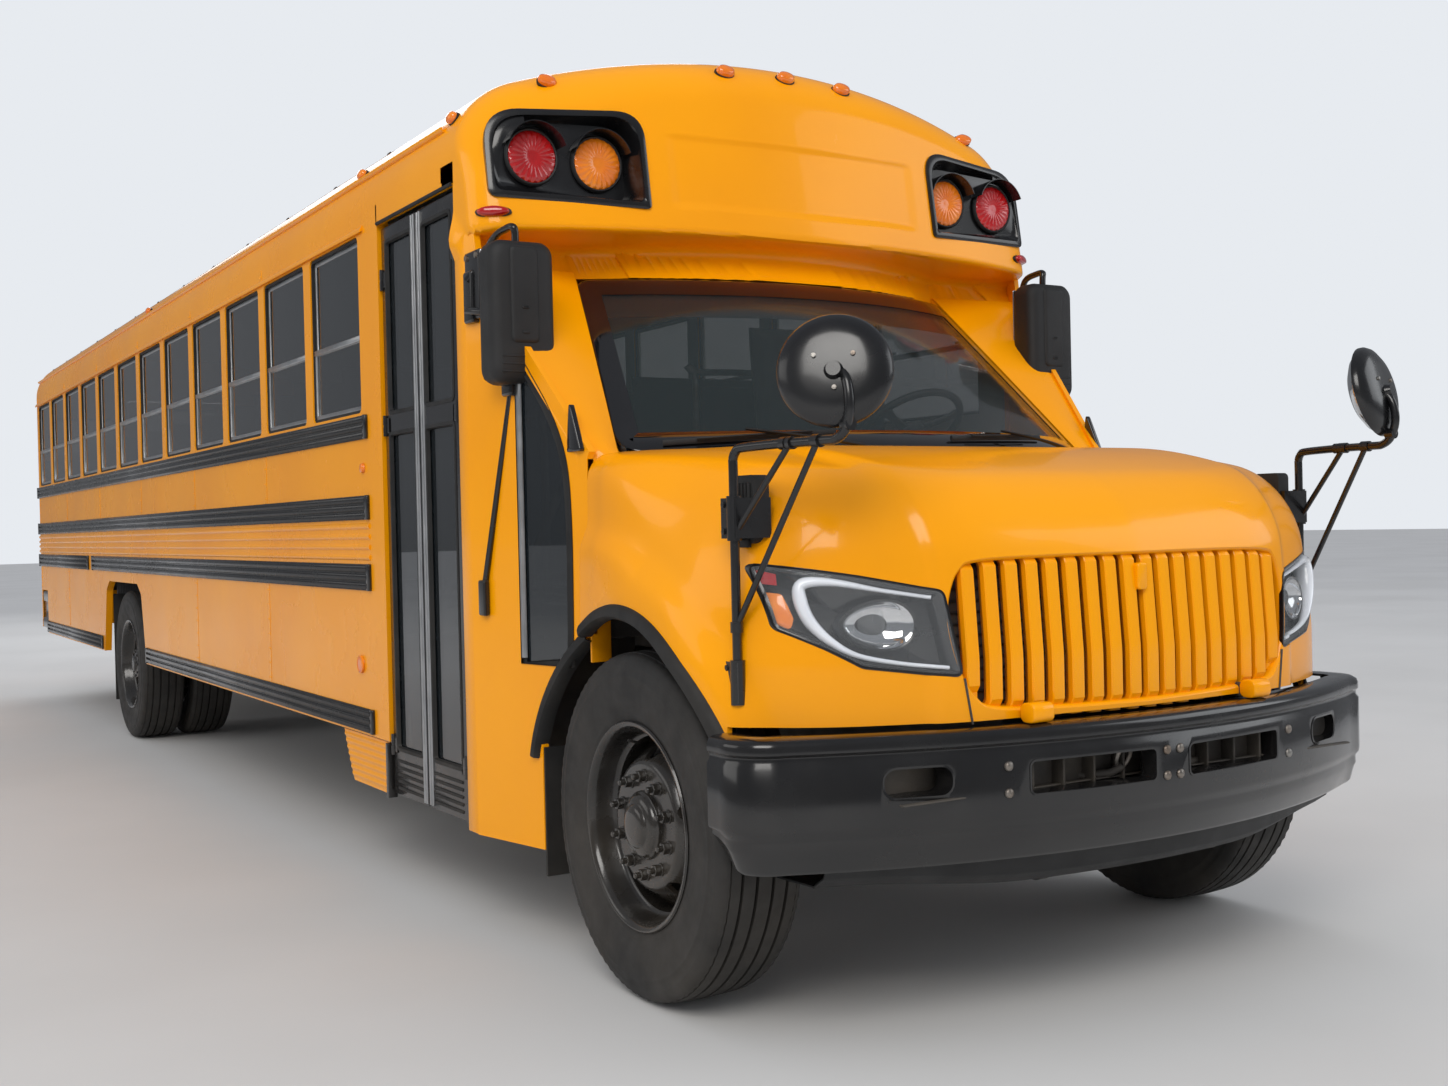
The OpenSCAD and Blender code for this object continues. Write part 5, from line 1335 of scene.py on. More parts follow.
def grille():
    """Upright slats set back in the opening, with a dark core behind."""
    line = grille_outline()
    rows = [on_front(inset_line(line, t) if t else line, -d)
            for t, d in ((0, 0.0), (0.006, 0.004), (0.010, 0.016), (0.011, 0.075))]
    obj = make("grille_rim", Shape().grid(rows, wrap=True), [M["yellow"]], "hood", "body_yellow")
    slats = Shape()
    count, reach = 18, 0.615
    half = sorted([p for p in line if p[0] >= 0], key=lambda p: p[1])
    outline_x, outline_z = np.array(half).T
    w = 0.0215
    across = [(-1, 0.020), (-1, 0.004), (-0.86, 0.0002), (-0.5, -0.0012), (0.5, -0.0012), (0.86, 0.0002), (1, 0.004),
              (1, 0.020), (0.3, 0.046), (-0.3, 0.046)]
    for i in range(count):
        x = -reach + (2 * reach) * (i + 0.5) / count
        # ends where the opening's outline crosses this slat
        ok = outline_x > abs(x) + 0.012
        top, bottom = outline_z[ok].max(), outline_z[ok].min()
        rows = []
        for z in np.linspace(bottom - 0.02, top + 0.02, 22):
            y = float(hood_y(x, min(z, 1.262))[0])
            t = (z - bottom) / (top - bottom)
            sink = 0.008 + 0.012 * (1 - smooth_step(min(t, 1 - t) / 0.05))
            rows.append([(x + w * u, y + sink + v, z) for u, v in across])
        slats.grid(rows, wrap=True)
        slats.add(rows[0], [tuple(range(10))[::-1]])
        slats.add(rows[-1], [tuple(range(10))])
    shade(make("grille_slats", slats, [M["yellow"]], "hood", "body_yellow"), 24)

    def behind(x, z, d):
        return x, float(hood_y(x, z)[0]) + d, z

    core = Shape().grid([[behind(x, z, 0.085) for x in np.linspace(-0.66, 0.66, 23)]
                         for z in np.linspace(0.852, 1.29, 5)])
    for z in np.linspace(0.88, 1.24, 13):
        core.tube([behind(x, z, 0.080) for x in np.linspace(-0.64, 0.64, 15)], 0.004, 1, sides=5)
    back = make("grille_core", core, [M["chassis"], M["plastic"]], "hood", "chassis_black")
    thicken(back, 0.004)
    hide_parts("grille")
    nose = float(hood_y(0, 1.2)[0])
    shield = Shape().prism(rounded(-0.018, 1.16, 0.018, 1.235, 0.01), "y", nose - 0.004, nose + 0.02)
    make("grille_shield", shield, [M["yellow"]], "hood", "body_yellow", bevel=0.004)


def headlights():
    """Black bodies with a light guide, a projector and amber and red lamps, under one clear lens."""
    body, lens, guide, chrome, amber = Shape(), Shape(), Shape(), Shape(), Shape()
    line = spaced(headlight_outline(), 0.03)
    in1, in2, in3 = inset_line(line, 0.006), inset_line(line, 0.014), inset_line(line, 0.024)
    floor_ = on_front(in3, -0.050)
    body.grid([on_front(line, -0.012), on_front(line, 0.002), on_front(in1, 0.003), on_front(in2, -0.003),
               on_front(in3, -0.028), floor_], wrap=True)
    mid, n = np.mean(np.array(floor_), axis=0), len(floor_)
    body.add(floor_ + [tuple(mid)], [(i, (i + 1) % n, n) for i in range(n)])
    c = np.mean(np.array(in1), axis=0)
    lens.join(capped([on_front([tuple(c + (np.array(p) - c) * k) for p in in1], 0.0015 if k > 0.98 else 0.005)
                      for k in (1.0, 0.97, 0.8, 0.6, 0.4, 0.2, 0.02)]))
    bar = [(0.680, 1.166), (0.80, 1.188), (0.915, 1.212), (0.975, 1.208), (0.982, 1.165), (0.965, 1.110),
           (0.925, 1.060), (0.865, 1.022), (0.76, 0.998), (0.650, 0.984)]
    thick = [0.009, 0.010, 0.018, 0.028, 0.032, 0.028, 0.020, 0.012, 0.010, 0.009]
    path = on_front(smooth_flat(bar, 6), -0.012)
    r = [float(np.interp(i / (len(path) - 1), np.linspace(0, 1, len(thick)), thick)) for i in range(len(path))]
    guide.tube(path, r, 0, sides=12, flat=0.6)
    # projector: oval bowl with ribs, a bright ball lens and a black bezel
    cx, cz, rx, rz = 0.808, 1.098, 0.088, 0.060
    rows = []
    for rr, d in ((1.16, -0.028), (1.10, -0.014), (1.0, -0.016), (0.92, -0.030), (0.70, -0.043), (0.45, -0.050)):
        ring = [(cx + rx * rr * math.cos(a), cz + rz * rr * math.sin(a) * (1 - 0.15 * math.cos(a)))
                for a in np.linspace(0, 2 * math.pi, 40, endpoint=False)]
        rows.append(on_front(ring, d))
    chrome.grid(rows[:3], 1, wrap=True)
    chrome.grid(rows[2:], 0, wrap=True)
    y0 = float(hood_y(cx, cz)[0])
    ball = [(-0.002 - 0.030 * math.cos(t), 0.034 * math.sin(t)) for t in np.linspace(math.pi / 2, 0.02, 9)]
    chrome.lathe([(0.022, 0.034)] + ball, (cx, y0 + 0.040, cz), "y", 32, 2)
    corners = [(1.050, 1.190), (1.016, 1.184), (0.999, 1.120), (1.006, 1.090), (1.046, 1.115)]
    turn = spaced(rounded_corners(corners, 0.010, 4), 0.02)
    amber.join(capped([on_front(turn, -0.030), on_front(turn, -0.012), on_front(inset_line(turn, 0.006), -0.008)]))
    side = spaced([(1.058, 1.250), (1.020, 1.235), (1.022, 1.206), (1.054, 1.212)])
    amber.join(capped([on_front(side, -0.024), on_front(side, -0.010)], 1))
    obj = make("headlight_bodies", body.both(), [M["black"]], "hood", "black_trim")
    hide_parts("headlights")
    make("headlight_guides", guide.both(), [M["white_lens"]], "hood", "lamp_clear")
    make("headlight_projectors", chrome.both(), [M["chrome"], M["black"], M["clear"]], "hood", "lamp_clear")
    make("headlight_ambers", amber.both(), [M["amber"], M["red"]], "hood", "lamp_amber")
    make("headlight_lenses", lens.both(), [M["clear"]], "hood", "lamp_clear")


def arch_trim():
    """Rubber lips round the front wheels, and the black latches on the hood's shoulders."""
    def lip(turns, side_x):
        """Rubber profile run round the arch; side_x says where the body's side is."""
        profile = ((-0.012, -0.03), (-0.014, 0.006), (-0.006, 0.018), (0.012, 0.017), (0.026, 0.009), (0.030, -0.004))
        rows = []
        for a in np.radians(turns):
            ring = [(ARCH_Y - (ARCH_R + dr) * math.cos(a), HUB_Z + (ARCH_R + dr) * math.sin(a), dx)
                    for dr, dx in profile]
            rows.append([(side_x(y, z) + dx, y, z) for y, z, dx in ring])
        return rows

    def front_x(y, z):
        return float(hood_x(min(y, 0.336), z)[0]) if y < hood_end else float(cab_side_x(y))

    hood_end = 0.345
    front = [ring for ring in lip(np.linspace(-3, 118, 50), front_x) if ring[1][1] < hood_end]
    obj = make("arch_lips", Shape().grid(front).both(), [M["rubber"]], "hood", "rubber")
    thicken(obj, 0.004)
    rear = lip(np.linspace(121, 168, 16), lambda y, z: float(cab_side_x(y)))
    obj = make("arch_lips_cab", Shape().grid(rear).both(), [M["rubber"]], "root", "rubber")
    thicken(obj, 0.004)
    y0, y1, z0, z1 = -0.535, -0.435, 1.315, 1.495
    x = float(hood_x(-0.485, 1.36)[0])
    latch = Shape().prism(rounded(y0, z0, y1, z1, 0.016, 5), "x", x - 0.03, x + 0.020)
    for y in np.linspace(y0 + 0.018, y1 - 0.018, 5):
        latch.prism(rounded(y - 0.005, z0 + 0.02, y + 0.005, z1 - 0.02, 0.004, 3), "x", x + 0.018, x + 0.026)
    latch.box((x + 0.016, y0 + 0.02, z0 - 0.010), (x + 0.028, y1 - 0.02, z0 + 0.012))
    make("hood_latches", latch.both(), [M["rubber"]], "hood", "rubber", bevel=0.002)


# ---------------------------------------------------------------- front bumper


def bumper_y(x):
    """Face of the bumper's middle part, a wide arc."""
    return BUMPER_NOSE + BUMPER_R - math.sqrt(BUMPER_R ** 2 - x * x)


def bumper_path():
    """Plan of the bumper's face, from the driver's end round to the curb end."""
    half, corner, end_y = 1.21, 0.11, -0.53
    pts = [(x, bumper_y(x)) for x in np.linspace(0, half - corner, 16)]
    x0, y0 = pts[-1]
    for a in np.linspace(0, 1, 10)[1:]:
        t = a * math.pi / 2 * 0.93
        pts.append((x0 + corner * math.sin(t), y0 + 0.03 * a + corner * (1 - math.cos(t))))
    y = pts[-1][1]
    pts += [(half - 0.002, y + (end_y - y) * t) for t in (0.25, 0.6, 1.0)]
    return [(-x, y) for x, y in pts[::-1]] + pts[1:]


def front_bumper():
    """Deep pressed bar with two pairs of slots, tow hooks behind them and an air dam below."""
    line = np.array(bumper_path())
    d = np.gradient(line, axis=0)
    n = np.stack([d[:, 1], -d[:, 0]], 1) / np.linalg.norm(d, axis=1)[:, None]
    profile = [(-0.09, 0.828), (-0.055, 0.830), (-0.020, 0.828), (-0.006, 0.820), (-0.001, 0.808), (-0.001, 0.790),
               (-0.008, 0.782), (-0.008, 0.770), (0.0, 0.760), (0.0, 0.60), (-0.002, 0.586), (-0.012, 0.574),
               (-0.013, 0.566), (-0.012, 0.548), (-0.018, 0.536), (-0.030, 0.492), (-0.040, 0.482), (-0.060, 0.481)]
    rows = []
    for (x, y), (nx, ny) in zip(line, n):
        fade = smooth_step((-0.53 - y) / 0.10)
        ring = []
        for out, z in profile:
            zz = z if z > 0.6 else z + (1 - fade) * (0.6 - z) * 0.55
            ring.append((x + nx * out, y + ny * out, zz))
        rows.append(ring)
    obj = make("front_bumper_face", Shape().grid(rows), [M["bumper"]], slot="black_trim")
    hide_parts("front_bumper")
    thicken(obj, 0.008)
    holes = Shape()
    for s in (-1, 1):
        holes.prism(rounded(s * 0.065, 0.652, s * 0.475, 0.737, 0.018, 5), "y", -1.1, -0.7)
        holes.prism(rounded(s * 0.695, 0.668, s * 0.870, 0.742, 0.034, 7), "y", -1.1, -0.6)
    cut(obj, holes, 40)
    inner = Shape()
    for s in (-1, 1):
        for u0, z0, u1, z1, r, back in ((0.060, 0.647, 0.480, 0.742, 0.02, 0.05),
                                        (0.690, 0.663, 0.875, 0.747, 0.036, 0.06)):
            loop = rounded(s * u0, z0, s * u1, z1, r, 6)
            arc_y = [bumper_y(x) for x, _ in loop]
            inner.grid([[(x, y + d, z) for (x, z), y in zip(inset_line(loop, t), arc_y)]
                        for d, t in ((-0.0015, 0.0), (-0.0015, 0.006), (0.006, 0.0075), (back, 0.010))], wrap=True)
    make("bumper_hole_lips", inner, [M["bumper"]], slot="black_trim")
    bolts = Shape()
    for s in (-1, 1):
        for x, z in ((0.54, 0.73), (0.54, 0.66), (0.025, 0.73), (0.025, 0.66)):
            bolts.lathe([(0.004, 0.013), (-0.003, 0.013), (-0.006, 0.010), (-0.009, 0.0)], (s * x, bumper_y(x), z),
                        "y", 14)
    make("bumper_bolts", bolts, [M["steel"]], slot="steel_grey")
    hooks = Shape()
    for s in (-1, 1):
        ring = [(s * (0.115 + 0.024 * math.cos(a)), -0.905 - 0.012 * math.sin(a), 0.712 + 0.030 * math.sin(a))
                for a in np.linspace(0, 2 * math.pi, 24, endpoint=False)]
        hooks.tube(ring, 0.008, 0, sides=10, closed=True)
        shank = ((0.12, -0.905, 0.685), (0.15, -0.89, 0.668), (0.22, -0.86, 0.664), (0.28, -0.80, 0.68))
        hooks.tube([(s * x, y, z) for x, y, z in shank], 0.012, 1, sides=10)
    make("bumper_hooks", hooks, [M["steel"], M["chassis"]], slot="steel_grey")
    core = Shape()
    core.box((-0.86, -0.895, 0.655), (0.86, -0.875, 0.66)).box((-0.62, -0.86, 0.62), (0.62, -0.82, 0.77))
    for s in (-1, 1):
        core.box((s * 0.67, -0.80, 0.635), (s * 0.90, -0.775, 0.775))
    for x in np.linspace(-0.44, 0.44, 9):
        core.box((x - 0.004, -0.905, 0.65), (x + 0.004, -0.85, 0.74))
    make("bumper_core", core, [M["chassis"]], slot="chassis_black", bevel=0.003)
    # valance and air dam below
    rows = []
    for x in np.linspace(-0.98, 0.98, 25):
        y = bumper_y(x)
        drop = 0.03 * smooth_step((0.9 - abs(x)) / 0.5)
        rows.append([(x, y + 0.06, 0.50), (x, y + 0.075, 0.46 - drop), (x, y + 0.12, 0.43 - drop),
                     (x, y + 0.30, 0.425 - drop)])
    obj = make("valance", Shape().grid(rows), [M["plastic"]], slot="black_plastic")
    thicken(obj, 0.005)


hood_shell()
hinge_covers()
grille()
headlights()
arch_trim()
front_bumper()

# ---------------------------------------------------------------- mirrors


def crossview_mirrors():
    """Round convex mirrors on bent tube frames, footed on the front fenders."""
    shape = Shape()
    x0, y0 = 1.108, -0.530
    head = Vector((1.03, -0.880, 1.735))
    path = [(x0, y0, 0.905), (x0, y0, 1.20), (x0, y0, 1.50), (x0, y0, 1.535), (x0 - 0.003, y0 - 0.012, 1.556),
            (x0 - 0.008, y0 - 0.035, 1.563), (1.075, -0.70, 1.566), (1.045, -0.86, 1.566), (1.040, -0.895, 1.568),
            (1.036, -0.925, 1.585), (1.036, -0.942, 1.62), (1.036, -0.945, 1.66), (1.034, -0.935, 1.70),
            (1.032, -0.915, 1.727)]
    shape.tube(smooth_path(path, 4), 0.0125, sides=14)
    for low, high in (((x0, y0, 1.34), (1.067, -0.735, 1.566)), ((x0, y0, 1.10), (1.050, -0.83, 1.566))):
        shape.tube([low, high], 0.0085, sides=10)
        for p in (low, high):
            shape.lathe([(-0.014, 0.0), (-0.014, 0.017), (0.014, 0.017), (0.014, 0.0)], p, "z"
                        if p is low else "y", 14)
    for z in (0.905, 1.33):
        xs = float(hood_x(-0.50, z + 0.04)[0])
        shape.box((xs - 0.012, y0 - 0.022, z), (x0 + 0.010, y0 + 0.050, z + 0.105))
        shape.lathe([(-0.006, 0.0), (-0.006, 0.020), (0.11, 0.020), (0.11, 0.0)], (x0, y0, z), "z", 16)
        for dz in (0.018, 0.088):
            shape.lathe([(0.0, 0.009), (0.006, 0.008), (0.008, 0.0)], (x0 + 0.010, y0 + 0.034, z + dz), "x", 10)
    for p in ((1.072, -0.715, 1.566), (1.034, -0.932, 1.60)):
        shape.tube([Vector(p) - Vector((0.002, 0.014, 0)), Vector(p) + Vector((-0.002, 0.014, 0))], 0.0165, sides=14)
    obj = make("crossview_frames", shape.both(), [M["black"]], "hood", "black_trim")
    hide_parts("crossview_mirrors")
    back, face = Shape(), Shape()
    r = 0.142
    back.lathe([(-0.036, 0.0), (-0.036, 0.040), (-0.033, 0.080), (-0.026, 0.110), (-0.012, 0.134),
                (0.0, r), (0.010, r + 0.001), (0.013, r - 0.004), (0.013, r - 0.010)], ORIGIN, "y", 64)
    for a in np.linspace(0, 2 * math.pi, 4)[:3] + 0.5:
        back.lathe([(-0.041, 0.0), (-0.040, 0.006), (-0.030, 0.007)],
                   (0.055 * math.cos(a), 0, 0.055 * math.sin(a)), "y", 12, 1)
    back.lathe([(-0.052, 0.0), (-0.052, 0.018), (-0.030, 0.026)], (0, 0, -0.012), "y", 20)
    face.lathe([(0.012, r - 0.006), (0.030, r - 0.024), (0.046, 0.090), (0.056, 0.050), (0.060, 0.0)], ORIGIN, "y", 64)
    for shape_in, name, mats, slot in ((back, "crossview_shells", [M["black"], M["steel"]], "black_trim"),
                                       (face, "crossview_glass", [M["chrome"]], "steel_grey")):
        pair = Shape()
        for yaw, flip in ((15, Shape.same), (40, Shape.mirrored)):
            placed = turned(turned(shape_in, ORIGIN, "X", math.radians(-12)), ORIGIN, "Z", math.radians(yaw))
            pair.join(flip(placed.moved(lambda x, y, z: (x + head.x, y + head.y, z + head.z))))
        make(name, pair, mats, "hood", slot)


def rounded_box(low, high, r, paint=0, steps=5):
    """Box with every edge rounded, drawn as stacked outlines along y."""
    (x0, y0, z0), (x1, y1, z1) = low, high
    rows = []
    for t in np.linspace(0, math.pi / 2, steps):
        rows.append((y0 + r - r * math.sin(math.pi / 2 - t), r * (1 - math.cos(math.pi / 2 - t))))
    rows = rows + [(y1 - (y - y0), g) for y, g in rows[::-1]]
    loops = [[(x, y, z) for x, z in rounded(x0 + g, z0 + g, x1 - g, z1 - g, max(r * 1.3 - g * 0.5, 0.004), 7)]
             for y, g in rows]
    out = Shape().grid(loops, paint, wrap=True)
    out.add(loops[0], [tuple(range(len(loops[0])))], paint)
    return out.add(loops[-1], [tuple(range(len(loops[-1])))], paint)


def side_mirrors():
    """Tall moulded heads on looped tubes; flat glass above, a convex one below."""
    shell, glass_face, arms = Shape(), Shape(), Shape()
    x0, x1, y0, y1, z0, z1 = 1.035, 1.262, 0.655, 0.785, 1.835, 2.300
    shell.join(rounded_box((x0, y0, z0), (x1, y1, z1), 0.038))
    panel = rounded_box((x0 + 0.062, y0 - 0.007, z0 + 0.13), (x1 - 0.062, y0 + 0.03, z1 - 0.02), 0.014)
    shell.join(panel)
    for z in (z0 + 0.035, z0 + 0.06, z0 + 0.085):
        shell.join(rounded_box((x0 + 0.03, y0 - 0.002, z), (x1 - 0.03, y0 + 0.02, z + 0.008), 0.004))
    for zz in (z0 + 0.16, z0 + 0.24):
        shell.join(rounded_box((x0 + 0.10, y0 - 0.010, zz), (x1 - 0.10, y0 + 0.01, zz + 0.012), 0.004))
    glass_face.join(rounded_box((x0 + 0.016, y1 - 0.004, z0 + 0.145), (x1 - 0.016, y1 + 0.004, z1 - 0.016), 0.004))
    lower = [(x, y1 + 0.002, z) for x, z in rounded(x0 + 0.018, z0 + 0.016, x1 - 0.018, z0 + 0.130, 0.02, 6)]
    mid = np.mean(np.array(lower), axis=0)
    rows = [[tuple(mid + (np.array(p) - mid) * k + np.array([0, 0.022 * (1 - k * k), 0])) for p in lower]
            for k in (1.0, 0.85, 0.6, 0.35, 0.05)]
    glass_face.join(capped(rows))
    top = [(1.235, 0.93, 2.20), (1.20, 0.90, 2.255), (1.17, 0.84, 2.335), (1.16, 0.76, 2.352), (1.155, 0.72, 2.35),
           (1.15, 0.715, 2.33), (1.15, 0.718, 2.27)]
    arms.tube(smooth_path(top, 5), 0.0125, sides=12)
    bottom = [(1.235, 0.93, 2.10), (1.225, 0.86, 2.09), (1.19, 0.80, 2.08), (1.165, 0.775, 2.08)]
    arms.tube(smooth_path(bottom, 5), 0.0125, sides=12)
    arms.join(rounded_box((1.168, 0.90, 2.06), (1.232, 0.972, 2.235), 0.008))
    px = float(cab_side_x(0.93))
    arms.join(rounded_box((px - 0.004, 0.855, 2.07), (px + 0.012, 0.978, 2.30), 0.006))
    for y, z in ((0.875, 2.09), (0.875, 2.28), (0.960, 2.09), (0.960, 2.28)):
        arms.lathe([(0.0, 0.011), (0.006, 0.010), (0.009, 0.0)], (px + 0.011, y, z), "x", 12, 1)
    foot = (float(cab_side_x(0.90)) + 0.010, 0.90, 1.15)
    arms.tube([(1.16, 0.735, 1.86), (1.168, 0.745, 1.80), foot], 0.0105, sides=10)
    arms.join(rounded_box((foot[0] - 0.012, foot[1] - 0.025, foot[2] - 0.07),
                          (foot[0] + 0.010, foot[1] + 0.025, foot[2] + 0.05), 0.006))
    arms.join(rounded_box((1.13, 0.70, 1.800), (1.19, 0.77, 1.845), 0.008))
    obj = make("side_mirror_shells", shell.both(), [M["plastic"]], slot="black_plastic")
    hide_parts("side_mirrors")
    make("side_mirror_glass", glass_face.both(), [M["chrome"]], slot="steel_grey")
    make("side_mirror_arms", arms.both(), [M["black"], M["steel"]], slot="black_trim")


# ---------------------------------------------------------------- entrance and stop arm


LEAF_X, LEAF_T = HALF_W - 0.012, 0.038
LEAF_GAP = 0.016
LEAF_W = (DOOR_Y[1] - DOOR_Y[0] - 0.024 - LEAF_GAP) / 2


def door_leaf(y0, meet, body, name):
    """Black framed leaf with two lights, bright meeting stile, seals and a kick plate."""
    y1 = y0 + LEAF_W
    z0, z1 = FRONT_SKIRT_Z + 0.022, DOOR_TOP_Z - 0.014
    bar = SILL_Z - 0.10
    slab = Shape().prism(rounded(y0, z0, y1, z1, 0.006, 3), "x", -LEAF_X, -(LEAF_X - LEAF_T))
    obj = make(name, slab, [M["black"]], body, "black_trim", bevel=0.004)
    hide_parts(name.replace("leaf_", "door_leaf_"))
    lights = [(z0 + 0.175, bar), (bar + 0.075, z1 - 0.055)]
    tool = Shape()
    for a, b in lights:
        tool.prism(rounded(y0 + 0.046, a, y1 - 0.046, b, 0.022, 6), "x", -LEAF_X - 0.1, -LEAF_X + 0.2)
    cut(obj, tool, 40)
    seal, pane = Shape(), Shape()
    for a, b in lights:
        line = rounded(y0 + 0.046, a, y1 - 0.046, b, 0.022, 6)
        for side in (1, -1):
            x = -LEAF_X if side > 0 else -(LEAF_X - LEAF_T)
            bead = ((-0.004, -0.006), (0.0025, -0.005), (0.004, 0.001), (0.003, 0.008), (-0.010, 0.012))
            seal.grid([[(x - side * d, y, z) for y, z in inset_line(line, t)] for d, t in bead], wrap=True)
        pane.prism(inset_line(line, 0.006), "x", -LEAF_X + 0.014, -LEAF_X + 0.020)
    make(name + "_seals", seal, [M["rubber"]], body, "rubber")
    make(name + "_panes", pane, [M["tint"]], body, "glass_tinted")
    strip = Shape()
    m0, m1 = (y1 - 0.040, y1 - 0.004) if meet > 0 else (y0 + 0.004, y0 + 0.040)
    stile = [(0.002, m0), (-0.003, m0), (-0.006, m0 + 0.004), (-0.006, m0 + 0.012), (-0.003, m0 + 0.015),
             (-0.003, m1 - 0.012), (-0.006, m1 - 0.010), (-0.006, m1 - 0.002), (0.002, m1)]
    rows = [[(-LEAF_X + d, y, z) for d, y in stile] for z in (z0 + 0.01, z1 - 0.01)]
    strip.grid(rows)
    make(name + "_stile", strip, [M["alu"]], body, "aluminium", bevel=0.0)
    edge = Shape()
    ye = y1 + 0.001 if meet > 0 else y0 - 0.001
    edge.tube([(-LEAF_X + 0.018, ye, z0 + 0.01), (-LEAF_X + 0.018, ye, z1 - 0.01)], 0.0065, sides=10, flat=1.6)
    kick = Shape()
    for k in range(5):
        zz = z0 + 0.022 + k * 0.026
        kick.join(rounded_box((-LEAF_X - 0.004, y0 + 0.05, zz),
                              (-LEAF_X + 0.004, y1 - 0.05, zz + 0.012), 0.0038, 0, 3))
    hinge_y = y0 + 0.006 if meet > 0 else y1 - 0.006
    for z in (z0 + 0.15, bar - 0.01, z1 - 0.24):
        edge.lathe([(0.0, 0.0), (0.0, 0.010), (0.035, 0.0105), (0.036, 0.009), (0.044, 0.009), (0.045, 0.0105),
                    (0.08, 0.010), (0.08, 0.0)],
                   (-LEAF_X - 0.001, hinge_y, z), "z", 14, 1)
        near, far = sorted((hinge_y, hinge_y + meet * 0.045))
        edge.join(rounded_box((-LEAF_X - 0.003, near, z + 0.01), (-LEAF_X + 0.003, far, z + 0.07), 0.0028, 1, 3))
    rail_x, rail_y = -LEAF_X + LEAF_T, (y0 + y1) / 2 - 0.02
    edge.tube([(rail_x + dx, rail_y, bar + dz)
               for dx, dz in ((0.002, 0.03), (0.035, 0.01), (0.035, -0.42), (0.002, -0.44))], 0.010, 2, sides=10)
    make(name + "_edges", edge.join(kick), [M["rubber"], M["black"], M["alu"]], body, "rubber")


def entrance():
    """Both door leaves, the ribbed skirt behind the doorway, the steps and the grab rails."""
    door_leaf(DOOR_Y[0] + 0.012, 1, "entry_door_front", "leaf_front")
    door_leaf(DOOR_Y[1] - 0.012 - LEAF_W, -1, "entry_door_rear", "leaf_rear")
    # ribbed valance that steps down towards the doorway
    rows = []
    foot_z = 0.345
    for z in np.linspace(foot_z, 0.548, 62):
        rib = 0.004 * (0.5 + 0.5 * math.cos((z - foot_z) / 0.026 * 2 * math.pi)) if 0.352 < z < 0.545 else 0
        y1 = 2.34 + (z - foot_z) / 0.205 * 0.12
        rows.append([(-HALF_W - rib + 0.012, y, z) for y in np.linspace(1.885, y1, 12)])
    skirt = make("entry_skirt", Shape().grid(rows), [M["yellow"]], slot="body_yellow")
    thicken(skirt, 0.003)
    edge = Shape()
    edge.box((-HALF_W - 0.006, DOOR_Y[1] + 0.004, 0.336), (-HALF_W + 0.03, DOOR_Y[1] + 0.034, 0.548))
    # step treads with bright nosings
    step_h, depth, x0, low = (FLOOR_Z - FRONT_SKIRT_Z - 0.085) / 2, 0.29, -HALF_W + 0.088, FRONT_SKIRT_Z + 0.072
    ya, yb = DOOR_Y[0] + 0.016, DOOR_Y[1] - 0.016
    treads = Shape()
    for k, z in enumerate((low, low - 0.012 + step_h)):
        xa = x0 + k * depth
        treads.join(rounded_box((xa, ya, z), (xa + depth - 0.014, yb, z + 0.004), 0.0018, 0, 3))
        for i in range(11):
            xr = xa + 0.035 + i * 0.022
            treads.join(rounded_box((xr, ya + 0.01, z + 0.003), (xr + 0.010, yb - 0.01, z + 0.007), 0.0018, 0, 3))
        treads.join(rounded_box((xa - 0.004, ya, z - 0.016), (xa + 0.022, yb, z + 0.007), 0.003, 1, 3))
    edge_x = x0 + 2 * depth
    treads.join(rounded_box((edge_x - 0.004, ya, FLOOR_Z - 0.014), (edge_x + 0.024, yb, FLOOR_Z + 0.007), 0.003, 1, 3))
    make("step_treads", treads, [M["floor"], M["alu"]], slot="floor_rubber")
    rail = Shape()
    for y in (ya + 0.035, yb - 0.035):
        path = ((0.05, 0.80), (0.07, 0.95), (0.2, 1.25), (0.42, 1.72), (0.52, 1.82), (0.57, 1.78),
                (0.575, FLOOR_Z + 0.01))
        rail.tube(smooth_path([(x0 + dx, y, z) for dx, z in path], 6), 0.0155, sides=14)
    make("entry_rails", rail, [M["steel"]], slot="steel_grey")
    # side reflector and small lamp near the doorway
    bits = Shape()
    disc = [(0.0, 0.0), (0.0, 0.036), (0.008, 0.036), (0.010, 0.030), (0.008, 0.028), (0.010, 0.014), (0.009, 0.0)]
    dome = [(0.0, 0.0), (0.0, 0.021), (0.010, 0.018), (0.013, 0.010), (0.014, 0.0)]
    for line, steps, at_y, at_z in ((disc, 32, 2.17, 0.836), (dome, 24, 2.09, 1.625)):
        spot = turned(Shape().lathe(line, ORIGIN, "x", steps), ORIGIN, "Z", math.pi)
        bits.join(spot.moved(lambda x, y, z: (x - HALF_W - 0.001, y + at_y, z + at_z)))
    make("side_reflector", bits, [M["amber"]], slot="lamp_amber")
    make("entry_edge", edge, [M["black"]], slot="black_trim", bevel=0.003)


def octagon(cy, cz, across):
    """Regular octagon with flats up, this far across the flats."""
    r = across / 2 / math.cos(math.pi / 8)
    turns = [math.pi / 8 + k * math.pi / 4 for k in range(8)]
    return [(cy + r * math.cos(a), cz + r * math.sin(a)) for a in turns]


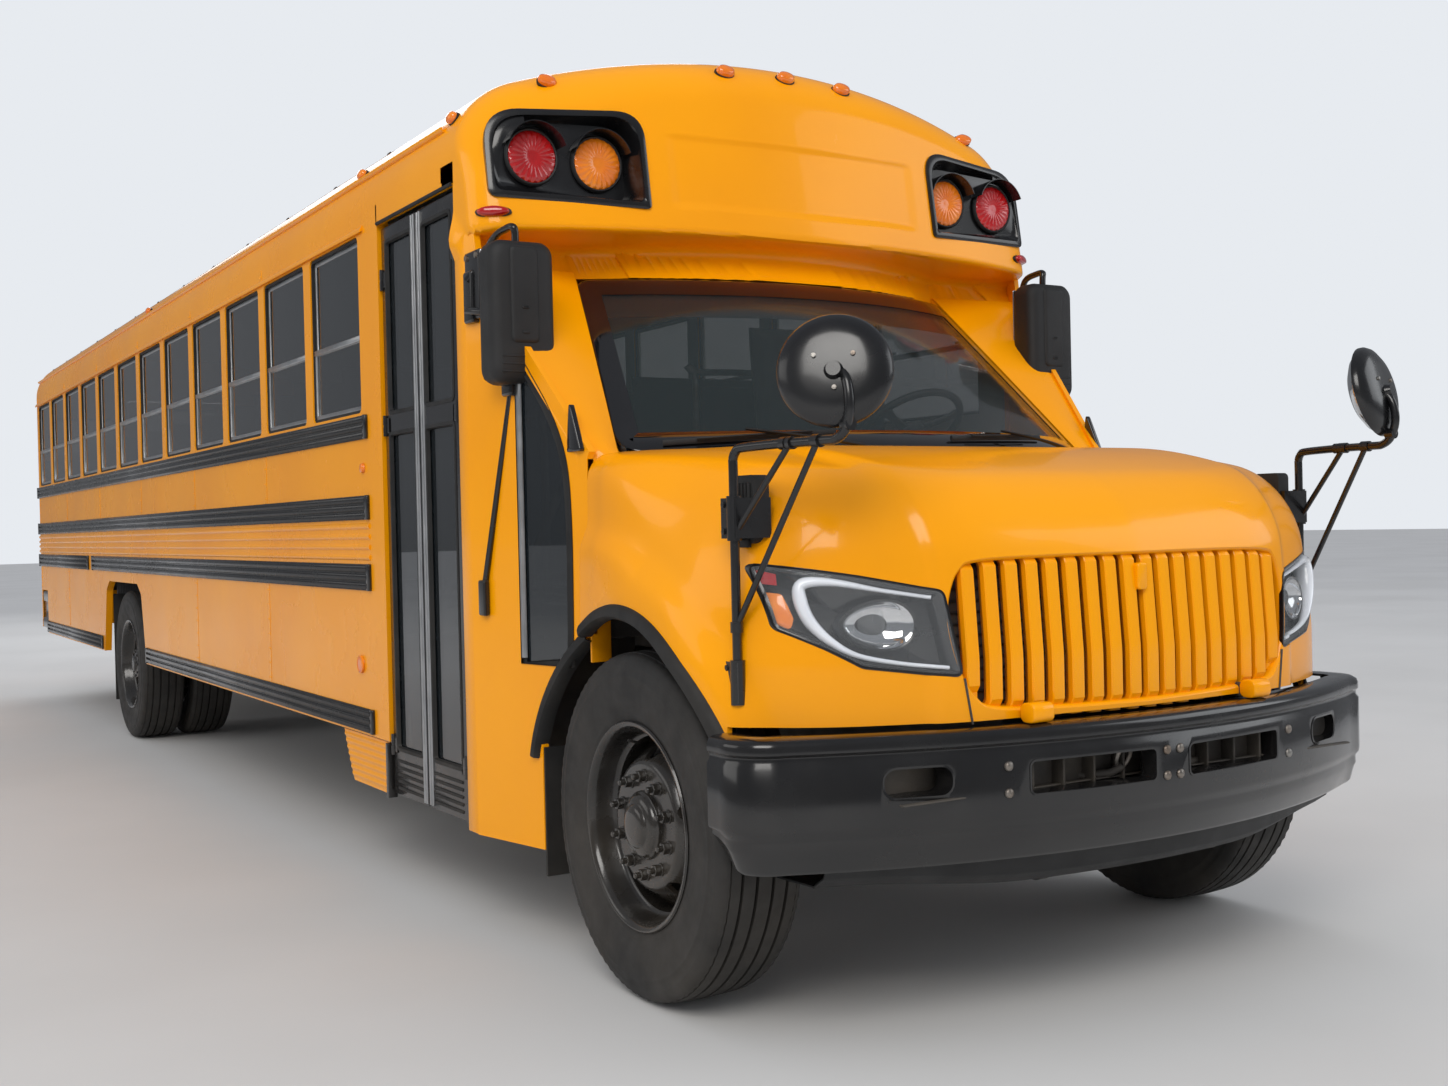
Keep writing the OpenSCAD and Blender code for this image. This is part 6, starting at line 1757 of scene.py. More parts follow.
def stop_arm():
    """Blank octagon with a white border and two lamps, on a hinged bracket."""
    x, cy, cz = HALF_W + 0.020, STOP_Y + 0.285, 1.46
    face = Shape().prism(rounded_corners(octagon(cy, cz, 0.45), 0.012), "x", x + 0.001, x + 0.009)
    face.join(Shape().prism(rounded_corners(octagon(cy, cz, 0.40), 0.010), "x", x - 0.0002, x + 0.0102), 1)
    obj = make("stop_arm_blade", face, [M["white_lens"], M["stop"]], "stop_arm", "stop_red", bevel=0.001)
    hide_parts("stop_arm")
    lamps = Shape()
    for z in (cz + 0.15, cz - 0.15):
        place = (x + 0.009, cy, z)
        lamps.lathe([(0.0, 0.046), (0.002, 0.046), (0.006, 0.040), (0.0085, 0.025), (0.009, 0.0)], place, "x", 36)
        lamps.lathe([(0.0, 0.046), (0.004, 0.047), (0.004, 0.052), (0.0, 0.053)], place, "x", 36, 1)
    make("stop_arm_lamps", lamps, [M["red"], M["plastic"]], "stop_arm", "lamp_red")
    arm = Shape()
    for z in (cz - 0.055, cz + 0.035):
        arm.join(rounded_box((x - 0.002, STOP_Y - 0.004, z), (x + 0.013, STOP_Y + 0.14, z + 0.018), 0.004, 0, 3))
    arm.tube([(x + 0.005, STOP_Y - 0.004, cz - 0.07), (x + 0.005, STOP_Y - 0.004, cz + 0.07)], 0.009, sides=12)
    make("stop_arm_hinge", arm, [M["black"]], "stop_arm", "black_trim")
    base = rounded_box((HALF_W + 0.0145, STOP_Y - 0.10, cz - 0.085), (HALF_W + 0.030, STOP_Y - 0.018, cz + 0.085),
                       0.006, 0, 4)
    make("stop_arm_base", base, [M["black"]], "root", "black_trim")


crossview_mirrors()
side_mirrors()
entrance()
stop_arm()

# ---------------------------------------------------------------- wheels


FRONT_WHEEL_X, REAR_WHEEL_X, INNER_WHEEL_X = 1.015, 1.060, 0.740


def tyre(x, y):
    """Tyre with a moulded sidewall, notched shoulders and four tread grooves."""
    half = [(0.098, 0.287), (0.110, 0.288), (0.119, 0.294), (0.121, 0.306), (0.1255, 0.318), (0.1265, 0.322),
            (0.1262, 0.326), (0.1315, 0.342), (0.1375, 0.372), (0.1393, 0.400), (0.1385, 0.425), (0.1400, 0.430),
            (0.1398, 0.436), (0.1372, 0.440), (0.1345, 0.458), (0.1352, 0.462), (0.1338, 0.466), (0.1300, 0.480),
            (0.1240, 0.490), (0.1165, 0.4955), (0.1075, 0.4985), (0.1065, 0.4985), (0.1058, 0.493), (0.1040, 0.493),
            (0.1034, 0.4992), (0.0760, 0.5016), (0.0748, 0.4900), (0.0672, 0.4900), (0.0660, 0.5020), (0.0305, 0.5036),
            (0.0293, 0.4905), (0.0217, 0.4905), (0.0205, 0.5040), (0.0, 0.5044)]
    line = half + [(-a, r) for a, r in half[::-1][1:]] + [(-0.09, 0.283), (0.09, 0.283)]
    steps = 168
    rows = []
    for k in range(steps):
        t = 2 * math.pi * k / steps
        row = []
        for a, r in line:
            notch = 0.0
            if 0.1058 < abs(a) < 0.131 and r > 0.478 and k % 2:
                notch = 0.0035
            if 0.342 <= r <= 0.372 and k % 3 == 0:
                notch = -0.0006
            row.append((x + a, y + (r - notch) * math.cos(t), HUB_Z + (r - notch) * math.sin(t)))
        rows.append(row)
    return Shape().grid(rows, wrap=True, closed=True)


def hexagon_nut(x, y, z, r, low, high, out):
    """Nut, stud end and washer; out says which way they face."""
    flats = [(y + r * math.cos(k * math.pi / 3), z + r * math.sin(k * math.pi / 3)) for k in range(6)]
    nut = Shape().prism(flats, "x", x + out * low, x + out * high)
    end = [(0, 0.0), (0, 0.55), (0.014, 0.52), (0.017, 0.35), (0.017, 0.0)]
    nut.lathe([(out * (high + d), r * k) for d, k in end], (x, y, z), "x", 12)
    nut.lathe([(out * low, r * 1.15), (out * (low + 0.004), r * 1.15), (out * (low + 0.004), 0.0)], (x, y, z), "x", 20)
    return nut


def rim_line(s):
    """One half of a rim: flange, bead seat and drop."""
    half = [(0.100, 0.2865), (0.112, 0.2875), (0.118, 0.300), (0.124, 0.3035), (0.129, 0.300), (0.128, 0.291),
            (0.120, 0.284), (0.108, 0.280), (0.090, 0.276), (0.060, 0.268), (0.050, 0.262), (0.048, 0.254)]
    return [(s * a, r) for a, r in half]


def rim_section():
    """Outer side of a rim from flange to flange."""
    return rim_line(1) + [(0.02, 0.2535), (-0.02, 0.2535)] + rim_line(-1)[::-1]


def wheel(x, y, disc, hub, face, body, name, slot_node):
    """Steel wheel: rim, pressed disc with hand holes, ten studs, hub; disc runs along +x outwards."""
    full = rim_section()
    back = [(-0.098, 0.2835), (-0.06, 0.280), (0.06, 0.280), (0.098, 0.2835)]
    make(name + "_rim", Shape().lathe(full + back + [full[0]], (x, y, HUB_Z), "x", 120), [M["rim"]], body,
         "wheel_black")
    plate = Shape().lathe(disc, (x, y, HUB_Z), "x", 120)
    obj = make(name + "_disc", plate, [M["rim"]], body, "wheel_black")
    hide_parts(slot_node)
    thicken(obj, 0.010)
    holes = Shape()
    hand_holes, hole_at, hole_r = 5, 0.218, 0.031
    for k in range(hand_holes):
        a = 2 * math.pi * (k + 0.25) / hand_holes
        cy, cz = y + hole_at * math.cos(a), HUB_Z + hole_at * math.sin(a)
        holes.prism([(cy + hole_r * math.cos(t), cz + hole_r * math.sin(t))
                     for t in np.linspace(0, 2 * math.pi, 28, endpoint=False)], "x", x - 0.4, x + 0.4)
    cut(obj, holes, 40)
    centre = Shape().lathe(hub, (x, y, HUB_Z), "x", 72)
    studs, stud_r = 10, 0.1425
    for k in range(studs):
        a = 2 * math.pi * (k + 0.5) / studs
        place = (x, y + stud_r * math.cos(a), HUB_Z + stud_r * math.sin(a))
        centre.join(hexagon_nut(*place, 0.0175, face, face + 0.024, 1))
    valve_a = math.radians(72)
    vy, vz = y + 0.250 * math.cos(valve_a), HUB_Z + 0.250 * math.sin(valve_a)
    bend = (x + 0.07, vy - 0.01 * math.cos(valve_a), vz - 0.01 * math.sin(valve_a))
    centre.tube([(x + 0.03, vy, vz), bend, (x + 0.10, vy, vz)], 0.0045, sides=8)
    make(name + "_hub", centre, [M["rim"]], body, "wheel_black", bevel=0.0012)


def flipped(fn):
    """Runs a builder with every shape mirrored to the curb side."""
    global make
    plain = make

    def make_mirrored(name, shape, *rest, **more):
        return plain(name, shape.mirrored(), *rest, **more)

    make = make_mirrored
    fn()
    make = plain


def front_wheel(side):
    """Front wheel with its domed hub, and its tyre."""
    disc = [(-0.030, 0.2535), (-0.022, 0.2530), (-0.006, 0.250), (0.008, 0.243), (0.030, 0.226), (0.054, 0.208),
            (0.072, 0.196), (0.084, 0.187), (0.089, 0.180), (0.090, 0.172), (0.090, 0.096)]
    hub = [(0.137, 0.0), (0.1368, 0.030), (0.134, 0.050), (0.129, 0.060), (0.122, 0.064), (0.120, 0.072),
           (0.116, 0.084), (0.108, 0.090), (0.104, 0.092), (0.101, 0.098), (0.090, 0.100), (0.080, 0.100),
           (0.02, 0.095), (-0.05, 0.110), (-0.055, 0.19), (-0.060, 0.205), (-0.150, 0.207), (-0.160, 0.200),
           (-0.162, 0.10), (-0.162, 0.0)]
    wheel(FRONT_WHEEL_X, 0.0, disc, hub, 0.090, "wheel_front_" + side, "front_wheel_" + side, "front_wheel_" + side)
    obj = make("tyre_front_" + side, tyre(FRONT_WHEEL_X, 0.0), [M["tyre"]], "wheel_front_" + side, "tyre_rubber")
    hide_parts("front_tyre_" + side)


def rear_wheel(side):
    """Twin rear wheels with their hub, and both tyres."""
    disc = [(0.030, 0.2535), (0.018, 0.2525), (0.0, 0.248), (-0.020, 0.238), (-0.060, 0.216), (-0.100, 0.200),
            (-0.128, 0.192), (-0.138, 0.186), (-0.142, 0.178), (-0.142, 0.118)]
    hub = [(0.108, 0.0), (0.1078, 0.045), (0.104, 0.052), (0.094, 0.056), (0.090, 0.072), (0.088, 0.094),
           (0.078, 0.098), (0.074, 0.092), (0.06, 0.090), (-0.08, 0.104), (-0.10, 0.118), (-0.142, 0.120),
           (-0.20, 0.120), (-0.45, 0.20), (-0.52, 0.20), (-0.53, 0.19), (-0.53, 0.0)]
    wheel(REAR_WHEEL_X, WHEELBASE, disc, hub, -0.142, "wheel_rear_" + side, "rear_wheel_" + side,
          "rear_wheels_" + side)
    bolts = Shape()
    for k in range(8):
        a = 2 * math.pi * k / 8
        bolts.lathe([(0.088, 0.0), (0.088, 0.0095), (0.096, 0.0095), (0.098, 0.006), (0.098, 0.0)],
                    (REAR_WHEEL_X, WHEELBASE + 0.080 * math.cos(a), HUB_Z + 0.080 * math.sin(a)), "x", 6)
    inner, place, full = Shape(), (INNER_WHEEL_X, WHEELBASE, HUB_Z), rim_section()
    inner.lathe(full + [(-0.098, 0.2835), (0.098, 0.2835), full[0]], place, "x", 96)
    inner.lathe([(-0.030, 0.2535), (0.02, 0.246), (0.08, 0.21), (0.12, 0.192), (0.14, 0.18),
                 (0.14, 0.10)], place, "x", 72)
    make("rear_wheel_inner_" + side, inner.join(bolts), [M["rim"]], "wheel_rear_" + side, "wheel_black")
    pair = tyre(REAR_WHEEL_X, WHEELBASE).join(tyre(INNER_WHEEL_X, WHEELBASE))
    obj = make("tyres_rear_" + side, pair, [M["tyre"]], "wheel_rear_" + side, "tyre_rubber")
    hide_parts("rear_tyres_" + side)


front_wheel("left")
rear_wheel("left")
flipped(lambda: front_wheel("right"))
flipped(lambda: rear_wheel("right"))

# ---------------------------------------------------------------- inside the bus


SEAT_IN = HALF_W - WALL_T - 0.003
BENCH_W, CUSHION_Z, BACK_Z = 0.96, 1.49, 2.07
SEAT_FIRST = DOOR_Y[1] + 0.56
SEAT_ROWS = 13
SEAT_PITCH = (REAR_Y - WALL_T - 0.11 - SEAT_FIRST) / (SEAT_ROWS - 1)


def pad(low, high, crown, along, seams=2, steps=13):
    """Padded slab: rounded edges, crowned faces and sewn seams; along is the axis its crown rises on."""
    (x0, y0, z0), (x1, y1, z1) = low, high
    a0, a1, b0, b1, c0, c1 = {"z": (x0, x1, y0, y1, z0, z1), "y": (x0, x1, z0, z1, y0, y1)}[along]
    put = {"z": lambda a, b, c: (a, b, c), "y": lambda a, b, c: (a, c, b)}[along]
    rows = []
    r = min(0.035, (c1 - c0) * 0.45)

    def edge(t):
        return 1 - (1 - min(min(t, 1 - t) / 0.10, 1)) ** 2.2

    for top in (True, False):
        face = []
        for i in range(steps):
            u = i / (steps - 1)
            row = []
            for j in range(steps * 2 - 1):
                v = j / (steps * 2 - 2)
                rise = math.sqrt(max(edge(u) * edge(v), 0))
                within = 0 < u < 1 and 0 < v < 1
                dome = crown * math.sin(math.pi * u) ** 0.6 * math.sin(math.pi * v) ** 0.4 if within else 0
                seam = 0.0
                for k in range(1, seams + 1):
                    seam -= 0.006 * math.exp(-((v - k / (seams + 1)) / 0.012) ** 2)
                c = (c1 - r + r * rise + dome - crown + seam) if top else (c0 + r - r * rise)
                row.append(put(a0 + (a1 - a0) * v, b0 + (b1 - b0) * u, c))
            face.append(row)
        rows.append(face)
    shape = Shape()
    upper, lower = rows
    shape.grid(upper).grid(lower)

    def rim(face):
        return face[0] + [r_[-1] for r_ in face[1:]] + face[-1][::-1][1:] + [r_[0] for r_ in face[::-1][1:-1]]

    return shape.grid([rim(upper), rim(lower)], wrap=True)


def benches():
    """Thirteen rows of high-backed benches each side, cushions and backs crowned and sewn."""
    cushions, backs, frames = Shape(), Shape(), Shape()
    x0, x1 = SEAT_IN - BENCH_W, SEAT_IN
    for i in range(SEAT_ROWS):
        y = SEAT_FIRST + i * SEAT_PITCH
        cushions.join(pad((x0, y - 0.38, CUSHION_Z - 0.12), (x1, y - 0.005, CUSHION_Z), 0.014, "z", 1, 11))
        back = pad((x0, 0.0, CUSHION_Z - 0.06), (x1, 0.078, BACK_Z), 0.010, "y", 1, 11)
        backs.join(back.moved(lambda px, py, pz: (px, py + y + 0.004 + 0.055 * (pz - CUSHION_Z) / 0.58 - 0.03, pz)))
        rail = [(x0 + 0.02, y - 0.36, CUSHION_Z - 0.128), (x0 + 0.02, y, CUSHION_Z - 0.128),
                (x0 + 0.03, y + 0.045, CUSHION_Z - 0.07)]
        frames.tube(rail, 0.012, sides=8)
        for dy in (-0.31, -0.03):
            frames.tube([(x0 + 0.11, y + dy, FLOOR_Z + 0.004), (x0 + 0.11, y + dy, CUSHION_Z - 0.118)], 0.014, sides=8)
            frames.join(rounded_box((x0 + 0.07, y + dy - 0.03, FLOOR_Z + 0.001),
                                    (x0 + 0.15, y + dy + 0.03, FLOOR_Z + 0.006), 0.0022, 0, 3))
        frames.tube([(x0 + 0.02, y - 0.34, CUSHION_Z - 0.128),
                     (x1 - 0.01, y - 0.34, CUSHION_Z - 0.128)], 0.012, sides=8)
        frames.tube([(x0 + 0.11, y - 0.30, FLOOR_Z + 0.14), (x0 + 0.11, y - 0.04, FLOOR_Z + 0.14)], 0.009, sides=6)
    seat = make("bench_cushions", cushions.both(), [M["vinyl"]], slot="seat_vinyl")
    back = make("bench_backs", backs.both(), [M["vinyl"]], slot="seat_vinyl")
    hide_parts("passenger_seats")
    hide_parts("passenger_seats")
    make("bench_frames", frames.both(), [M["chassis"]], slot="steel_grey")


def driver_place():
    """Driver's seat on its folded boot, and the guards behind it and beside the steps."""
    x, y, z = DRIVER_X, 1.33, FLOOR_Z + 0.40
    cushion = pad((x - 0.24, y - 0.25, z), (x + 0.24, y + 0.23, z + 0.115), 0.020, "z", 2, 15)
    back = pad((x - 0.235, 0.0, z + 0.08), (x + 0.235, 0.105, z + 0.74), 0.018, "y", 2, 15)
    back = back.moved(lambda px, py, pz: (px, py + y + 0.185 + 0.09 * (pz - z) / 0.7 - 0.03, pz))
    seat = make("driver_cushion", cushion, [M["fabric"]], slot="seat_fabric")
    rest = make("driver_back", back, [M["fabric"]], slot="seat_fabric")
    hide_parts("driver_seat")
    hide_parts("driver_seat")
    base = Shape()
    base.join(rounded_box((x - 0.20, y - 0.20, FLOOR_Z + 0.003), (x + 0.20, y + 0.20, FLOOR_Z + 0.03), 0.008))
    base.join(rounded_box((x - 0.22, y - 0.22, z - 0.035), (x + 0.22, y + 0.21, z - 0.002), 0.010))
    for k in range(7):
        zz = FLOOR_Z + 0.04 + k * 0.045
        fold = 0.012 * (k % 2)
        base.join(rounded_box((x - 0.17 - fold, y - 0.17 - fold, zz),
                              (x + 0.17 + fold, y + 0.17 + fold, zz + 0.040), 0.012))
    make("driver_seat_base", base, [M["plastic"]], slot="black_plastic")
    guard_rail("driver_guard", y + 0.44, (x - 0.42, x - 0.42, x - 0.38, x + 0.56), x - 0.40, x + 0.58)
    guard_rail("entry_guard", DOOR_Y[1] + 0.11, (-0.36, -0.36, -0.40, -1.14), -1.15, -0.38)


def guard_rail(name, y, xs, x0, x1):
    """Bent rail with a padded panel hung from it, across the bus."""
    path = [(x, y, FLOOR_Z + up) for x, up in zip(xs, (0.01, 0.9, 0.96, 0.96))]
    guard = Shape().tube(smooth_path(path, 5), 0.014, sides=10)
    guard.join(rounded_box((x0, y - 0.008, FLOOR_Z + 0.12), (x1, y + 0.008, FLOOR_Z + 0.90), 0.006), 1)
    make(name, guard, [M["steel"], M["vinyl"]], slot="steel_grey")


def dash():
    """Wrap-round dashboard with a hooded cluster, dials, switches and vents."""
    top = SCREEN_Z - 0.07
    rows = []
    for x in np.linspace(-1.035, 1.035, 70):
        near = 0.64 + 0.065 * smooth_step((0.36 - abs(x - DRIVER_X)) / 0.12)
        near += 0.05 * smooth_step((abs(x) - 0.85) / 0.15)
        rise = 0.028 * smooth_step((0.33 - abs(x - DRIVER_X)) / 0.08)
        rows.append([(x, 0.405, top - 0.24), (x, 0.402, top - 0.035), (x, 0.43, top - 0.020),
                     (x, near - 0.08, top - 0.012 + rise), (x, near - 0.025, top - 0.018 + rise),
                     (x, near, top - 0.038 + rise), (x, near - 0.012, top - 0.055 + rise),
                     (x, near - 0.045, top - 0.065), (x, near - 0.075, top - 0.20), (x, near - 0.060, top - 0.215),
                     (x, near - 0.16, FLOOR_Z + 0.262), (x, 0.41, FLOOR_Z + 0.262)])
    obj = make("dash_body", Shape().grid(rows, wrap=True), [M["dash"]], slot="dash_plastic")
    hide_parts("dashboard")
    dials, vents = Shape(), Shape()
    for x, r in ((0.40, 0.038), (0.485, 0.052), (0.60, 0.052), (0.69, 0.038), (0.745, 0.028)):
        z = top - 0.125
        bowl = [(0.0, 0.0), (0.0, 0.9), (0.005, 0.92), (0.012, 1), (0.012, 1.08), (0.0, 1.12)]
        ring = Shape().lathe([(d, r * k) for d, k in bowl], ORIGIN, "y", 32)
        needle = Shape().tube([(0.0, 0.004, 0.0), (-r * 0.55, 0.004, r * 0.45)], 0.0018, 1, sides=4)
        marks = Shape()
        for a in np.radians(np.linspace(-40, 220, 11)):
            marks.tube([(r * k * math.cos(a), 0.003, r * k * math.sin(a)) for k in (0.72, 0.86)], 0.0012, 1, sides=4)
        both = turned(ring.join(needle).join(marks), ORIGIN, "X", math.radians(-12))
        dials.join(both.moved(lambda px, py, pz: (px + x, py + 0.648, pz + z)))
    for x0, x1 in ((-0.95, -0.75), (-0.55, -0.35), (0.05, 0.22), (0.86, 0.98)):
        for k in range(5):
            drop = k * 0.015
            vents.join(rounded_box((x0, 0.575, top - 0.10 - drop), (x1, 0.605, top - 0.094 - drop), 0.002, 0, 3))
    for i in range(8):
        xs = -0.20 + i * 0.030
        vents.join(rounded_box((xs, 0.575, top - 0.135), (xs + 0.022, 0.600, top - 0.095), 0.004, 0, 3))
    make("dash_dials", dials, [M["plastic"], M["white_lens"]], slot="black_plastic")
    make("dash_vents", vents, [M["plastic"]], slot="black_plastic")
    pedals = Shape()
    for x0, w, h in ((0.50, 0.07, 0.06), (0.66, 0.05, 0.13)):
        pedals.join(rounded_box((x0, 0.60, FLOOR_Z + 0.12), (x0 + w, 0.612, FLOOR_Z + 0.12 + h), 0.005))
        pedals.tube([(x0 + w / 2, 0.60, FLOOR_Z + 0.15), (x0 + w / 2, 0.50, FLOOR_Z + 0.30)], 0.008, sides=8)
    make("pedals", pedals, [M["chassis"]], slot="black_plastic")


def steering_wheel():
    """Rim with grips behind, three spokes and a padded hub, on a column with two levers."""
    centre, tilt, rim_r = (DRIVER_X, 0.85, FLOOR_Z + 0.66), -math.radians(38), 0.215
    wheel_rim = Shape()
    ring = [(rim_r * math.cos(a), rim_r * math.sin(a), 0) for a in np.linspace(0, 2 * math.pi, 72, endpoint=False)]
    wheel_rim.tube(ring, 0.0148, sides=14, closed=True)
    for k in range(24):
        a = 2 * math.pi * k / 24
        wheel_rim.tube([(rim_r * math.cos(a + d), rim_r * math.sin(a + d), -0.012) for d in (-0.05, 0, 0.05)], 0.0055,
                       sides=6)
    for a in np.radians((90, 210, 330)):
        rows = []
        for t in np.linspace(0, 1, 8):
            r, w = 0.035 + (0.203 - 0.035) * t, 0.030 - 0.014 * math.sin(math.pi * t) ** 0.7
            c, s, z = math.cos(a), math.sin(a), -0.012 * (1 - t) - 0.001
            rows.append([(r * c - w * s * u, r * s + w * c * u, z + h)
                         for u, h in ((-1, 0), (-0.8, 0.006), (0.8, 0.006), (1, 0), (0.8, -0.006), (-0.8, -0.006))])
        wheel_rim.grid(rows, 1, wrap=True)
    hub = [(0.012, 0.0), (0.011, 0.030), (0.006, 0.046), (-0.004, 0.056), (-0.026, 0.057), (-0.034, 0.045),
           (-0.040, 0.026), (-0.108, 0.0255), (-0.11, 0.0)]
    wheel_rim.lathe(hub, ORIGIN, "z", 40, 1)
    placed = turned(wheel_rim, ORIGIN, "X", tilt).moved(lambda x, y, z: (x + centre[0], y + centre[1], z + centre[2]))
    obj = make("steering_wheel_rim", placed, [M["plastic"], M["dash"]], "steering_wheel", "black_plastic")
    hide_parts("steering_wheel")
    down = Matrix.Rotation(tilt, 3, "X") @ Vector((0, 0, -1))
    c = Vector(centre)
    column = Shape().tube([c + down * 0.118, c + down * 0.20, c + down * 0.42], [0.030, 0.040, 0.046], sides=20)
    for lever in (((0.03, 0), (0.11, 0.01), (0.16, 0.015)), ((-0.03, 0), (-0.10, 0.01), (-0.15, 0.015))):
        column.tube([c + down * along + Vector((x, 0, up)) for along, (x, up) in zip((0.15, 0.14, 0.13), lever)],
                    0.006, sides=8)
    make("steering_column", column, [M["plastic"]], slot="black_plastic")


def floor_and_walls():
    """Ribbed aisle mat, bright joint strips, wall lining below the windows, and coved edges."""
    w, y0, y1 = SEAT_IN - BENCH_W - 0.03, DOOR_Y[1] + 0.15, REAR_Y - WALL_T - 0.01
    ribs = [(x, FLOOR_Z + 0.003 + (0.0022 if k % 2 else 0.0)) for k, x in enumerate(np.linspace(-w, w, 61))]
    aisle = Shape().grid([[(x, y, z) for x, z in ribs] for y in (y0, y1)])
    make("aisle_mat", aisle, [M["floor"]], slot="floor_rubber", flat=True)
    strips = Shape()
    for x in (-w, w):
        strips.join(rounded_box((x - 0.014, y0, FLOOR_Z + 0.001), (x + 0.014, y1, FLOOR_Z + 0.008), 0.003, 0, 3))
    make("aisle_strips", strips, [M["alu"]], slot="aluminium")
    lining = Shape()
    for s in (-1, 1):
        y0 = DOOR_Y[1] + 0.05 if s < 0 else DOOR_Y[0] + 0.05
        rows = []
        for z in np.linspace(FLOOR_Z + 0.01, SILL_Z - 0.03, 20):
            rows.append([(s * (HALF_W - WALL_T - 0.0015), y, z)
                         for y in (y0, WHEELBASE - 0.56, REAR_Y - WALL_T - 0.002)])
        lining.grid(rows)
    make("wall_lining", lining, [M["lining"]], slot="steel_grey")
    rail = Shape()
    for s in (-1, 1):
        y0 = DOOR_Y[1] + 0.12 if s < 0 else DOOR_Y[0] + 0.9
        x, y1 = s * (HALF_W - WALL_T), REAR_Y - WALL_T - 0.004
        rail.join(rounded_box((x - 0.02, y0, SILL_Z - 0.035), (x + 0.002, y1, SILL_Z - 0.008), 0.006, 0, 3))
        rail.join(rounded_box((x - 0.03, y0, FLOOR_Z + 0.002), (x + 0.002, y1, FLOOR_Z + 0.06), 0.012, 0, 4))
    make("sill_rails", rail, [M["alu"]], slot="aluminium")
    mirror = Shape()
    mirror.join(rounded_box((-0.16, 1.10, 2.30), (0.16, 1.125, 2.42), 0.010))
    mirror.tube([(0, 1.11, 2.42), (0, 1.12, 2.52)], 0.008, sides=8)
    make("inside_mirror", mirror, [M["plastic"]], slot="black_plastic")


benches()
driver_place()
dash()
steering_wheel()
floor_and_walls()

# ---------------------------------------------------------------- rear


DOOR_W, REAR_DOOR_Z = 0.45, (1.03, 2.63)


def light_seals(seals, line, faces, lip):
    """Rubber seal on both faces of a light: its profile is (out, inset) from each face towards the glass."""
    bead = ((-0.003, -0.012), (0.004, -0.010), (0.006, 0.0), (0.004, 0.010), lip)
    for y, d in zip(faces, (1, -1)):
        seals.grid([[(x, y + d * out, z) for x, z in inset_line(line, t)] for out, t in bead], wrap=True)


def rear_wall():
    """Back of the body: rounded into the sides and roof, with door opening, windows and pressed ribs."""
    line = wall_shape(SKIRT_Z + 0.04)
    edge = ((0.0, 0.05), (0.004, 0.025), (0.012, 0.008), (0.026, 0.001), (0.05, 0))
    rows = [[(x, REAR_Y - deep, z) for x, z in inset_line(line, inset)] for inset, deep in edge]
    shape = capped(rows).add(rows[0], [tuple(range(len(line)))[::-1]])
    wall = make("rear_body", shape, [M["yellow"]], slot="body_yellow")
    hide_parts("rear_wall")
    through = ("y", REAR_Y - 0.2, REAR_Y + 0.1)
    cut(wall, Shape().prism(rounded(-DOOR_W, REAR_DOOR_Z[0], DOOR_W, REAR_DOOR_Z[1], 0.03), *through), 40)
    tool, seals, panes = Shape(), Shape(), Shape()
    for s in (-1, 1):
        line = rounded(s * 0.56, SILL_Z, s * 1.11, HEADER_Z - 0.10, 0.05)
        tool.prism(line, *through)
        light_seals(seals, line, (REAR_Y, REAR_Y - 0.05), (-0.012, 0.014))
        panes.prism(inset_line(line, 0.008), "y", REAR_Y - 0.024, REAR_Y - 0.018)
    cut(wall, tool, 40)
    make("rear_light_seals", seals, [M["rubber"]], slot="rubber")
    make("rear_light_panes", panes, [M["tint"]], slot="glass_tinted")
    ribs = Shape()
    for s in (-1, 1):
        for z0, z1 in ((1.740, 1.834), (1.419, 1.515)):
            ribs.grid([[(s * x, REAR_Y + d, z) for d, z in rail_section(z0, z1)]
                       for x in np.linspace(DOOR_W + 0.03, HALF_W - 0.012, 10)])
    make("rear_rub_rails", ribs, [M["black"]], slot="black_trim")
    plate = rounded_box((0.64, REAR_Y - 0.002, 1.275), (1.00, REAR_Y + 0.006, 1.455 - 0.045), 0.004)
    hold = Shape()
    for s in (-1, 1):
        hold.lathe([(0.004, 0.0), (0.004, 0.010), (0.010, 0.009), (0.012, 0.0)],
                   (0.82 + s * 0.089, REAR_Y, 1.36), "y", 14)
    make("plate_holder", plate, [M["black"]], slot="black_trim")
    make("plate_screws", hold, [M["steel"]], slot="steel_grey")


def wall_shape(low):
    """Section of the body as one closed outline from low up."""
    half = [p for p in section(0.0) if p[1] >= low]
    half = sorted(set((round(abs(x), 5), round(z, 5)) for x, z in half), key=lambda p: (p[1], -p[0]))
    ring = [(HALF_W, low)] + [p for p in half if p[1] > low + 0.002]
    return ring + [(-x, z) for x, z in ring[::-1] if x > 0.001]


def rail_section(z0, z1):
    """Three rounded ridges, as (out, z)."""
    out, n, deep = [], 3, RAIL_DEEP
    h = (z1 - z0) / n
    for k in range(n):
        a = z0 + k * h
        out += [(-0.002, a + 0.001), (deep * 0.8, a + 0.004), (deep, a + h * 0.3), (deep, a + h * 0.7),
                (deep * 0.8, a + h - 0.004), (0.001, a + h - 0.001)]
    return out


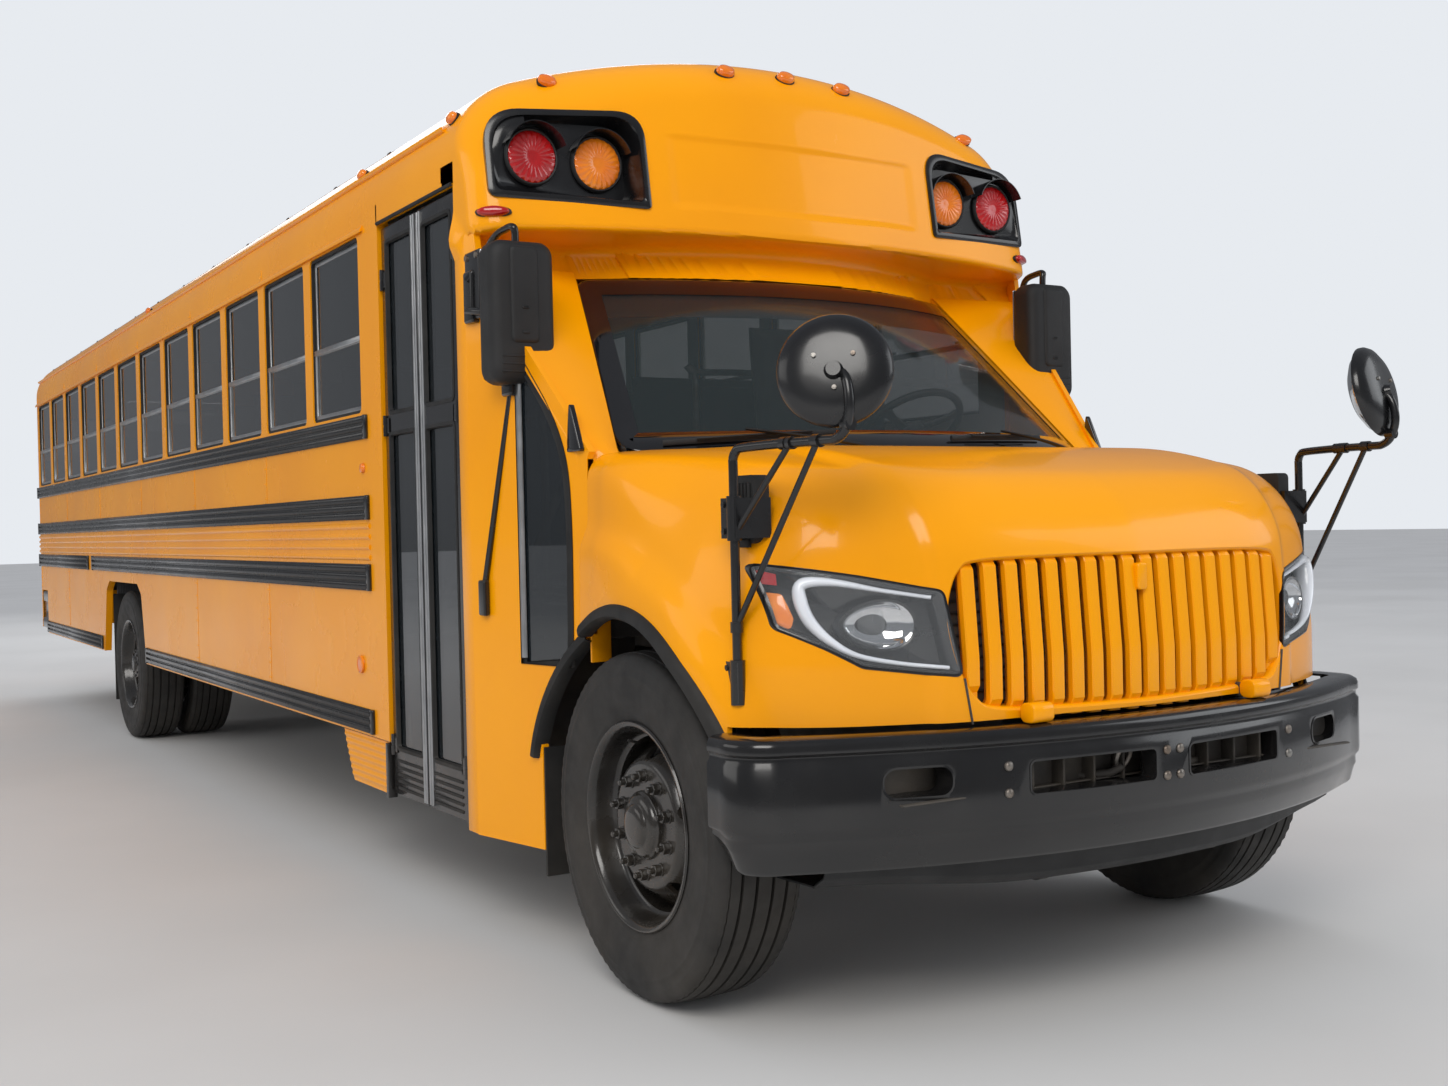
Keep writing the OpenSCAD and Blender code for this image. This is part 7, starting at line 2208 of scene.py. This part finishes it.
def emergency_door():
    """Rear door leaf with two lights, hinges, handles and an inside bar."""
    x, z0, z1 = DOOR_W - 0.008, REAR_DOOR_Z[0] + 0.008, REAR_DOOR_Z[1] - 0.008
    face, inside = REAR_Y - 0.001, REAR_Y - 0.042
    leaf = make("rear_leaf", Shape().prism(rounded(-x, z0, x, z1, 0.028), "y", inside, face), [M["yellow"]],
                "rear_door", "body_yellow", bevel=0.004)
    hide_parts("emergency_door")
    tool, seals, panes = Shape(), Shape(), Shape()
    for a, b in ((z0 + 0.22, SILL_Z - 0.16), (SILL_Z, HEADER_Z)):
        line = rounded(-x + 0.08, a, x - 0.08, min(b, z1 - 0.07), 0.05)
        tool.prism(line, "y", REAR_Y - 0.2, REAR_Y + 0.1)
        light_seals(seals, line, (face, inside), (-0.010, 0.014))
        panes.prism(inset_line(line, 0.008), "y", REAR_Y - 0.024, REAR_Y - 0.018)
    cut(leaf, tool, 40)
    edge = rounded(-x + 0.004, z0 + 0.004, x - 0.004, z1 - 0.004, 0.024)
    seals.grid([[(u, REAR_Y + d, z) for u, z in inset_line(edge, t)]
                for d, t in ((-0.003, -0.002), (0.003, 0.0), (0.003, 0.012), (-0.003, 0.015))], wrap=True)
    make("rear_leaf_seals", seals, [M["rubber"]], "rear_door", "rubber")
    make("rear_leaf_panes", panes, [M["tint"]], "rear_door", "glass_tinted")
    gear = Shape()
    for z in (z0 + 0.20, (z0 + z1) / 2, z1 - 0.26):
        gear.join(rounded_box((-x + 0.002, REAR_Y - 0.002, z), (-x + 0.13, REAR_Y + 0.008, z + 0.06), 0.004, 1, 3))
        gear.tube([(-x - 0.004, REAR_Y + 0.010, z - 0.004), (-x - 0.004, REAR_Y + 0.010, z + 0.064)],
                  0.0095, 1, sides=12)
        for dx in (0.045, 0.085, 0.115):
            gear.lathe([(0.0, 0.008), (0.004, 0.007), (0.006, 0.0)], (-x + dx, REAR_Y + 0.008, z + 0.03), "y", 10, 2)
    hz = (z0 + z1) / 2 - 0.20
    gear.join(rounded_box((x - 0.085, REAR_Y - 0.002, hz - 0.10), (x - 0.015, REAR_Y + 0.006, hz + 0.10), 0.006, 0, 3))
    lever = ((x - 0.05, 0.004, 0), (x - 0.05, 0.030, 0), (x - 0.055, 0.036, -0.01), (x - 0.18, 0.036, -0.012))
    grip = ((-0.12, 0, 0.02), (-0.12, 0.034, 0.03), (-0.10, 0.036, 0.03), (0.04, 0.036, 0.03), (0.06, 0.034, 0.03),
            (0.06, 0, 0.02))
    for path, steps, r, sides in ((lever, 5, 0.009, 10), (grip, 4, 0.007, 8)):
        gear.tube(smooth_path([(u, REAR_Y + d, hz + up) for u, d, up in path], steps), r, 0, sides=sides)
    bar_z = hz + 0.02
    gear.tube([(-x + 0.10, REAR_Y - 0.06, bar_z), (x - 0.10, REAR_Y - 0.06, bar_z)], 0.011, 2, sides=10)
    gear.join(rounded_box((x - 0.14, REAR_Y - 0.075, bar_z - 0.05),
                          (x - 0.07, REAR_Y - 0.04, bar_z + 0.05), 0.008, 0, 3))
    make("rear_leaf_gear", gear, [M["black"], M["yellow"], M["steel"]], "rear_door", "black_trim")


def tail_lamps():
    """Tail, stop and turn lamps, the high stop lamp and the handles beside the rear door."""
    lenses, rest = Shape(), Shape()
    for x, z, r, paint in ((0.680, 1.170, 0.088, 0), (0.920, 1.170, 0.088, 1), (1.095, 1.170, 0.055, 2)):
        lenses.join(round_lens(x, REAR_Y + 0.006, z, r * 0.93, paint, 3, 20, axis_y=1, proud=0.013))
        bowl = ((-0.002, 1.10), (0.008, 1.10), (0.012, 1.05), (0.012, 0.98), (0.004, 0.95), (0.004, 0.0))
        rest.lathe([(d, r * k) for d, k in bowl], (x, REAR_Y, z), "y", 48)
    lenses.join(marker_lamp((1.10, REAR_Y, 1.60), (0, 1, 0), (1, 0, 0), (0.05, 0.024, 0.016)), None)
    obj = make("tail_lenses", lenses.both(), [M["red"], M["amber"], M["white_lens"], M["plastic"]], slot="lamp_red")
    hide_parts("tail_lamps")
    make("tail_lamp_bowls", rest.both(), [M["rubber"]], slot="rubber")
    third = rounded_box((-0.10, REAR_Y - 0.002, 2.705), (0.10, REAR_Y + 0.016, 2.755), 0.008)
    make("high_stop_lamp", third, [M["red"]], slot="lamp_red")
    handles = Shape()
    for x in (-0.52, 0.52):
        path = [(x, REAR_Y + d, z) for d, z in ((0, 2.42), (0.036, 2.42), (0.036, 2.18), (0, 2.18))]
        handles.tube(smooth_path(path, 4), 0.009, sides=10)
    make("rear_handles", handles, [M["black"]], slot="black_trim")


def rear_bumper():
    """Pressed bar bent round both corners, with its top shelf and bolts."""
    z0, z1 = HUB_Z + 0.085, HUB_Z + 0.415
    line = []
    for y in np.linspace(TAIL_Y - 0.436, TAIL_Y - 0.075, 6):
        line.append((HALF_W - 0.002, y))
    for a in np.linspace(0, math.pi / 2, 9)[1:]:
        line.append((HALF_W - 0.077 + 0.075 * math.cos(a), TAIL_Y - 0.075 + 0.075 * math.sin(a)))
    line += [(x, TAIL_Y) for x in np.linspace(HALF_W - 0.15, -HALF_W + 0.15, 12)]
    line += [(-x, y) for x, y in line[:14][::-1]]
    pts = np.array(line)
    d = np.gradient(pts, axis=0)
    n = np.stack([d[:, 1], -d[:, 0]], 1) / np.linalg.norm(d, axis=1)[:, None]
    n *= np.where((n * np.stack([pts[:, 0], pts[:, 1] - 8], 1)).sum(1) < 0, -1, 1)[:, None]
    lip = ((-0.05, 0), (-0.012, 0), (-0.003, 0.006), (0.0, 0.016), (0.0, 0.09), (-0.010, 0.10))
    profile = [(o, z1 - up) for o, up in lip] + [(o, z0 + up) for o, up in lip[::-1]]
    rows = [[(x + nx * o, y + ny * o, z) for o, z in profile] for (x, y), (nx, ny) in zip(pts, n)]
    obj = make("rear_bumper_bar", Shape().grid(rows), [M["bumper"]], slot="black_trim")
    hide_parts("rear_bumper")
    thicken(obj, 0.008)
    shelf = Shape().box((-HALF_W + 0.06, REAR_Y + 0.002, z1 - 0.006), (HALF_W - 0.06, TAIL_Y - 0.01, z1 - 0.001))
    bolts = Shape()
    for x in (0.33, 0.43, 0.80):
        for z in (z0 + 0.05, z1 - 0.05):
            bolts.lathe([(-0.003, 0.014), (0.003, 0.014), (0.006, 0.010), (0.008, 0.0)],
                        (x, TAIL_Y - 0.001, z), "y", 14)
    make("rear_bumper_shelf", shelf, [M["bumper"]], slot="black_trim", bevel=0.002)
    make("rear_bumper_bolts", bolts.both(), [M["steel"]], slot="steel_grey")


rear_wall()
emergency_door()
tail_lamps()
rear_bumper()

# ---------------------------------------------------------------- chassis


def paint_nodes():
    """Materials for the CAD nodes that keep their own shape."""
    coats = {"frame_rails": "chassis", "front_axle": "cast", "knuckle_left": "cast", "knuckle_right": "cast",
             "leaf_springs": "chassis", "rear_axle": "cast", "drive_shaft": "chassis", "engine_block": "cast",
             "exhaust": "steel", "fuel_tank": "chassis", "mud_flaps": "rubber", "floor": "chassis",
             "stepwell": "chassis", "wheel_boxes": "floor"}
    for node, key in coats.items():
        obj = bpy.data.objects.get(node)
        if obj is None:
            continue
        for slot in obj.material_slots:
            slot.material = M[key]
        if not obj.material_slots:
            obj.data.materials.append(M[key])


def underside():
    """Frame bolts, air lines and tank straps on the CAD chassis."""
    bolts = Shape()
    for s in (-1, 1):
        for y in np.arange(0.55, 10.9, 0.42):
            if abs(y - WHEELBASE) < 0.5:
                continue
            for z in (0.70, 0.85):
                head = Shape().lathe([(0.0, 0.011), (0.006, 0.010), (0.009, 0.0)], ORIGIN, "x", 8)
                spot = turned(head, ORIGIN, "Z", 0 if s > 0 else math.pi)
                bolts.join(spot.moved(lambda x, yy, zz: (x + s * 0.4325, yy + y, zz + z)))
    make("frame_bolts", bolts, [M["steel"]], slot="steel_grey")
    lines = Shape()
    for s, z in ((-0.395, 0.885), (-0.395, 0.870), (0.395, 0.885)):
        lines.tube([(s, 0.6, z), (s, 3.0, z), (s, 6.6, z), (s, 10.8, z)], 0.006, sides=6)
    make("air_lines", lines, [M["rubber"]], slot="rubber")
    straps = Shape()
    for y in (8.35, 9.12, 9.90):
        (x0, _, z0), (x1, _, z1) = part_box("fuel_tank")
        loop = [(x, y, z) for x, z in rounded(x0 - 0.004, z0 - 0.004, x1 + 0.004, z1 + 0.004, 0.03, 4)]
        straps.grid([[(x, yy, z) for x, _, z in loop] for yy in (y - 0.03, y + 0.03)], wrap=True)
    obj = make("tank_straps", straps, [M["steel"]], slot="steel_grey")
    thicken(obj, 0.004)


paint_nodes()
underside()
